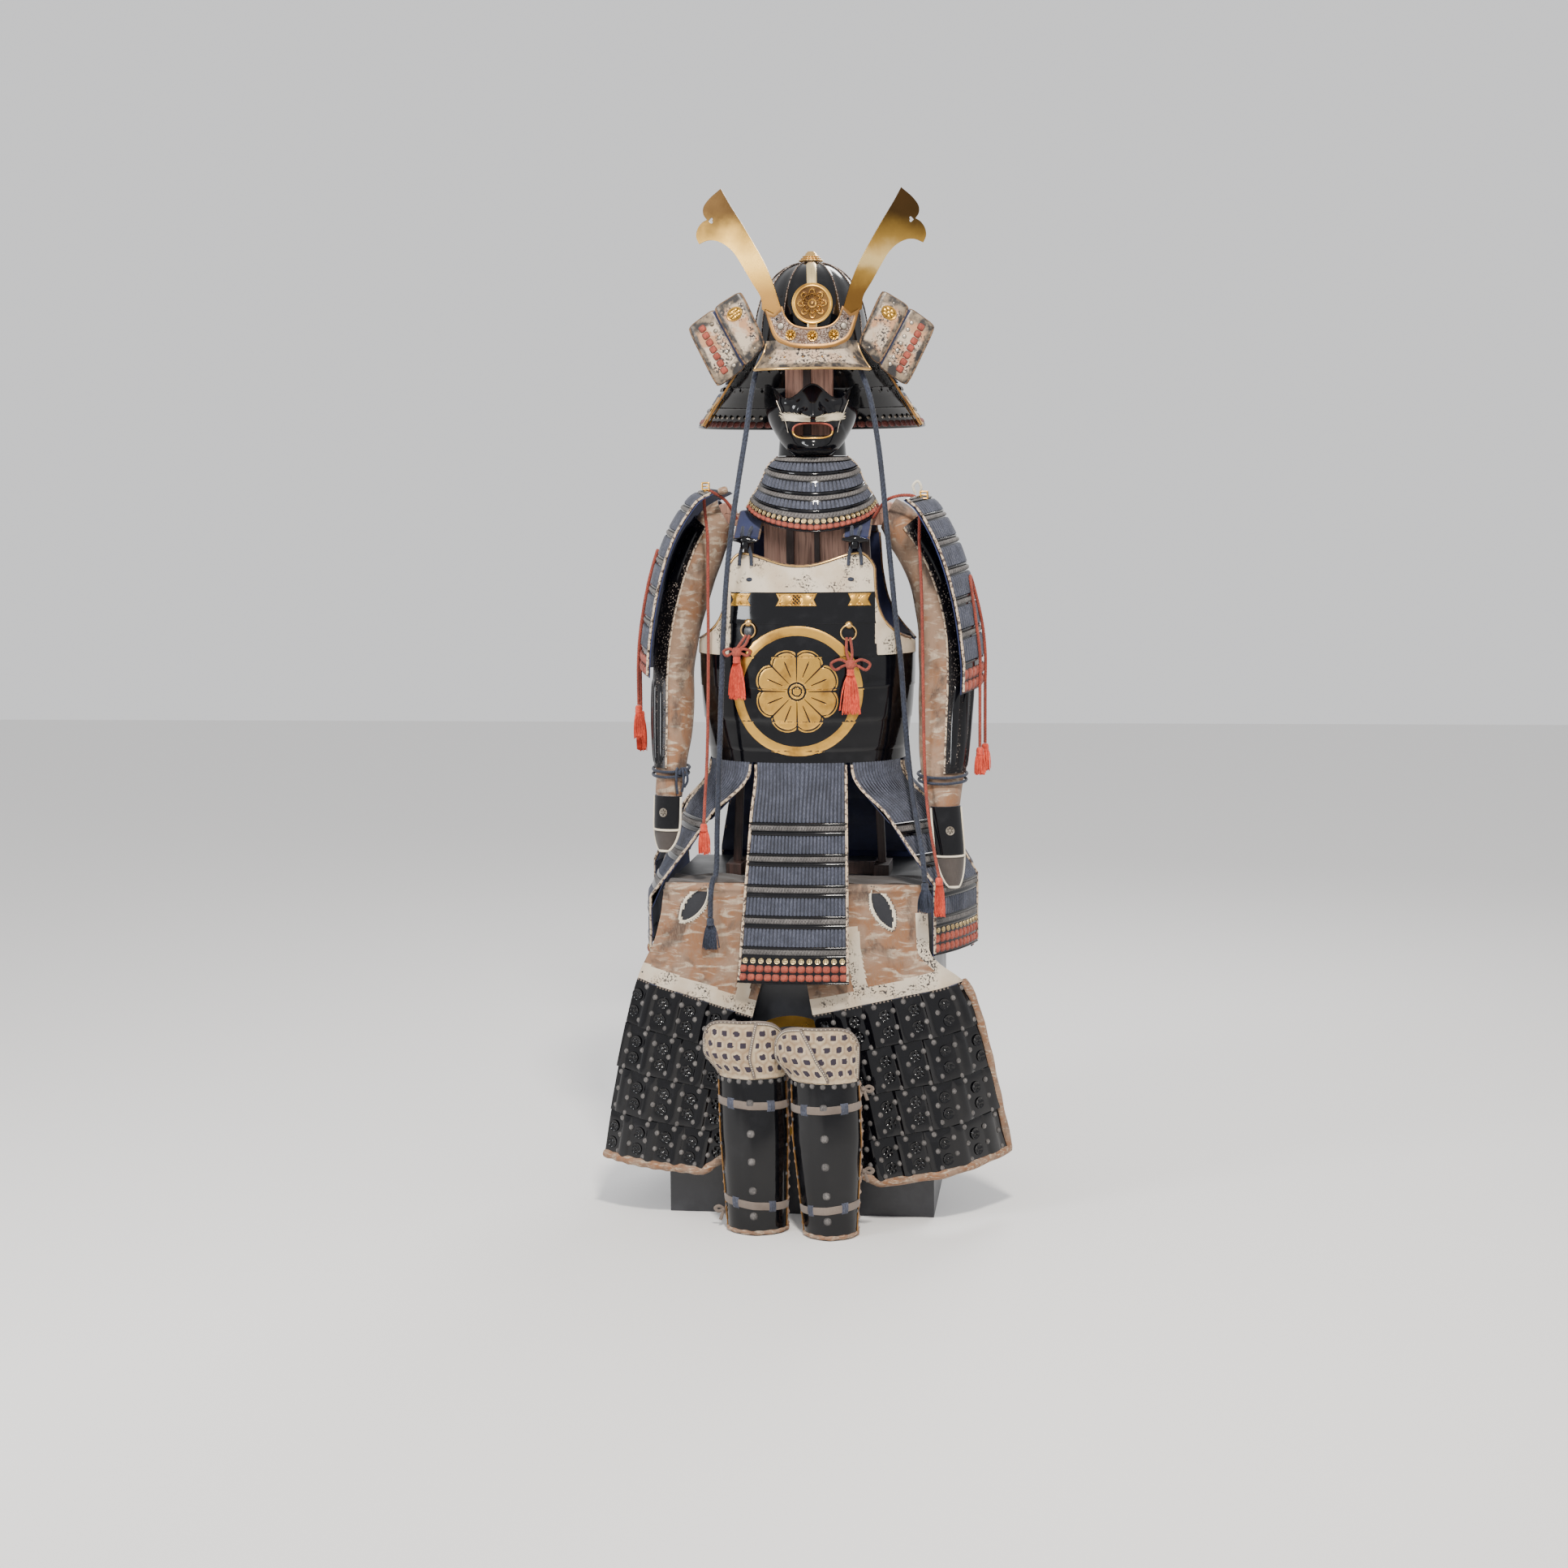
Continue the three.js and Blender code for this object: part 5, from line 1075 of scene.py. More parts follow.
def make_tasset(row):
    name, bottom = row[0], row[8]

    def sheet(u, z, out):
        return tasset_point(row, u, z, out)

    # The backing steps out at each lame's upper edge
    lames = lame_heights(bottom)
    heights, outs = [HEM - 0.35, 775, 735, lames[0][0] + 1.5], [0, 0, 0, 0]
    for top, below in lames:
        heights += [top, (bottom if below is None else below + 1.5)]
        outs += [3.0, 3.0 if below is None else 0.4]
    u, z = grid(np.linspace(-1, 1, 13), heights)
    out = np.broadcast_to(np.array(outs, float)[:, None], u.shape) - 0.6
    parts = wall(sheet(u, z, out), sheet(u, z, out - 1.9), 0, 5)
    front = name == "front"
    cords = 24 if front else 20
    parts.append(lacing_patch(sheet, cords, HEM + 1.0, lames[0][0] + 1, 2.2, 0.4, rows=12))
    for top, below in lames:
        parts.append(band_patch(sheet, top + 1.5, top - 3.5, 2.6, 1.6))
        parts.append(braid_patch(sheet, 34 if front else 28, top - 3, top - 14, 1.6, 2.4))
        if below is None:
            parts.append(band_patch(sheet, top - 13.5, top - 19, 2.4, 1.0))
        else:
            parts.append(band_patch(sheet, top - 14, top - 22.5, 1.8, 1.2))
            parts.append(lacing_patch(sheet, cords + 3, top - 20.5, below + 0.5, 1.6, 1.2, rows=5))
    top = lames[-1][0]
    count = 13 if front else 11
    low = bottom + 3.0
    first = top - 19
    stud_z = first - 5.2
    s = mix(-0.95, 0.95, (np.arange(count) + 0.5) / count)
    places, frames = seats(sheet, s, np.full(count, stud_z), 2.6)
    parts.append(scatter(rosette(5.0, 1.7, 4, 12), places, frames, 4))
    rows = np.linspace(first - 11, low, 3)
    for high, under in zip(rows, rows[1:]):
        parts.append(block_patch(sheet, count, high - 0.6, under + 0.6, 3.2, 2.4))
    parts.append(band_patch(sheet, low, bottom - 0.5, 2.2, 1.8))
    side_z = np.linspace(HEM - 4, bottom + 4, 60)
    for s in (-0.975, 0.975):
        line = sheet(np.full(60, s), side_z, 2.2)
        parts.append(tube(line, 2.7, 6, hint=(0.3, 1, 0.2), paint=6, relief=braid(6, 0.5)))
    build(f"laced_tasset_{name}", parts, LACED, [f"tasset_{name}"], sharp=50)


def make_shoulder_fittings():
    """A gilt buckle on each shoulder, a leather pad inside the left one and a cream loop on the right."""
    parts = []
    for x, y, z in ((-169, -113.5, 1284), (214, -111, 1266)):
        square = np.array([(-6, 0, -6), (6, 0, -6), (6, 0, 6), (-6, 0, 6), (-6, 0, -6)], float)
        parts.append(tube(spaced(square, 41) + (x, y, z), 1.6, 8, hint=(0, 1, 0), ends=False))
        parts.append(tube(np.array([(x - 6, y, z), (x, y - 1.2, z), (x + 7, y, z)], float), 1.1, 8,
                          hint=(0, 1, 0)))
    pad = [[0, -9], [9, -8.4], [12, -5], [12.6, 0], [12, 5], [9, 8.4], [0, 9]]
    parts.append(lathe(pad, 24, (-141, -96, 1276), 1, axis=(1, 0.15, 0.3), side=(0, 1, 0), squash=0.55))
    loop = through([(199, -106, 1268), (195, -112, 1282), (203, -114, 1290), (209, -110, 1280),
                    (206, -104, 1268)], 30)
    parts.append(tube(loop, 2.4, 8, hint=(0, 1, 0), paint=2))
    build("shoulder_fittings", parts, [GOLD, BINDING, CREAM])


def make_shoulder_guards():
    for name, side in SIDES:
        def sheet(u, v, out):
            return shoulder_point(side, u, v, out)

        u, v = grid(np.linspace(-1, 1, 13), np.linspace(0, 1, 40))
        parts = wall(sheet(u, v, -0.4), sheet(u, v, -2.4), 0, 5)
        lames = 6
        for i in range(lames + 1):
            high, low = i / (lames + 1), (i + 1) / (lames + 1)
            parts.append(band_patch(sheet, high, high + 0.014, 0.6, 2.6))
            if i == lames:
                for a, b in ((0.25, 0.6), (0.62, 0.97)):
                    parts.append(block_patch(sheet, 14, mix(high, low, a), mix(high, low, b), 3.0, 1.0))
                continue
            parts.append(braid_patch(sheet, 34, high + 0.014, high + 0.04, 3.4, 0.6))
            parts.append(lacing_patch(sheet, 30, high + 0.045, low, 3.2, 0.4, rows=4, loop=-0.012))
        for s in (-0.97, 0.97):
            line = sheet(np.full(60, s), np.linspace(0.0, 0.99, 60), 1.2)
            parts.append(tube(line, 2.6, 6, hint=(0, 1, 0.2), paint=6, relief=braid(6, 0.5)))
        across = np.linspace(-0.98, 0.98, 30)
        parts.append(tube(sheet(across, np.full(30, 0.004), 0.6), 2.4, 6, hint=(1, 0, 0.3), paint=0))
        build(f"laced_shoulder_{name}", parts, LACED, [f"shoulder_guard_{name}"], sharp=50)


# Sleeves

SLEEVES = {  # ring, x, y, z, tilt, half across, half deep
    -1: [(0, 146, -24, 1234, 62, 30, 44), (1, 170, -26, 1208, 38, 37, 50), (2, 199, -32, 1145, 16, 42, 54),
         (3, 226, -40, 1050, 8, 39, 53), (4, 237, -54, 962, 2, 36, 48), (5, 236, -80, 873, 0, 36, 43),
         (6, 237, -108, 790, 0, 28, 35), (7, 240, -124, 736, 0, 24, 30)],
    1: [(0, 146, -24, 1234, 62, 30, 44), (1, 172, -26, 1206, 40, 37, 50), (2, 214, -32, 1138, 22, 40, 54),
        (3, 241, -40, 1050, 6, 45, 54), (4, 248, -56, 962, 0, 48, 50), (5, 247, -84, 873, 0, 45, 46),
        (6, 246, -116, 784, 0, 39, 38), (7, 250, -138, 724, 0, 28, 31)],
}


def sleeve_point(side, along, angle, out=0.0):
    """Ellipses on a curved line down the arm; angle 0 is the outer side and 90 degrees the front."""
    x, y, z, tilt, rx, ry = (column(SLEEVES[side], along, k) for k in range(1, 7))
    tilt = np.radians(tilt)
    reach = (rx + out) * np.cos(angle)
    return spot(side * (x + reach * np.cos(tilt)), y - (ry + out) * np.sin(angle), z + reach * np.sin(tilt))


HANDS = {-1: ((-243, -160.6, 742), (-246, -165, 645), 27, -22),
         1: ((259, -170.6, 728), (272, -191, 590), 27, 20)}


def make_sleeves():
    for name, side in SIDES:
        def skin(angle, along, out):
            soft = 0.8 * np.sin(3 * angle + 5
                                * along) * np.sin(1.9 * along) if np.ndim(out) == 0 and out == 0 else 0
            return sleeve_point(side, along, angle, out + soft - 0.6)

        parts = slab(skin, np.linspace(0, TAU, 49), np.linspace(0, 7, 64), 2.4, 0, 1, ring=True)
        made = build(f"hide_sleeve_{name}", parts, [HIDE, NAVY_CLOTH], [f"sleeve_{name}"],
                     sharp=60)
        angle, along = grid(np.linspace(0, TAU, 61), np.linspace(0, 7, 80))
        rings = sleeve_point(side, along, angle)

        def mail_point(angle, along, out):
            return sleeve_point(side, along, angle, 0.6 + out)

        # Mail over the outer side, with tapering splints between its rows
        a = np.radians(np.linspace(-75, 82, 43))
        rows = np.linspace(1, 6, 70)
        parts = slab(lambda u, v, out: mail_point(u, v, 2.0 + out), a, rows, 2.0, 0, 2)
        splints = [(-60, 1.2, 2.4, 13), (-30, 1.2, 2.6, 14), (0, 1.2, 2.6, 14), (30, 1.2, 2.6, 14),
                   (58, 1.2, 2.4, 13),
                   (-55, 4.3, 5.95, 11), (-24, 4.2, 5.95, 11), (6, 4.2, 5.95, 11), (36, 4.2, 5.95, 11),
                   (62, 4.3, 5.9, 9)]
        for middle, first, last, wide in splints:
            u, v = grid(np.linspace(-1, 1, 9), np.linspace(0, 1, 20))
            angle = np.radians(middle + u * wide * (1 - 0.25 * (2 * v - 1) ** 2))
            edge = np.sqrt(np.clip(1 - np.maximum(np.abs(u), np.abs(2 * v - 1)) ** 6, 0, 1))
            parts.append(patch(mail_point(angle, mix(first, last, v),
                                          1.4 + 3.4 * edge * (1 - 0.35 * u * u)), 1))
        for edge in (a[0], a[-1]):
            line = mail_point(np.full(70, edge), rows, 1.2)
            parts.append(tube(line, 1.8, 6, hint=(1, 0, 0.2), paint=3))
        # A round plate with petals at the elbow
        u, v = grid(np.linspace(-1, 1, 17), np.linspace(-1, 1, 17))
        bump = 1.6 * np.clip(1 - u ** 2 - v ** 2, 0, 1) ** 0.5
        flower = 0.9 * np.abs(np.sin(6 * np.arctan2(v, u))) * np.clip(1 - u ** 2 - v ** 2, 0, 1)
        parts.append(patch(mail_point(u * 0.42, 3.55 + 0.42 * v, 1.2 + 1.6 * bump + flower), 1))
        build(f"mail_{name}", parts, [MAIL, LACQUER, NAVY_CLOTH, FLECKED],
              [f"arm_plates_{name}"], sharp=50)
        make_hand_guard(name, side)


def make_hand_guard(name, side):
    top, end, half, facing = HANDS[side]
    top, end = np.array(top, float), np.array(end, float)
    turn = radians(facing)

    def guard(u, v, out):
        width = half * np.sqrt(np.clip(1 - np.maximum(0, v - 0.45) ** 2 / 0.34, 0, None))
        bend = u * 1.15
        across = width * np.sin(bend) / sin(1.15)
        depth = (width + 4) * (np.cos(bend) - 1) * 0.75 + out
        line = mix(top, end, np.asarray(v)[..., None])
        shift = spot(cos(turn) * across + sin(turn) * depth, sin(turn) * across - cos(turn) * depth,
                     0 * across)
        return line + shift

    parts = slab(guard, np.linspace(-1, 1, 25), np.linspace(0, 0.62, 20), 2.4, 0, 2)
    parts += slab(guard, np.linspace(-1, 1, 25), np.linspace(0.63, 1, 14), 2.4, 1, 2)
    v = np.linspace(0.02, 1, 40)
    for u in (-1.0, 1.0):
        parts.append(edge_roll(guard(np.full(40, u), v * 0.995, -0.6), 2.2, 3))
    bridge = guard(np.linspace(-1, 1, 30), np.full(30, 0.62), 0.4)
    parts.append(edge_roll(bridge, 2.0, 3))
    tip = guard(np.linspace(-1, 1, 24), np.full(24, 1.0), -0.6)
    parts.append(edge_roll(tip, 2.2, 3))
    places, frames = seats(guard, [0.0], [0.3], 0.2)
    parts.append(scatter(rosette(8, 1.2, 6, 24), places, frames, 4))
    build(f"hand_plate_{name}", parts, [LACQUER, GREY_CLOTH, NAVY_CLOTH, CREAM, GREY_STUD],
          [f"hand_guard_{name}"])

    # The wrist tie, two turns of soft cord, bowed on the left
    angle = np.linspace(0, TAU, 60)
    parts = []
    for along, lift in ((6.05, 4.6), (6.2, 4.8)):
        parts.append(tube(sleeve_point(side, along + 0.05 * np.sin(angle), angle, lift), 2.6, 6,
                          hint=(0, 0, 1), ends=False))
    knot = sleeve_point(side, np.array([6.12]), np.array([2.2]), 6.0)[0]
    if side < 0:
        for reach, drop in ((16, -26), (9, -34), (-4, -38)):
            loop = through([knot, knot + (reach * 0.7, -5, 8), knot + (reach, -7, drop * 0.5),
                            knot + (reach * 0.6, -5, drop)], 30)
            parts.append(tube(loop, 2.2, 6, hint=(0, 1, 0.2), flat=0.6))
    parts.append(lathe([[0, -5], [4, -4], [5.5, 0], [4, 4], [0, 5]], 10, knot))
    build(f"wrist_tie_{name}", parts, [NAVY])


# Thigh guards

THIGHS = {
    -1: dict(inner_band=360, outer_band=424, low=84, low_outer=102, wrap=48, slit=(184, 556, 74, 29, 0.66),
             edges=[(586, 12, 236), (500, 38, 252), (424, 64, 286), (350, 84, 306), (200, 116, 336),
                    (80, 140, 354)]),
    1: dict(inner_band=364, outer_band=424, low=66, low_outer=108, wrap=108, slit=(146, 552, 76, 29, 0.46),
            edges=[(586, 4, 222), (500, 6, 226), (470, 8, 232), (424, 13, 284), (350, 28, 312),
                   (200, 72, 344), (60, 110, 372)]),
}
LID_TOP, LID_FRONT = 586, -194.3


def thigh_point(side, u, z, out):
    """Between an inner and an outer edge, the sheet hangs forward, wraps back past the corner and flutes."""
    guard = THIGHS[side]
    x = mix(column(guard["edges"], z, 1), column(guard["edges"], z, 2), u)
    hang = LID_FRONT - 1.1 - 34 * np.clip((LID_TOP - z) / 500, 0, 1) ** 1.2
    wrap = guard["wrap"] * (np.maximum(0, x - 246) / 110) ** 1.5
    fold = 2.5 * ease(LID_TOP - z, 10, 150) * np.sin(u * 3.2 * pi)
    return spot(side * (x + 0.5 * out * u ** 2), hang - out + wrap - np.maximum(0, fold), z)


def band_height(side, u):
    return mix(THIGHS[side]["inner_band"], THIGHS[side]["outer_band"], u)


def cloth_point(side, u, v, out):
    """Down to v = 0.07 the cloth lies on the lid and turns over its edge; below it hangs."""
    rows = [(0, LID_FRONT + 28, LID_TOP + 0.3), (0.04, LID_FRONT - 0.3, LID_TOP + 0.3),
            (0.07, LID_FRONT - 0.7, LID_TOP - 3)]
    guard = THIGHS[side]
    flat_v = np.minimum(v, 0.07)
    x = side * mix(guard["edges"][0][1], guard["edges"][0][2], u)
    turn = ease(flat_v, 0.03, 0.07)
    out = np.where(np.asarray(out) > 1, out + 5.5 * bell(v, 0.05, 0.035), out)
    over = spot(x, np.interp(flat_v, [r[0] for r in rows], [r[1] for r in rows]) - out * turn,
                np.interp(flat_v, [r[0] for r in rows], [r[2] for r in rows]) + out * (1 - turn))
    z = mix(LID_TOP - 3, band_height(side, u), np.clip((v - 0.07) / 0.93, 0, 1))
    return np.where((v <= 0.07)[..., None], over, thigh_point(side, u, z, out))


def in_slit(side, x, z, grow=0.0):
    """Below 1 inside the pointed oval of the eye slit."""
    cx, cz, tall, wide, lean = THIGHS[side]["slit"]
    dx, dz = x - cx, z - cz
    across = dx * cos(lean) + dz * sin(lean)
    along = -dx * sin(lean) + dz * cos(lean)
    t = np.clip(np.abs(along) / (tall / 2 + grow), 0, 1)
    return np.abs(across) / np.maximum((wide / 2 + grow) * np.sin(np.arccos(t)) ** 1.5, 0.01)


def make_thigh_cloth():
    for name, side in SIDES:
        def sheet(u, v, out):
            return cloth_point(side, u, np.asarray(v, float), out)

        us, vs = np.linspace(0, 1, 73), np.concatenate([np.linspace(0, 0.07, 7), np.linspace(0.077, 1, 64)])
        u, v = grid(us, vs)
        points = sheet(u, v, 2.6)
        x, z = np.abs(points[..., 0]), points[..., 2]
        hanging = v > 0.08
        crease = np.where(hanging, 0.9 * np.sin(0.05 * x + 0.09 * z) * np.sin(0.021 * x - 0.034 * z + 2), 0)
        quads = hanging[:-1, :-1]
        mid_x, mid_z = (x[:-1, :-1] + x[1:, 1:]) / 2, (z[:-1, :-1] + z[1:, 1:]) / 2
        mid_u = (u[:-1, :-1] + u[1:, 1:]) / 2
        low = band_height(side, mid_u)
        paint = np.zeros(quads.shape, int)
        paint[quads & (mid_z < low + 27)] = 1
        strip = column(THIGHS[side]["edges"], mid_z, 1)
        if side < 0:
            tape = np.abs(mid_x - (strip + 34 + 0.16 * (mid_z - 440))) < 12
            outer = np.zeros_like(tape)
        else:
            tape = (np.abs(mid_x - (strip + 92 - 0.08 * (mid_z - 440))) < 13) & (mid_z < 520)
            outer = (mid_u > 0.9) & (mid_z < 545)
        paint[quads & (mid_z >= low + 27) & (tape | outer)] = 1
        paint[quads & (in_slit(side, mid_x, mid_z, 5.5) < 1)] = 2
        paint[quads & (in_slit(side, mid_x, mid_z) < 1)] = 3
        lift = 2.6 + crease + 0.8 * (np.pad(paint, ((0, 1), (0, 1)), mode="edge") == 1)
        lift = np.where(in_slit(side, x, z) < 1, 0.9, lift)
        parts = wall(sheet(u, v, lift), sheet(u, v, 0.3), 0, 4)
        parts[0] = patch(sheet(u, v, lift), paint)
        made = build(f"thigh_hide_{name}", parts, [HIDE, SPECKED, CREAM, DARK_CLOTH, NAVY_CLOTH],
                     [f"thigh_cloth_{name}"], sharp=70, tidy=False)
        area = np.linalg.norm(np.cross(points[1:, :-1] - points[:-1, :-1],
                                       points[:-1, 1:] - points[:-1, :-1]), axis=-1).sum()
        make_slit_edge(name, side)


def make_slit_edge(name, side):
    """A cream welt with stitches round the eye slit."""
    cx, cz, tall, wide, lean = THIGHS[side]["slit"]
    t = np.linspace(0, TAU, 80)

    def oval(grow):
        along, across = (tall / 2 + grow) * np.cos(t), (wide / 2 + grow) * power(np.sin(t), 1.5)
        x = cx + across * cos(lean) - along * sin(lean)
        z = cz + across * sin(lean) + along * cos(lean)
        guard = THIGHS[side]
        u = (x - column(guard["edges"], z, 1)) / (column(guard["edges"], z, 2)
                                                  - column(guard["edges"], z, 1))
        return u, z

    u, z = oval(1.2)
    parts = [tube(thigh_point(side, u, z, 2.9), 1.5, 6, hint=(0.1, 1, 0), ends=False)]
    u, z = oval(5.5)
    line = spaced(thigh_point(side, u, z, 3.2), 44)[:-1]
    parts.append(scatter(dome(1.3, 1.1, 6, 2), line, facing_front(len(line)), 1))
    build(f"slit_welt_{name}", parts, [CREAM, BRAID])


def make_thigh_scales():
    """Four rows of lacquered scales: columns of flowers, and smooth tiles between grey knots."""
    for name, side in SIDES:
        guard = THIGHS[side]

        def low_edge(u):
            return mix(guard["low"], guard["low_outer"], u) + 26 * np.maximum(0, 0.14 - u) / 0.14

        def sheet(u, v, out):
            z = mix(band_height(side, u) - 0.6, low_edge(u), v)
            return thigh_point(side, u, z, 2.6 + out)

        rows, periods = 4, 4.5 if side < 0 else 5.2
        t = np.array([0.003, 0.03, 0.2, 0.5, 0.8, 0.93, 0.985, 0.998])
        steps = np.array([0.2, 0.6, 1.0, 1.6, 2.3, 2.7, 2.6, 1.2])
        row = np.repeat(np.arange(rows), len(t))
        u, v = grid(np.linspace(0, 1, 109), (row + np.tile(t, rows)) / rows)
        phase = (u * periods + 0.35 * row[:, None] - 0.3) % 1
        tile = 3.4 * np.sqrt(np.clip(1 - ((phase - 0.525) / 0.185) ** 2, 0, 1))
        rise = np.tile(steps, rows)[:, None] + tile
        parts = wall(sheet(u, v, rise), sheet(u, v, -2.0), 0, 4)
        for shift, shares, shape, paint, lift in (
                (0.0, (0.33, 0.7), rosette(10.6, 3.2, 5, 30), 0, 2.0),
                (-0.28, (0.1, 0.48, 0.86), dome(5.4, 3.4, 10, 3), 1, 2.0),
                (0.33, (0.25, 0.62, 0.96), dome(5.4, 3.4, 10, 3), 1, 2.0)):
            places = [((k + shift + 0.3 - 0.35 * i) / periods, (i + w) / rows)
                      for i in range(rows) for k in range(8) for w in shares]
            places = np.array([p for p in places if 0.02 < p[0] < 0.98 and p[1] < 0.985])
            seat, frames = seats(sheet, places[:, 0], places[:, 1], lift)
            parts.append(scatter(shape, seat, frames, paint))
        # The rolled binding along the lower and the outer edge
        edge_u = np.concatenate([np.linspace(0.0, 1, 70), np.full(46, 1.0)])
        edge_v = np.concatenate([np.full(70, 1.0), np.linspace(0.99, 0.0, 46)])
        if side < 0:
            edge_u, edge_v = edge_u[:70], edge_v[:70]
        line = spaced(sheet(edge_u, edge_v, 1.0), 150)
        ripple = np.sin(np.linspace(0, 60, 150))
        parts.append(tube(line, 7.6 + 0.7 * ripple, 12, hint=(0.2, 1, 0.1), paint=2))
        top_u = np.linspace(0.01, 0.99, 40)
        places, frames = seats(sheet, top_u, np.full(40, 0.006), 1.0)
        parts.append(scatter(dome(2.0, 1.6, 6, 2), places, frames, 3))
        build(f"thigh_plates_{name}", parts, [LACQUER, BRAID, BINDING, RIBBON, NAVY_CLOTH],
              [f"thigh_scales_{name}"], sharp=45)


def make_belt():
    """The rumpled waist cloth on the lid: low waves over its width and depth."""
    def sheet(u, v, out):
        x, y = mix(-236, 236, u), mix(LID_FRONT + 28.3, -60, v * (1 - 22 / 200))
        slow = 2.6 * np.sin(9 * u) * np.sin(3 * v)
        rumple = slow + 2.4 * np.sin(31 * u + 6 * v) * np.sin(5 * v + 2 * u) * (out == 0)
        return spot(x, y, np.maximum(LID_TOP + 0.3, LID_TOP + 0.3 + (4 + rumple) * (out == 0)))

    parts = slab(sheet, np.linspace(0, 1, 80), np.linspace(0, 1, 26), 3)
    made = build("waist_cloth", parts, [GREY_CLOTH], ["thigh_belt"], sharp=60)


# Shin guards and knee covers

SHINS = {-1: (-66, -76, -282, -258, 52, 60, 59, -90, 368), 1: (64, 54, -302, -284, 46, 60, 58, 42, 364)}
SHIN_TOP = 268


def shin_point(side, angle, z, out=0.0):
    """Round the shin: half an ellipse with a low ridge down its middle."""
    low_x, top_x, low_y, top_y, low_half, mid_half, top_half, _, _ = SHINS[side]
    v = z / SHIN_TOP
    half = mix(mix(low_half, mid_half, np.minimum(v * 1.6, 1)), top_half, np.maximum(0, v - 0.6)) + out
    depth = 48 * mix(0.92, 1, np.sin(np.minimum(v, 1) * pi)) + out + 3 * np.maximum(0, 1 - np.abs(angle)
                                                                                    / 0.35)
    return spot(mix(low_x, top_x, v) + half * np.sin(angle), mix(low_y, top_y, v) - depth * np.cos(angle),
                z)


def knee_point(side, angle, z, out):
    """It stands on the shin plate's upper edge and widens over the knee."""
    _, top_x, _, _, _, _, top_half, knee_x, _ = SHINS[side]
    wider = ease(z, SHIN_TOP, SHIN_TOP + 45)
    base = shin_point(side, angle, SHIN_TOP, out)
    half = mix(1, 72 / top_half, wider)
    x = mix(top_x, knee_x, wider) + (base[..., 0] - top_x) * half
    return spot(x, base[..., 1] - 4 * wider * np.cos(angle) + 0.06 * (z - SHIN_TOP), z)


def hexagons(x, y, pitch):
    """Place from the nearest centre of a honeycomb, in pitches, and how near the cell's edge is."""
    size = np.array([1.0, np.sqrt(3)])
    p = np.stack([x, y], -1) / pitch / size
    first = (p - np.round(p)) * size
    second = (p - 0.5 - np.round(p - 0.5)) * size
    closer = np.linalg.norm(first, axis=-1) < np.linalg.norm(second, axis=-1)
    nearest = np.where(closer[..., None], first, second)
    q = np.abs(nearest)
    return nearest, np.maximum(q[..., 0], q[..., 0] / 2 + q[..., 1] * np.sqrt(3) / 2)


def bow_at(place, size, paint=0):
    """Two ribbon loops and two short ends from a knot."""
    parts = []
    for flip in (-1, 1):
        loop = [(0, 0, 0), (flip * 0.6, -0.15, 0.35), (flip * 1.0, -0.1, 0.1), (flip * 0.7, -0.1, -0.2),
                (0, 0, 0)]
        tail = [(0, 0, 0), (flip * 0.25, -0.2, -0.5), (flip * 0.45, -0.15, -1.1)]
        for route in (loop, tail):
            line = through(np.array(place) + size * np.array(route), 24)
            parts.append(tube(line, 3.0, 6, hint=(0.1, 1, 0.1), paint=paint, flat=0.35))
    parts.append(lathe([[0, -4], [4, -3], [5, 0], [4, 3], [0, 4]], 10, place, paint))
    return parts


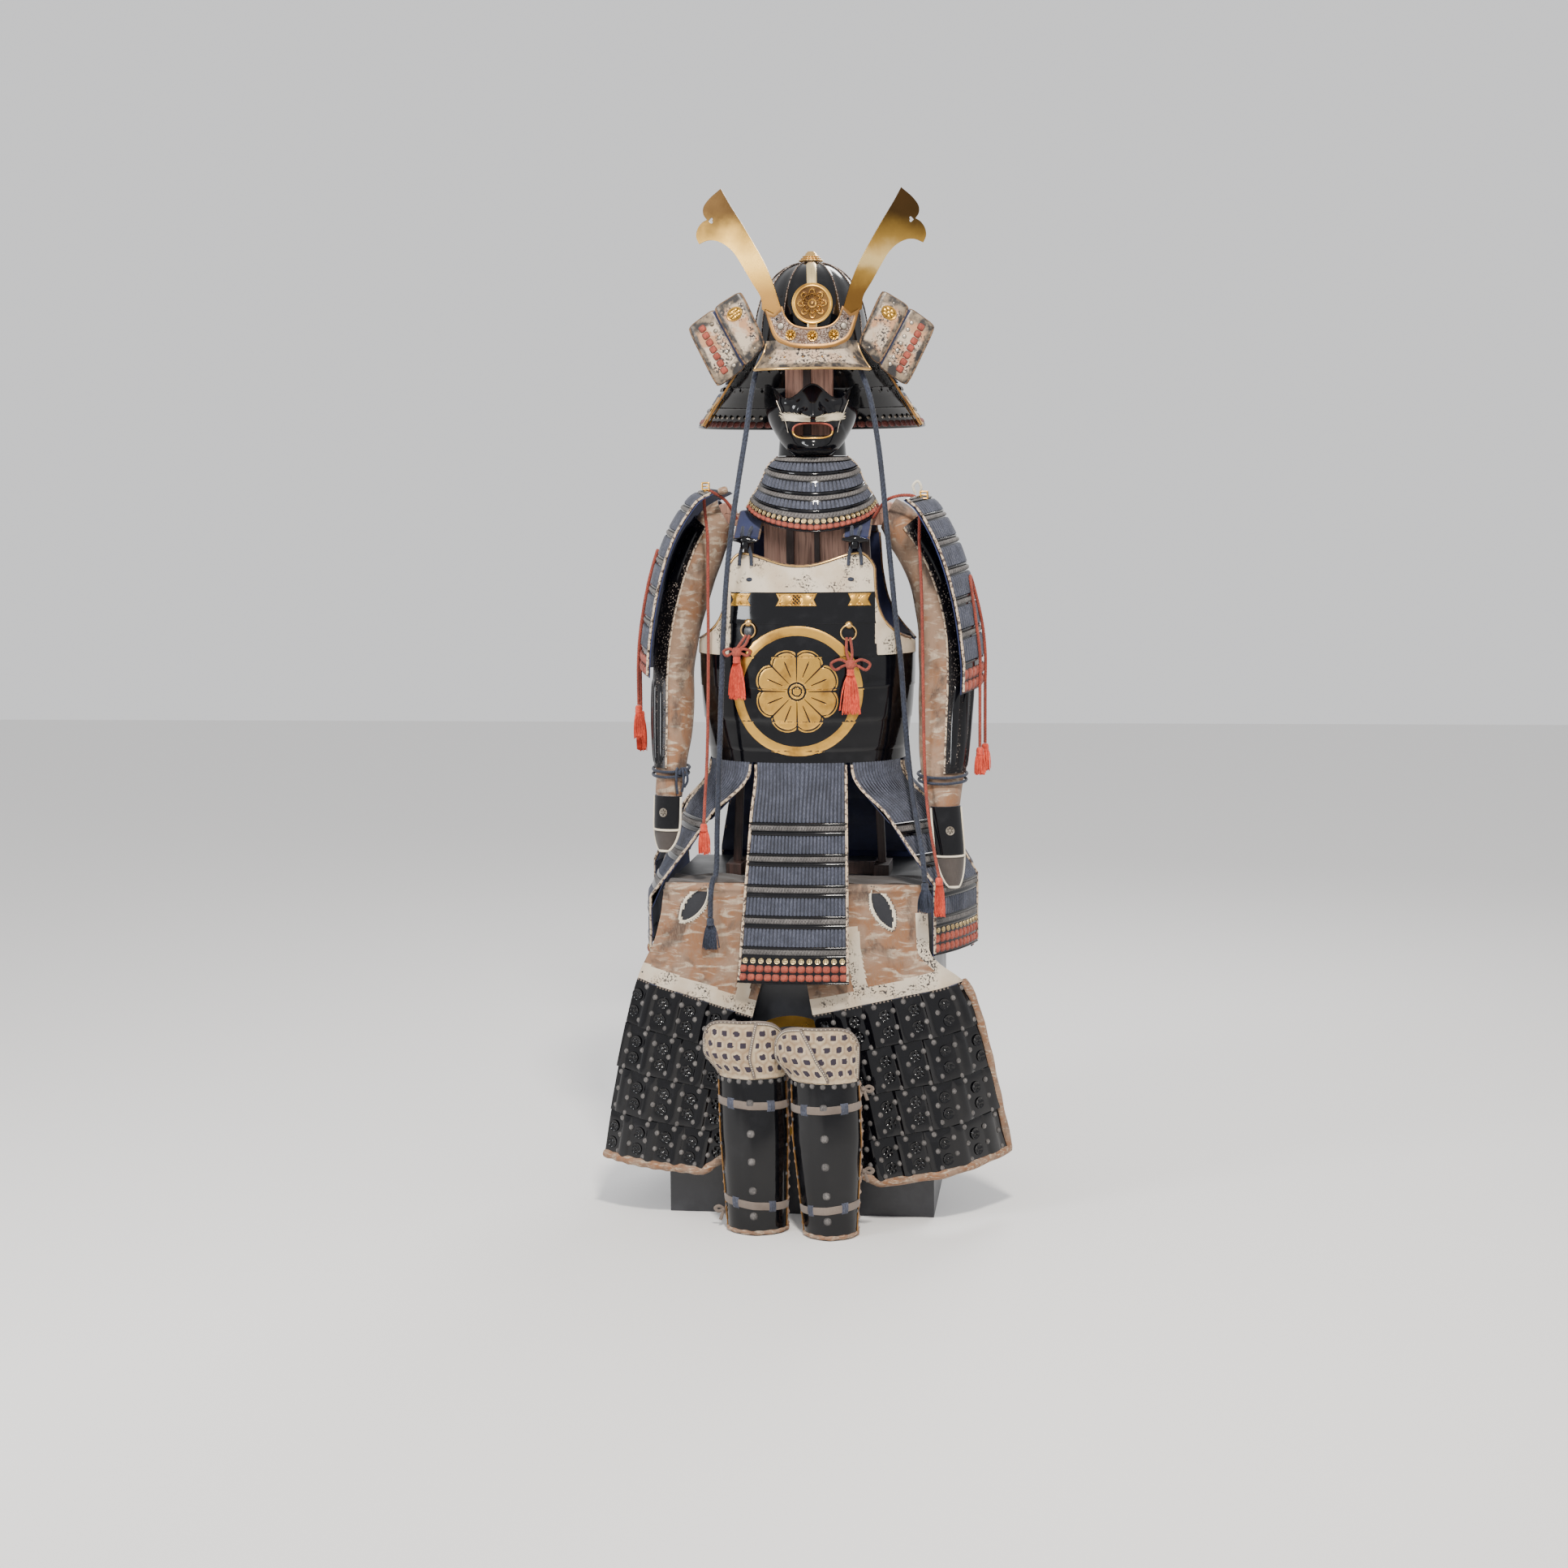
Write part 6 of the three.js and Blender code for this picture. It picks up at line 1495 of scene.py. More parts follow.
def make_shins():
    spread, knee_spread = radians(99), radians(72)
    for name, side in SIDES:
        def plate(u, z, out):
            return shin_point(side, u, z, out)

        heights = np.linspace(0, SHIN_TOP, 40)
        parts = slab(plate, np.linspace(-radians(78), radians(78), 49), heights, 2.4, 0, 1)
        # The lining's edge shows at both sides
        for low, high in ((-spread, -radians(77.5)), (radians(77.5), spread)):
            u, z = grid(np.linspace(low, high, 8), np.linspace(2, SHIN_TOP - 4, 90))
            frill = 1.5 * np.sin(z * 0.3 + 3 * u) + 0.8 * np.sin(z * 0.71)
            parts += wall(plate(u, z, 0.8 + frill), plate(u, z, -2.4), 2)
        for edge in (-1, 1):
            line = plate(np.full(60, edge * radians(78)), np.linspace(0.5, SHIN_TOP - 1, 60), 0.4)
            parts.append(tube(line, 1.3, 6, hint=(1, 0, 0.2), paint=3))
            line = plate(np.full(60, edge * radians(95)), np.linspace(2.2, SHIN_TOP - 2, 60), -1.2)
            parts.append(tube(line, 2.0, 6, hint=(1, 0, 0.2), paint=4))
        foot = plate(np.linspace(-spread, spread, 90), np.full(90, 4.6), -0.5)
        parts.append(tube(foot, 3.8 + 0.5 * np.sin(np.linspace(0, 50, 90)), 8, hint=(0, 0, 1), paint=2))
        places, frames = seats(plate, np.zeros(5), np.array([34, 78, 128, 176, 228]), 0.4)
        parts.append(scatter(dome(7.0, 2.6, 12, 3, 0.8), places, frames, 5))
        rim = np.linspace(-1.3, 1.3, 9)
        places, frames = seats(plate, rim, np.full(9, SHIN_TOP - 3.5), 0.4)
        parts.append(scatter(dome(5.0, 2.4, 10, 3), places, frames, 5))
        down = np.array([44, 100, 150, 200])
        for edge in (-1, 1):
            places, frames = seats(plate, np.full(4, edge * radians(74)), down, 0.4)
            parts.append(scatter(dome(3.4, 1.8, 8, 3), places, frames, 5))
        finishes = [LACQUER, NAVY_CLOTH, BINDING, BRONZE, RIBBON, BRAID]
        build(f"shin_plates_{name}", parts, finishes, [f"shin_guard_{name}"], sharp=45)

        # Two straps, each bound by two knots of blue cord
        parts = []
        for z0, tilt in ((224, 3), (52, 5)):
            def band(u, v, out):
                z = z0 + v + tilt * np.sin(u) * side
                return shin_point(side, u, z, 1.0 + out - 0.8 * (np.abs(v) / 6.5) ** 4)

            u, v = grid(np.linspace(-radians(84), radians(84), 49), np.linspace(-6.5, 6.5, 7))
            parts += wall(band(u, v, 1.2), band(u, v, -0.7), 0)
            for a in (-0.62, 0.62):
                u, v = grid(a + np.linspace(-0.13, 0.13, 19), np.linspace(-9.5, 9.5, 15))
                turns = np.abs(np.sin((u - a + 0.13) / 0.26 * 4 * pi))
                hump = np.sqrt(np.clip(1 - (v / 10) ** 2, 0,
                                       1)) * np.sqrt(np.clip(1 - ((u - a) / 0.14) ** 2, 0, 1)) ** 0.5
                z = z0 + v + tilt * np.sin(u) * side
                parts.append(patch(shin_point(side, u, z, -0.6 + 4.4 * hump * (0.78 + 0.22 * turns)), 1))
        for angle, z in ([(-96, 30)] if side < 0 else [(98, 250), (98, 108)]):
            parts += bow_at(tuple(shin_point(side, radians(angle), z, 5.0)), 17)
        build(f"shin_straps_{name}", parts, [RIBBON, LACING], sharp=60)
        make_knee(name, side, knee_spread)


def knee_lobe(side, spread, low, high, lift, tall):
    """One quilted layer between two lines of u over its height, with a rolled edge and stitches."""
    t, share = grid(np.linspace(0, 1, 71), np.linspace(0, 1, 51))
    u = spread * mix(low(share), high(share), t)
    z = mix(SHIN_TOP + 0.6 + lift, tall - 34 * np.abs(u / spread) ** 4, share)
    offset, edge = hexagons(66 * u + 3 * side, 0.845 * z, 20)
    cell = np.clip(1 - edge * 2, 0, 1)
    rim = np.minimum(np.minimum(1 - share, share) * 95, (0.5 - np.abs(t - 0.5)) * 66 * spread
                     * (high(share) - low(share)))
    plain = ease(rim, 4, 9)
    skew = np.stack([offset[..., 0] + 0.15 * offset[..., 1],
                     offset[..., 1] / 0.845 - 0.15 * offset[..., 0]], -1)
    square = (np.abs(skew) ** 4).sum(-1) ** 0.25 < 0.255
    mark = np.where(square & (plain > 0.5), -1, (1 - cell) ** 4 * plain)
    outer = knee_point(side, u, z, lift - 0.4 + 1.6 * np.sqrt(cell) * plain)
    parts = wall(outer, knee_point(side, u, z, lift - 3.0), 0, 1, mark=mark)
    s = np.linspace(0, 1, 60)
    across = spread * mix(low(1 + 0 * s), high(1 + 0 * s), s)
    lines = [knee_point(side, across, tall - 34 * np.abs(across / spread) ** 4, lift - 0.2)]
    for end in (low, high):
        u = spread * end(s)
        lines.append(knee_point(side, u, mix(SHIN_TOP + 4, tall - 34 * np.abs(u / spread) ** 4, s),
                                lift - 0.2))
    for line in lines:
        line = spaced(line, 50)
        parts.append(tube(line, 3.0, 8, hint=(0.3, 1, 0.2), paint=2, flat=0.7))
        parts.append(scatter(dome(1.0, 1.3, 6, 2), line[3:49:2] - (0, 2.4, 0), facing_front(23), 3))
    return parts


def make_knee(name, side, spread):
    """A quilted cover with a second, narrower layer over its inner part."""
    tall = SHINS[side][8]
    parts = knee_lobe(side, spread, lambda t: -1 + 0 * t, lambda t: 1 + 0 * t, 0.0, tall)
    edge = 1 - 1e-3
    if side < 0:
        parts += knee_lobe(side, spread, lambda t: mix(0.12, 0.28, t ** 1.5), lambda t: edge + 0 * t, 2.6,
                           tall - 2)
    else:
        parts += knee_lobe(side, spread, lambda t: -edge + 0 * t, lambda t: mix(0.12, -0.28, t ** 1.5),
                           2.6, tall - 2)
    made = build(f"knee_quilt_{name}", parts, [QUILT, GREY_CLOTH, RIBBON, CREAM],
                 [f"knee_cover_{name}"], sharp=70)


# Helmet

RIM, HEIGHT = 1530, 145


def bowl_point(angle, t, out=0.0):
    """A superellipse of exponent 2.3 from the rim to the crown."""
    round_ = (1 - np.clip(t, 0, 1) ** 2.3) ** (1 / 2.3)
    return spot((100 * round_ + out) * np.sin(angle), -(116 * round_ + out) * np.cos(angle),
                RIM + HEIGHT * t + out * t)


def make_helmet():
    angle, t = grid(np.linspace(0, TAU, 121), np.linspace(0, 0.993, 32) ** 0.8)
    rib = 1.4 * bell(((angle / TAU * 12 + 0.5) % 1) - 0.5, 0, 0.09)
    parts = wall(bowl_point(angle, t, rib), bowl_point(angle, t, -2.4), 0, 2, ring=True)
    for i in range(12):
        line = bowl_point(np.full(40, i * TAU / 12), np.linspace(0.01, 0.985, 40), 1.5)
        parts.append(tube(line, 1.0, 6, hint=(0, 0, 1) if i % 6 else (1, 0, 0), paint=1))
    # The broad strip up the middle of the front
    u, t = grid(np.linspace(-1, 1, 9), np.linspace(0.02, 0.98, 40))
    parts.append(patch(bowl_point(u * 0.085 / np.maximum(0.35, (1 - t ** 2.3) ** (1 / 2.3)), t,
                                  2.2 - 1.4 * u ** 4), 3))
    build("bowl", on_head(parts), [LACQUER, EMBOSSED, NAVY_CLOTH, PALE_GILT],
          ["helmet_bowl"], sharp=50)

    seat = RIM + HEIGHT * 0.993 + 2.3
    petals = []
    for z, r, tall in ((0, 21, 4.2), (4.2, 17.5, 3.4), (7.8, 14.5, 3.2)):
        angle, t = grid(np.linspace(0, TAU, 97), np.linspace(0, 1, 6))
        lobe = r + 1.1 * np.abs(np.sin(12 * angle)) * np.sin(pi * t)
        profile = np.sqrt(np.clip(1 - (2 * t - 1) ** 2, 0, 1))
        reach = (lobe - 3) + 3 * profile
        petals.append(patch(spot(reach * np.cos(angle), reach * np.sin(angle), seat + z + tall * t)))
    knob = [[0, 0.1], [19, 0.1], [18, 4], [14, 8], [12.5, 11], [10.5, 12], [9.5, 15], [7, 17], [6, 18.6],
            [3.5, 18.9], [0, 18.9]]
    petals.append(lathe(knob, 40, (0, 0, seat)))
    build("crown", on_head(petals), [BRASS], ["helmet_crown"], sharp=50)

    def visor(angle, v, out):
        grow = 34 * v ** 1.7 * np.cos(angle * 0.62)
        base = bowl_point(angle, 0 * angle, 2.1 + grow + out)
        return spot(base[..., 0], base[..., 1], RIM + 5 - 51 * v + out * 0.5 * v)

    wide = radians(50)
    u, v = grid(np.linspace(-wide, wide, 57), np.linspace(0, 1, 21))
    uv = np.stack([mix(0.0, 1.0, (u + wide) / (2 * wide)), 0.25 + 0.75 * v], -1)
    parts = wall(visor(u, v, 2.4), visor(u, v, 0), 0, 2, uv=uv)
    edge = np.concatenate([visor(np.full(16, -wide), np.linspace(0.1, 1, 16), 1.2),
                           visor(np.linspace(-wide, wide, 60), np.ones(60), 1.2),
                           visor(np.full(16, wide), np.linspace(1, 0.1, 16), 1.2)])
    parts.append(tube(spaced(edge, 110), 2.3, 8, hint=(0.1, 0.4, 1), paint=1))
    places, frames = seats(visor, np.radians([-38, -24, -8, 8, 24, 38]), np.full(6, 0.62), 2.5)
    parts.append(scatter(dome(2.4, 1.8, 8, 3), places, frames, 3))
    build("visor", on_head(parts), [VISOR_LEATHER, BRASS, BLOCK_RED, BRONZE],
          ["helmet_visor"])
    make_front_crest()
    make_wings()
    make_neck_guard()


HORN_OUTLINE = [(17, 0), (3, 44), (-11, 78), (-30, 113), (-52, 151), (-74, 187), (-86, 209), (-107, 192),
                (-117, 178),
                (-117, 166), (-111, 157), (-120, 152), (-128, 141), (-130, 128), (-125, 116), (-112, 121),
                (-98, 121),
                (-80, 113), (-64, 98), (-49, 74), (-33, 46), (-18, 20), (-16, 0)]
HOLDER_EDGES = [  # place along, outer x and z, inner x and z
    (0, 0, 1519, 0, 1555), (0.25, 24, 1520, 17, 1556), (0.5, 46, 1525, 33, 1561),
    (0.75, 67, 1540, 45, 1573),
    (1, 83, 1588, 52, 1592)]
HOLDER_Y = -128.8


def holder_y(x):
    return HOLDER_Y + 0.003 * x * x


def holder_point(t, v, out=0.0):
    """A crescent from its outer edge to its inner one, notched where each arm ends."""
    t = np.asarray(t, float)
    x, z, inner_x, inner_z = (column(HOLDER_EDGES, np.abs(t), k) for k in (1, 2, 3, 4))
    x = np.sign(t) * mix(x, inner_x, v)
    notch = 11 * (1 - np.abs(2 * v - 1)) * ease(np.abs(t), 0.84, 1)
    return spot(x, holder_y(x) - out, mix(z, inner_z, v) - notch)


def disc_face(middle, radius):
    """A gilt rim and a flower of eight petals drawn in gilt lines on a dark ground."""
    share = np.concatenate([np.linspace(1, 0.8, 9), np.linspace(0.79, 0, 36)])
    angle, share = grid(np.linspace(0, TAU, 161), share)
    edge = 0.3 + 0.4 * np.abs(np.cos(4 * angle)) ** 0.6
    lines = bell(share, edge, 0.032) + bell(share, 0.2, 0.03) + bell(share, 0.7 * edge,
                                                                     0.02) + bell(share, 0, 0.07)
    lines = lines + bell(np.abs(np.sin(4 * angle)) * share, 0, 0.016) * (share > 0.2) * (share < edge)
    rim = ease(share, 0.8, 0.83) * (1 - 0.4 * bell(share, 0.9, 0.02))
    gilt = np.clip(lines, 0, 1) * (share < 0.79) + rim
    rise = 1.8 + 1.5 * np.clip(gilt, 0, 1) - 1.3 * ease(share, 0.95, 1.0)
    face = spot(radius * share * np.cos(angle), middle[1] - rise,
                middle[2] + radius * share * np.sin(angle))
    hub = np.broadcast_to(np.array(middle, float), (1, 161, 3))
    back = spot(radius * np.cos(angle[:1]), middle[1] + 0 * angle[:1],
                middle[2] + radius * np.sin(angle[:1]))
    points = np.concatenate([hub, back, face])
    return patch(points, np.pad(gilt > 0.45, ((2, 0), (0, 0)))[:-1, :-1].astype(int))


def make_front_crest():
    t, v = grid(np.linspace(-1, 1, 121), np.linspace(0, 1, 25))
    border = np.maximum(1 - ease(v, 0.14, 0.2), ease(v, 0.88, 0.93))
    border = np.maximum(border, ease(np.abs(t), 0.93, 0.96))
    rise = 0.3 + 1.3 * border - 1.2 * bell(v, 0, 0.03) - 1.2 * bell(v, 1, 0.03)
    parts = wall(holder_point(t, v, rise), holder_point(t, v, -2.4), 1, 2)
    parts[0] = patch(holder_point(t, v, rise), (border > 0.5)[:-1, :-1].astype(int))
    parts += board((-6, HOLDER_Y + 1.9, 1550), (6, HOLDER_Y + 4.9, 1620), 1)

    def seated(xs, zs, shape, paint):
        xs = np.array(xs, float)
        slope = 0.006 * xs
        frames = np.stack([unit(spot(1, slope, 0)), spot(0 * xs, 0, 1), unit(spot(slope, -1, 0))], 1)
        return scatter(shape, spot(xs, holder_y(xs) - 0.8, np.array(zs, float)), frames, paint)

    parts.append(seated([-37.5, 0, 37], [1543, 1541, 1543], rosette(9.4, 3.0, 8, 40), 3))
    parts.append(seated([-37.5, 0, 37], [1543, 1541, 1543], dome(3.6, 4.6, 16, 4), 3))
    parts.append(seated([-54.6, 54.6], [1558, 1558], dome(6.6, 3.6, 16, 4), 4))
    parts.append(seated([-61.5, 61.5], [1570, 1570], dome(2.6, 0.9, 10, 2), 2))
    parts.append(seated([-60, 60], [1560, 1560], dome(1.6, 0.9, 8, 2), 2))
    finishes = [EMBOSSED, BRONZE, LACQUER, GOLD, GREY_STUD]
    build("crest_holder", on_head(parts), finishes, ["horn_holder"])
    disc = gold("disc_dark", (0.16, 0.085, 0.03), (0.05, 0.025, 0.012), rough=0.34)
    parts = [disc_face((0, HOLDER_Y + 1.7, 1596), 35)]
    build("crest_disc", on_head(parts), [disc, GOLD], ["front_disc"], sharp=35)
    for name, side in SIDES:
        make_horn(name, side)


def make_horn(name, side):
    """A flat blade with sharp corners and a pierced heart, 2.2 mm thick, turned back 22 degrees."""
    turn = side * radians(22)
    foot = np.array([side * 70, holder_y(-70) + 2.5 + 0.3 + 2.2 + 1.05, 1588])
    outline = np.c_[HORN_OUTLINE, np.zeros(len(HORN_OUTLINE))]
    corners = [0, 6, 10, 14, len(outline) - 1]
    runs = [through(outline[a:b + 1], 6 * (b - a))[:-1] for a, b in zip(corners, corners[1:])]
    ring = np.concatenate(runs + [outline[-1:], [[0, -13, 0]]])
    a = np.linspace(0, TAU, 33)[:-1]
    lobes = 13 * np.cos(a) - 5 * np.cos(2 * a) - 2 * np.cos(3 * a) - np.cos(4 * a)
    heart = np.stack([-104 + 0.3 * lobes, 155 + 0.3 * 16 * np.sin(a) ** 3], 1)
    mesh = bpy.data.meshes.new(name)
    work = bmesh.new()
    for loop in (ring[:, :2], heart):
        verts = [work.verts.new((-side * x / cos(turn), 0, z)) for x, z in loop]
        for first, second in zip(verts, verts[1:] + verts[:1]):
            work.edges.new((first, second))
    bmesh.ops.triangle_fill(work, edges=work.edges[:], use_beauty=True)
    made = bmesh.ops.extrude_face_region(work, geom=work.faces[:])
    for vert in [g for g in made["geom"] if isinstance(g, bmesh.types.BMVert)]:
        vert.co.y -= 2.2
    bmesh.ops.recalc_face_normals(work, faces=work.faces)
    work.to_mesh(mesh)
    work.free()
    points = np.empty(3 * len(mesh.vertices))
    mesh.vertices.foreach_get("co", points)
    x, y, z = points.reshape(-1, 3).T
    spun = spot(x * cos(turn) - y * sin(turn), x * sin(turn) + y * cos(turn), z)
    mesh.vertices.foreach_set("co", (turn_head(spun + foot) * MM).ravel())
    mesh.materials.append(HORN)
    blade = bpy.data.objects.new(f"horn_blade_{name}", mesh)
    bpy.context.collection.objects.link(blade)
    bevel = blade.modifiers.new("edges", "BEVEL")
    bevel.width = 0.5 * MM
    bevel.segments = 2
    bevel.limit_method = "ANGLE"
    bevel.angle_limit = radians(60)
    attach(blade, "root")
    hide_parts(f"horn_{name}")


WINGS = [(-74.7, [(83, 1530), (116, 1494), (170, 1594), (125, 1621)]),
         (-65.7, [(117, 1492), (165, 1458), (216, 1561), (172, 1592)])]


def wing_point(side, row, u, v, back=0.0):
    """Between four corners, rounded at them, sloped back outwards and a little hollow from foot to tip."""
    y, (a, b, c, d) = row
    across, along = 2 * np.asarray(u, float) - 1, 2 * np.asarray(v, float) - 1
    u = 0.5 + 0.5 * across * (1 - 0.07 * along ** 6)
    v = 0.5 + 0.5 * along * (1 - 0.04 * across ** 6)
    x = mix(mix(a[0], b[0], u), mix(d[0], c[0], u), v)
    z = mix(mix(a[1], b[1], u), mix(d[1], c[1], u), v)
    return spot(side * x, y + 0.12 * (x - 80) + 12 * (v - 0.4) ** 2 + back, z)


def make_wings():
    for name, side in SIDES:
        parts = []
        for row in WINGS:
            u, v = grid(np.linspace(-0.03, 1.03, 25), np.linspace(0, 1, 33))
            curl = 3.2 * (np.clip(np.abs(2 * u - 1) - 0.72, 0, 1) / 0.34) ** 2
            front = wing_point(side, row, u, v, -1.2 + curl)
            parts += wall(front, wing_point(side, row, u, v, 3.6), 0, 3)
            ring_u = np.concatenate([np.linspace(-0.03, 1.03, 20), np.full(24, 1.03),
                                     np.linspace(1.03, -0.03, 20), np.full(24, -0.03)])
            ring_v = np.concatenate([np.zeros(20), np.linspace(0, 1, 24), np.ones(20),
                                     np.linspace(1, 0, 24)])
            parts.append(tube(wing_point(side, row, ring_u, ring_v, 2.2), 1.8, 6, hint=(0, 1, 0), paint=1,
                              ends=False))
        step_u, step_v = grid([0, 1], np.linspace(0.02, 0.98, 20))
        inner = wing_point(side, WINGS[0], mix(0.85, 1.02, step_u), step_v, 2.5)
        outer = wing_point(side, WINGS[1], mix(-0.02, 0.12, step_u), step_v, 3.0)
        parts += wall(inner, outer, 3)

        def outer_sheet(u, v, out):
            return wing_point(side, WINGS[1], np.asarray(u), np.asarray(v), -1.2 - out)

        def inner_sheet(u, v, out):
            return wing_point(side, WINGS[0], np.asarray(u), np.asarray(v), -1.2 - out)

        v = np.linspace(0.15, 0.86, 7)
        places, frames = seats(outer_sheet, np.full(7, 0.62), v, 0.1)
        parts.append(scatter(dome(6.6, 3.8, 16, 4, 0.55), places, frames, 2))
        places, frames = seats(outer_sheet, np.full(7, 0.28), v - 0.03, 0.1)
        parts.append(scatter(dome(4.2, 2.4, 12, 3), places, frames, 4))
        places, frames = seats(inner_sheet, [0.5], [0.74], 0.1)
        angle, share = grid(np.linspace(0, TAU, 49), np.linspace(1, 0, 16))
        petals = 1.3 * bell(share, 0.5, 0.2) * np.abs(np.cos(3 * angle))
        rise = 1.2 * bell(share, 0.92, 0.07) + petals + 1.4 * bell(share, 0, 0.16)
        oval = patch(spot(15 * share * np.cos(angle), 11.5 * share * np.sin(angle), rise + 0.2),
                     mark=1 - np.clip(rise, 0, 1))
        parts.append(scatter(oval, places, frames, 5))
        places, frames = seats(inner_sheet, [0.5, 0.5, 0.4], [0.32, 0.92, 0.08], 0.1)
        parts.append(scatter(dome(2.2, 1.4, 8, 3), places, frames, 4))
        finishes = [WING_LEATHER, EDGE_BROWN, BLOCK_RED, NAVY_CLOTH, GREY_STUD, GOLD]
        build(f"brow_wing_{name}", on_head(parts), finishes, [f"wing_{name}"])


def neck_point(angle, v, out=0.0):
    """A cone round the back from below the bowl's rim, angle 0 at the middle of the back."""
    return spot((mix(105.3, 200, v) + out) * np.sin(angle), (mix(121.3, 206, v) + out) * np.cos(angle),
                mix(1534, 1388, v) + out * 0.6)


def make_neck_guard():
    wide = radians(108)
    v = np.concatenate([[i / 4 + 0.003, i / 4 + 0.02, i / 4 + 0.12, i / 4 + 0.24] for i in range(4)])
    step = np.tile([2.4, 3.0, 1.6, 0.2], 4)
    step[:4] = [0, 0.2, 0.2, 0.2]
    u, vv = grid(np.linspace(-wide, wide, 73), v)
    parts = wall(neck_point(u, vv, step[:, None] - 0.2), neck_point(u, vv, step[:, None] - 2.3), 0, 4)

    def sheet(u, v, out):
        return neck_point(np.asarray(u) * wide, v, out)

    def inside(u, v, out):
        return neck_point(np.asarray(u) * wide, v, -2.3 - out)

    for i in range(4):
        high = i / 4
        if i:
            parts.append(braid_patch(sheet, 60, high + 0.03, high + 0.09, 2.2, 2.0))
            parts.append(lacing_patch(sheet, 56, high + 0.1, high + 0.24, 1.8, 0.8, rows=4, loop=-0.02))
    count = 40
    s = np.linspace(-0.97, 0.97, count)
    for face, lift in ((sheet, 1.6), (inside, 0.0)):
        places, frames = seats(face, s, np.full(count, 0.86), lift)
        parts.append(scatter(dome(3.6, 2.2, 10, 3), places, frames, 3))
        parts.append(block_patch(face, count, 0.905, 0.985, 3.0, lift - 0.4, paint=5))
    for v0 in (0.3, 0.55):
        places, frames = seats(inside, np.linspace(-0.94, 0.94, 22), np.full(22, v0), 0.0)
        parts.append(scatter(dome(3.4, 1.0, 4, 2), places, frames, 2))
    rim = sheet(np.linspace(-1, 1, 120), np.full(120, 1.0), 0.4)
    parts.append(tube(rim, 2.2, 8, hint=(0, 0, 1), paint=0))
    for side in (-1, 1):
        line = sheet(np.full(30, float(side)), np.linspace(0, 1, 30), 0.4)
        parts.append(tube(line, 2.0, 6, hint=(1, 0, 0), paint=6))
        corner_u, corner_v = grid(np.linspace(0.955, 1.0, 9), np.linspace(0.66, 1.0, 15))
        scroll = 0.9 * np.abs(np.sin(22 * corner_v) * np.sin(120 * corner_u))
        for face in (sheet, inside):
            parts.append(patch(face(side * corner_u, corner_v, 2.4 + scroll), 7))
    finishes = [LACQUER, LACING, BRAID, GREY_STUD, LACQUER, BLOCK_DARK, BRONZE, GOLD]
    build("neck_lames", on_head(parts), finishes, ["neck_guard"], sharp=45)


# Mask and throat guard

MASK = [(1470, 82, 92), (1440, 85, 99), (1421, 84, 103), (1393, 75, 105), (1366, 60, 103), (1346, 46, 95),
        (1336, 36, 80)]


def mask_point(angle, v, out=0.0):
    """Half ellipses from a table, with a nose, nostrils, cheeks and chin as bells."""
    rough = np.abs(85 * np.sin(angle))
    top = 1459 - 25 * np.sin(np.clip(rough / 43, 0, 1) * pi / 2) ** 2 + 26 * ease(rough, 46, 82)
    z = mix(top, 1336, v)
    half, front = column(MASK, z, 1) + out, column(MASK, z, 2) + out
    x = half * np.sin(angle)
    back = mix(-51, -22, ease(z, 1336, 1400))
    nose = bell(x, 0, 15) * ease(z, 1396, 1403) * mix(27, 7, np.clip((z - 1403) / 56, 0, 1))
    nostrils = 9 * bell(np.abs(x), 17, 8) * bell(z, 1409, 9)
    cheeks = 8 * bell(np.abs(x), 50, 18) * bell(z, 1428, 14)
    chin = 10 * bell(x, 0, 20) * bell(z, 1350, 9)
    fold = 2.4 * bell(np.abs(x) - (30 + 0.55 * (1420 - z)), 0,
                      4.5) * ease(z, 1352, 1372) * (1 - ease(z, 1424, 1436))
    return spot(x, back - (front + back) * np.cos(angle) - nose - nostrils - cheeks - chin - fold, z)


THROAT = [(0, 1335.4, 1335.4, 60, 62), (1, 1303, 1318, 79, 84), (2, 1268, 1289, 92, 99),
          (3, 1238, 1268, 106, 113), (4, 1203, 1246, 118, 126)]


def throat_point(angle, i, out=0.0):
    """Four lames, each a wider half ring, lower in the middle than at the sides."""
    half, depth = column(THROAT, i, 3) + out, column(THROAT, i, 4) + out
    dip = np.abs(angle / radians(82)) ** 1.7
    z = mix(column(THROAT, i, 1), column(THROAT, i, 2), dip)
    return spot(half * np.sin(angle), -16 - (depth - 2) * np.cos(angle), z)


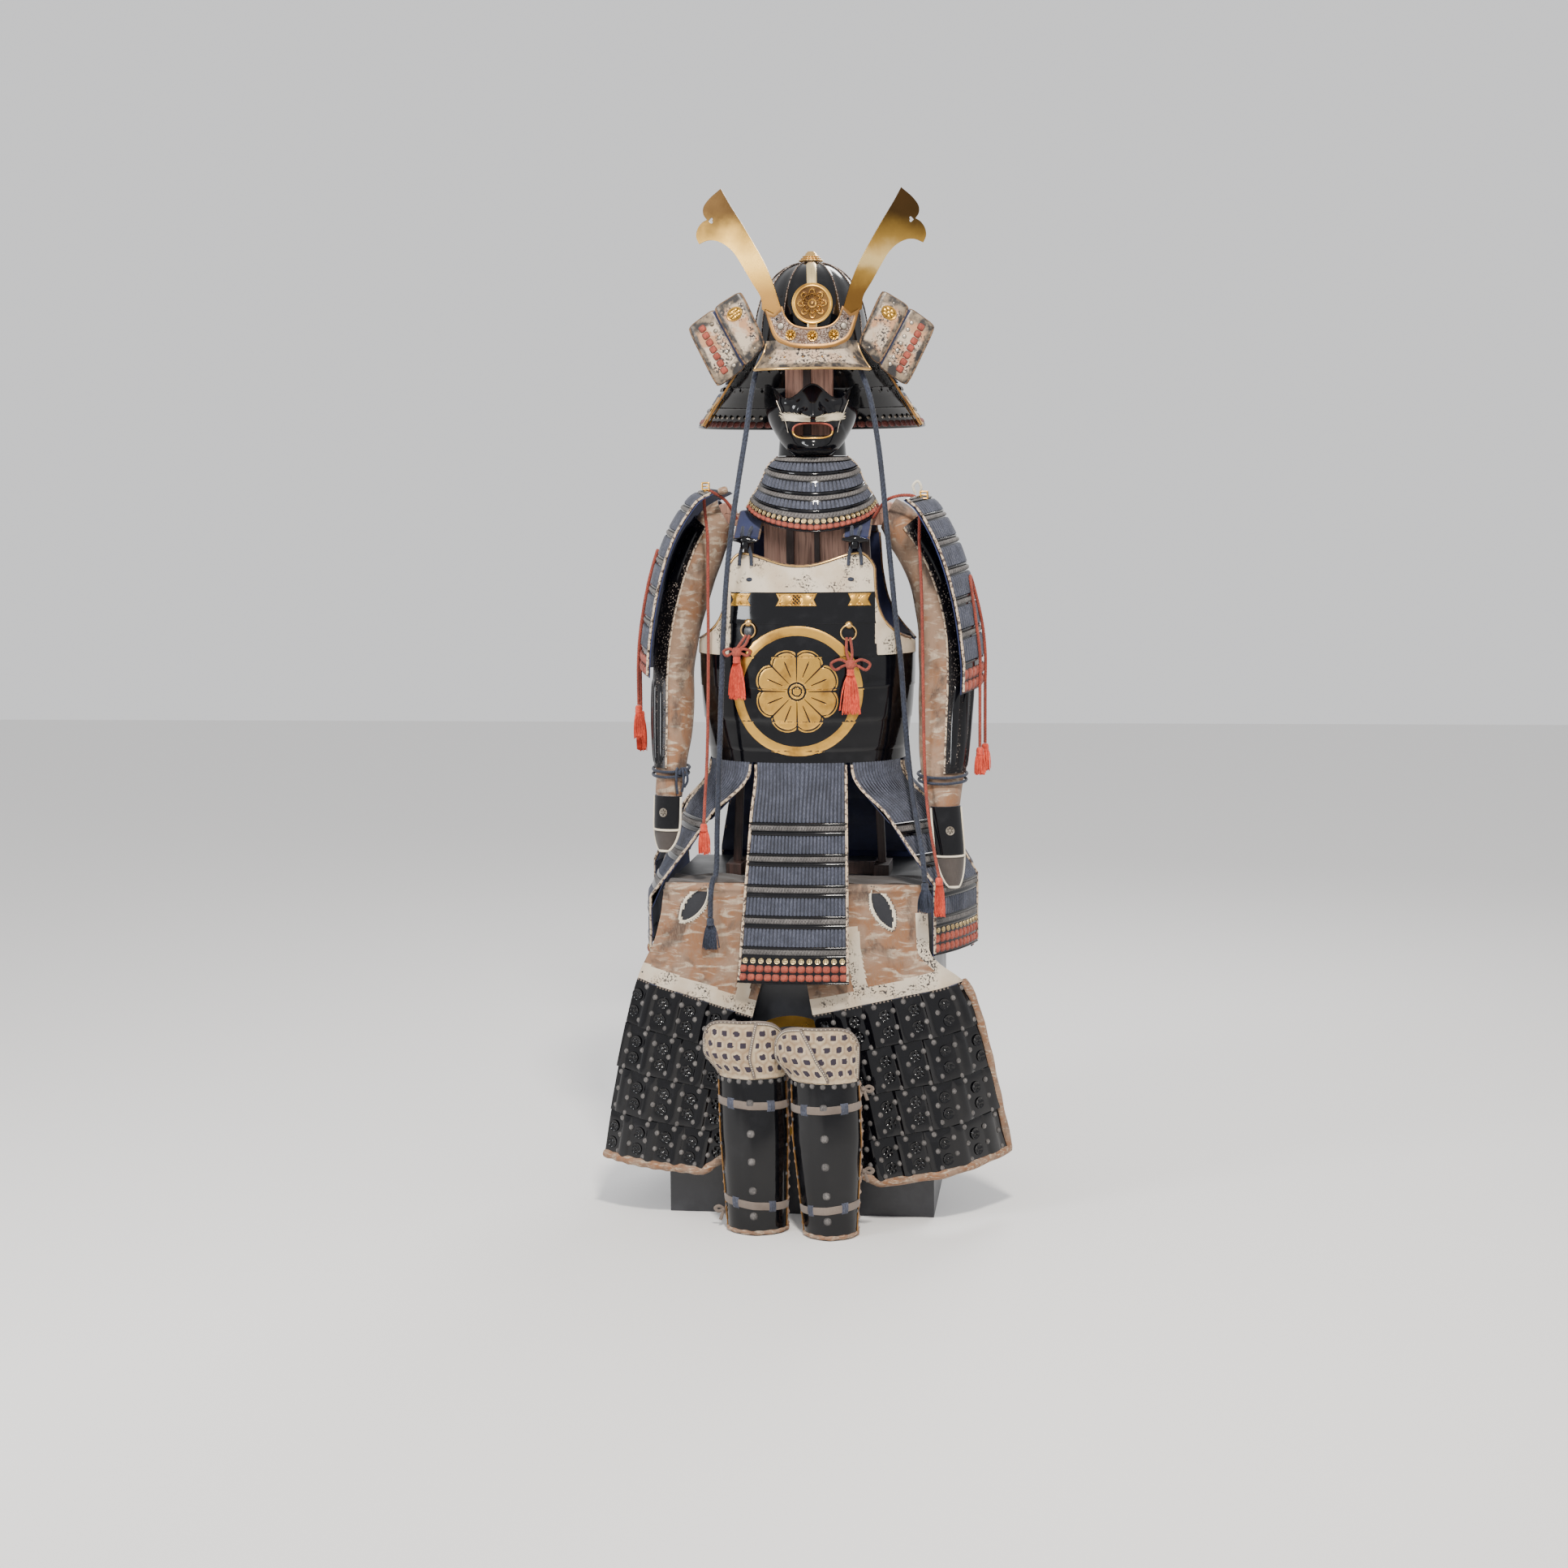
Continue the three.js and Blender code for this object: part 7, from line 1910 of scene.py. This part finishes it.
def make_mask():
    wide = radians(86)
    u, v = grid(np.linspace(-wide, wide, 91), np.linspace(0, 1, 68))
    outer, inner = mask_point(u, v), mask_point(u, v, -2.4)
    x, z = outer[..., 0], outer[..., 2]
    mouth = (np.abs(x) / 36) ** (1 / 0.6 * 2) + (np.abs(z - 1379) / 13) ** (2 / 0.8)
    parts = [patch(outer), patch(inner[:, ::-1], 1)]
    open_ = (mouth[:-1, :-1] < 1) & (mouth[1:, 1:] < 1) & (mouth[:-1, 1:] < 1) & (mouth[1:, :-1] < 1)
    for k, flip in ((0, False), (1, True)):
        points, faces, uv, paint, marks = parts[k]
        keep = ~(open_[:, ::-1] if flip else open_).ravel()
        parts[k] = (points, faces[keep], uv, paint[keep], marks)
    ends = [(outer[:1], inner[:1]), (outer[-1:], inner[-1:])]
    parts += [patch(np.concatenate(pair)) for pair in ends]
    parts += [patch(np.concatenate([outer[:, k:k + 1], inner[:, k:k + 1]], 1)) for k in (0, 90)]
    # Lips: a red line above, gold below, along the mouth's edge
    t = np.linspace(0, pi, 50)

    def on_face(x, z, out):
        angle = np.arcsin(np.clip(x / column(MASK, z, 1), -1, 1))
        rough = np.abs(85 * np.sin(angle))
        top = 1459 - 25 * np.sin(np.clip(rough / 43, 0, 1) * pi / 2) ** 2 + 26 * ease(rough, 46, 82)
        return mask_point(angle, (z - top) / (1336 - top), out)

    for sign, paint in ((1, 2), (-1, 3)):
        x = 35 * power(np.cos(t), 0.6)
        z = 1379 + sign * 13 * power(np.sin(t), 0.8)
        parts.append(tube(spaced(on_face(x, z, -0.6), 60), 1.7, 8, hint=(0, 1, 0), paint=paint))
    top_edge = mask_point(np.linspace(-wide, wide, 90), np.zeros(90), -1.0)
    parts.append(tube(spaced(top_edge, 110), 1.7, 8, hint=(0, 1, 0.2), paint=0))
    for side in (-1, 1):
        route = [(62, 1432), (55, 1414), (47, 1396), (42, 1376)]
        line = through([on_face(np.array([side * x]), np.array([z]), 1.6)[0] for x, z in route], 30)
        parts.append(tube(line, 0.8, 6, hint=(1, 0, 0), paint=4))
    build("face", on_head(parts), [LACQUER, BLOCK_RED, BLOCK_RED, GOLD, GREY_STUD],
          ["mask"], sharp=60)
    make_moustache(on_face)
    make_throat_guard()


def make_moustache(on_face):
    """Hairs that start under the nose and sweep outwards and a little down."""
    count = 700
    side = rng.choice([-1, 1], count)
    start = rng.uniform(4, 40, count)
    rise = rng.uniform(-4, 4, count)
    long = rng.uniform(9, 20, count)
    t = np.linspace(0, 1, 5)
    x = side[:, None] * (start[:, None] + long[:, None] * t)
    z = 1400 + rise[:, None] + 0.1 * (start[:, None]
                                      - 20) + (rng.uniform(-4, 4, count))[:, None] * t + 3 * t * t
    line = on_face(x, z, 0) - np.array([0, 1, 0]) * (0.6 + 2.8 * np.sin(pi * mix(0.2, 0.9, t))
                                                     * rng.uniform(0.4, 1, count)[:, None])[..., None]
    parts = [strands(line, mix(0.62, 0.3, t), first=(0, 1, 0), second=(0, 0, 1))]
    hair = cloth("moustache_hair", (0.55, 0.47, 0.33), (0.8, 0.72, 0.56))
    build("moustache", on_head(parts), [hair], tidy=False, sharp=80)


def make_throat_guard():
    wide = radians(82)
    rows = np.concatenate([[i + 0.01, i + 0.1, i + 0.5, i + 0.97] for i in range(4)])
    outs = np.tile([2.0, 2.4, 1.4, 0.2], 4)
    u, i = grid(np.linspace(-wide, wide, 41), rows)
    parts = wall(throat_point(u, i, outs[:, None]), throat_point(u, i, outs[:, None] - 2.3), 0, 4)

    def sheet(u, i, out):
        return throat_point(np.asarray(u) * wide, np.asarray(i, float), out)

    # A plain neck band behind the jaw
    u, z = grid(np.linspace(-wide, wide, 41), [1336, 1345, 1360, 1371])
    half = mix(61, 58, (z - 1336) / 35)
    parts += wall(spot(half * np.sin(u), -16 - (half - 3) * np.cos(u), z),
                  spot((half - 2) * np.sin(u), -16 - (half - 5) * np.cos(u), z), 0, 4)
    for k, count in enumerate((26, 31, 36, 42)):
        if k < 3:
            parts.append(braid_patch(sheet, count + 8, k + 0.05, k + 0.36, 3.4, 1.4))
            parts.append(lacing_patch(sheet, count, k + 0.38, k + 0.86, 3.4, 0.6, rows=4, loop=-0.08))
            parts.append(band_patch(sheet, k + 0.84, k + 1.05, 1.0, 2.6, across=31))
        else:
            parts.append(braid_patch(sheet, count + 8, k + 0.05, k + 0.38, 3.4, 1.4))
            places, frames = seats(sheet, np.linspace(-0.945, 0.945, 28), np.full(28, k + 0.5), 2.0)
            parts.append(scatter(rosette(4.6, 1.8, 4, 12), places, frames, 5))
            parts.append(block_patch(sheet, 28, k + 0.62, k + 0.9, 3.2, 1.6, paint=3))
            parts.append(band_patch(sheet, k + 0.9, k + 1.0, 0.8, 2.2, across=31))
    for side in (-1.0, 1.0):
        parts.append(tube(sheet(np.full(50, side * 0.985), np.linspace(0.03, 3.98, 50), 1.6), 2.3, 6,
                          hint=(1, 0, 0), paint=6))
    finishes = [LACQUER, LACING, BRAID, BLOCK_RED, NAVY_CLOTH, PALE_GILT, FLECKED]
    build("throat_lames", on_head(parts), finishes, ["throat_guard"], sharp=50)


# Front tassels on their brass rings

FRONT_TASSELS = {-1: (-90, 1034, -110, 996, 0.68, 79, 38), 1: (86, 1030, 90, 975, 1.0, 83, 44)}


def make_front_tassels():
    for name, side in SIDES:
        ring_x, ring_z, knot_x, knot_z, bow, length, width = FRONT_TASSELS[side]

        def on(x, z, out):
            return cuirass_front_at(np.array([float(x)]), np.array([float(z)]), out)[0]

        a = np.linspace(0, TAU, 40)
        seat = on(ring_x, ring_z, 3.6)
        slope = (on(ring_x + 1, ring_z, 3.6) - seat)[1]
        circle = seat + np.stack([13 * np.cos(a), slope * 13 * np.cos(a), 13 * np.sin(a)], 1)
        parts = [tube(circle, 1.5, 8, hint=(0, 1, 0), paint=1, ends=False)]
        parts.append(lathe([[0, 0], [7, 0], [6.4, 3], [4, 5.5], [0, 6.6]], 18,
                           on(ring_x, ring_z + 13, 0.2), 1, axis=(0.0, -1, 0)))
        knot = on(knot_x, knot_z, 11.0)
        top = on(ring_x, ring_z - 12, 5.0)
        for shift in (-3, 3):
            line = through([top + (shift, 0, 4), mix(top, knot, 0.5) + (1.6 * shift, -2, 0),
                            knot + (0.5 * shift, 0, 4)], 30)
            parts.append(tube(line, 2.6, 8, hint=(1, 0, 0.1), relief=braid(5, 0.4)))
        for flip in (-1, 1):
            reach, drop = 34 * bow, 9 * bow
            centre = knot + (0, 1.0, 0)
            loop = through([centre, centre + (flip * reach * 0.55, -3, drop),
                            centre + (flip * reach, -1, 1), centre + (flip * reach * 0.8, 0, -drop),
                            centre + (flip * reach * 0.35, 0, -2), centre], 44)
            parts.append(tube(loop, 2.6, 8, hint=(0, 1, 0.05), relief=braid(5, 0.4)))
        parts.append(lathe([[0, -9], [6, -8], [8.5, -3], [8.5, 3], [6, 8], [0, 9]], 14, knot))
        parts += tassel((knot[0], knot[1], knot_z - 5), length, width, count=90, depth=0.2, facing=slope,
                        paint=2)
        build(f"breast_tassel_{name}", parts, [RED, BRASS, TASSEL_RED],
              [f"front_tassel_{name}"], sharp=60)


make_chest()
make_stand()
make_cuirass()
make_straps()
for tasset in TASSETS:
    make_tasset(tasset)
make_shoulder_guards()
make_shoulder_fittings()
make_sleeves()
make_thigh_cloth()
make_thigh_scales()
make_belt()
make_shins()
make_helmet()
make_mask()
make_front_tassels()


# Floor and light

def plain(name, color):
    f = Finish(name, Roughness=0.8)
    return f.set(Base_Color=(*color, 1))


def make_stage():
    mesh = bpy.data.meshes.new("floor")
    mesh.from_pydata([(-9, -9, 0), (9, -9, 0), (9, 9, 0), (-9, 9, 0)], [], [(0, 1, 2, 3)])
    floor = bpy.data.objects.new("floor", mesh)
    mesh.materials.append(plain("pale_floor", (0.8, 0.79, 0.78)))
    bpy.context.collection.objects.link(floor)
    floor.location.z = -0.0002
    world = bpy.data.worlds.new("studio")
    bpy.context.scene.world = world
    world.use_nodes = True
    world.node_tree.nodes["Background"].inputs[0].default_value = (0.95, 0.95, 0.96, 1)
    world.node_tree.nodes["Background"].inputs[1].default_value = 1.0
    lamps = [("key", (0.5, -2.2, 3.3), (0.05, -0.1, 1.1), 150, 0.35, (1, 0.94, 0.86)),
             ("fill", (-2.4, -2.2, 1.9), (0, 0, 0.9), 50, 0.8, (0.96, 0.98, 1)),
             ("back", (0.6, 2.2, 2.8), (0, 0, 1.2), 50, 1.0, (1, 1, 1))]
    for name, place, aim, power_, size, color in lamps:
        lamp = bpy.data.objects.new(name, bpy.data.lights.new(name, "AREA"))
        lamp.data.energy = power_
        lamp.data.size = size
        lamp.data.color = color
        away = unit(np.array(place, float) - np.array(aim, float))
        across = unit(np.cross((0, 0, 1), away))
        turn = np.eye(4)
        turn[:3, :3] = np.stack([across, np.cross(away, across), away], 1)
        turn[:3, 3] = place
        lamp.matrix_world = Matrix(turn.tolist())
        bpy.context.collection.objects.link(lamp)


make_stage()
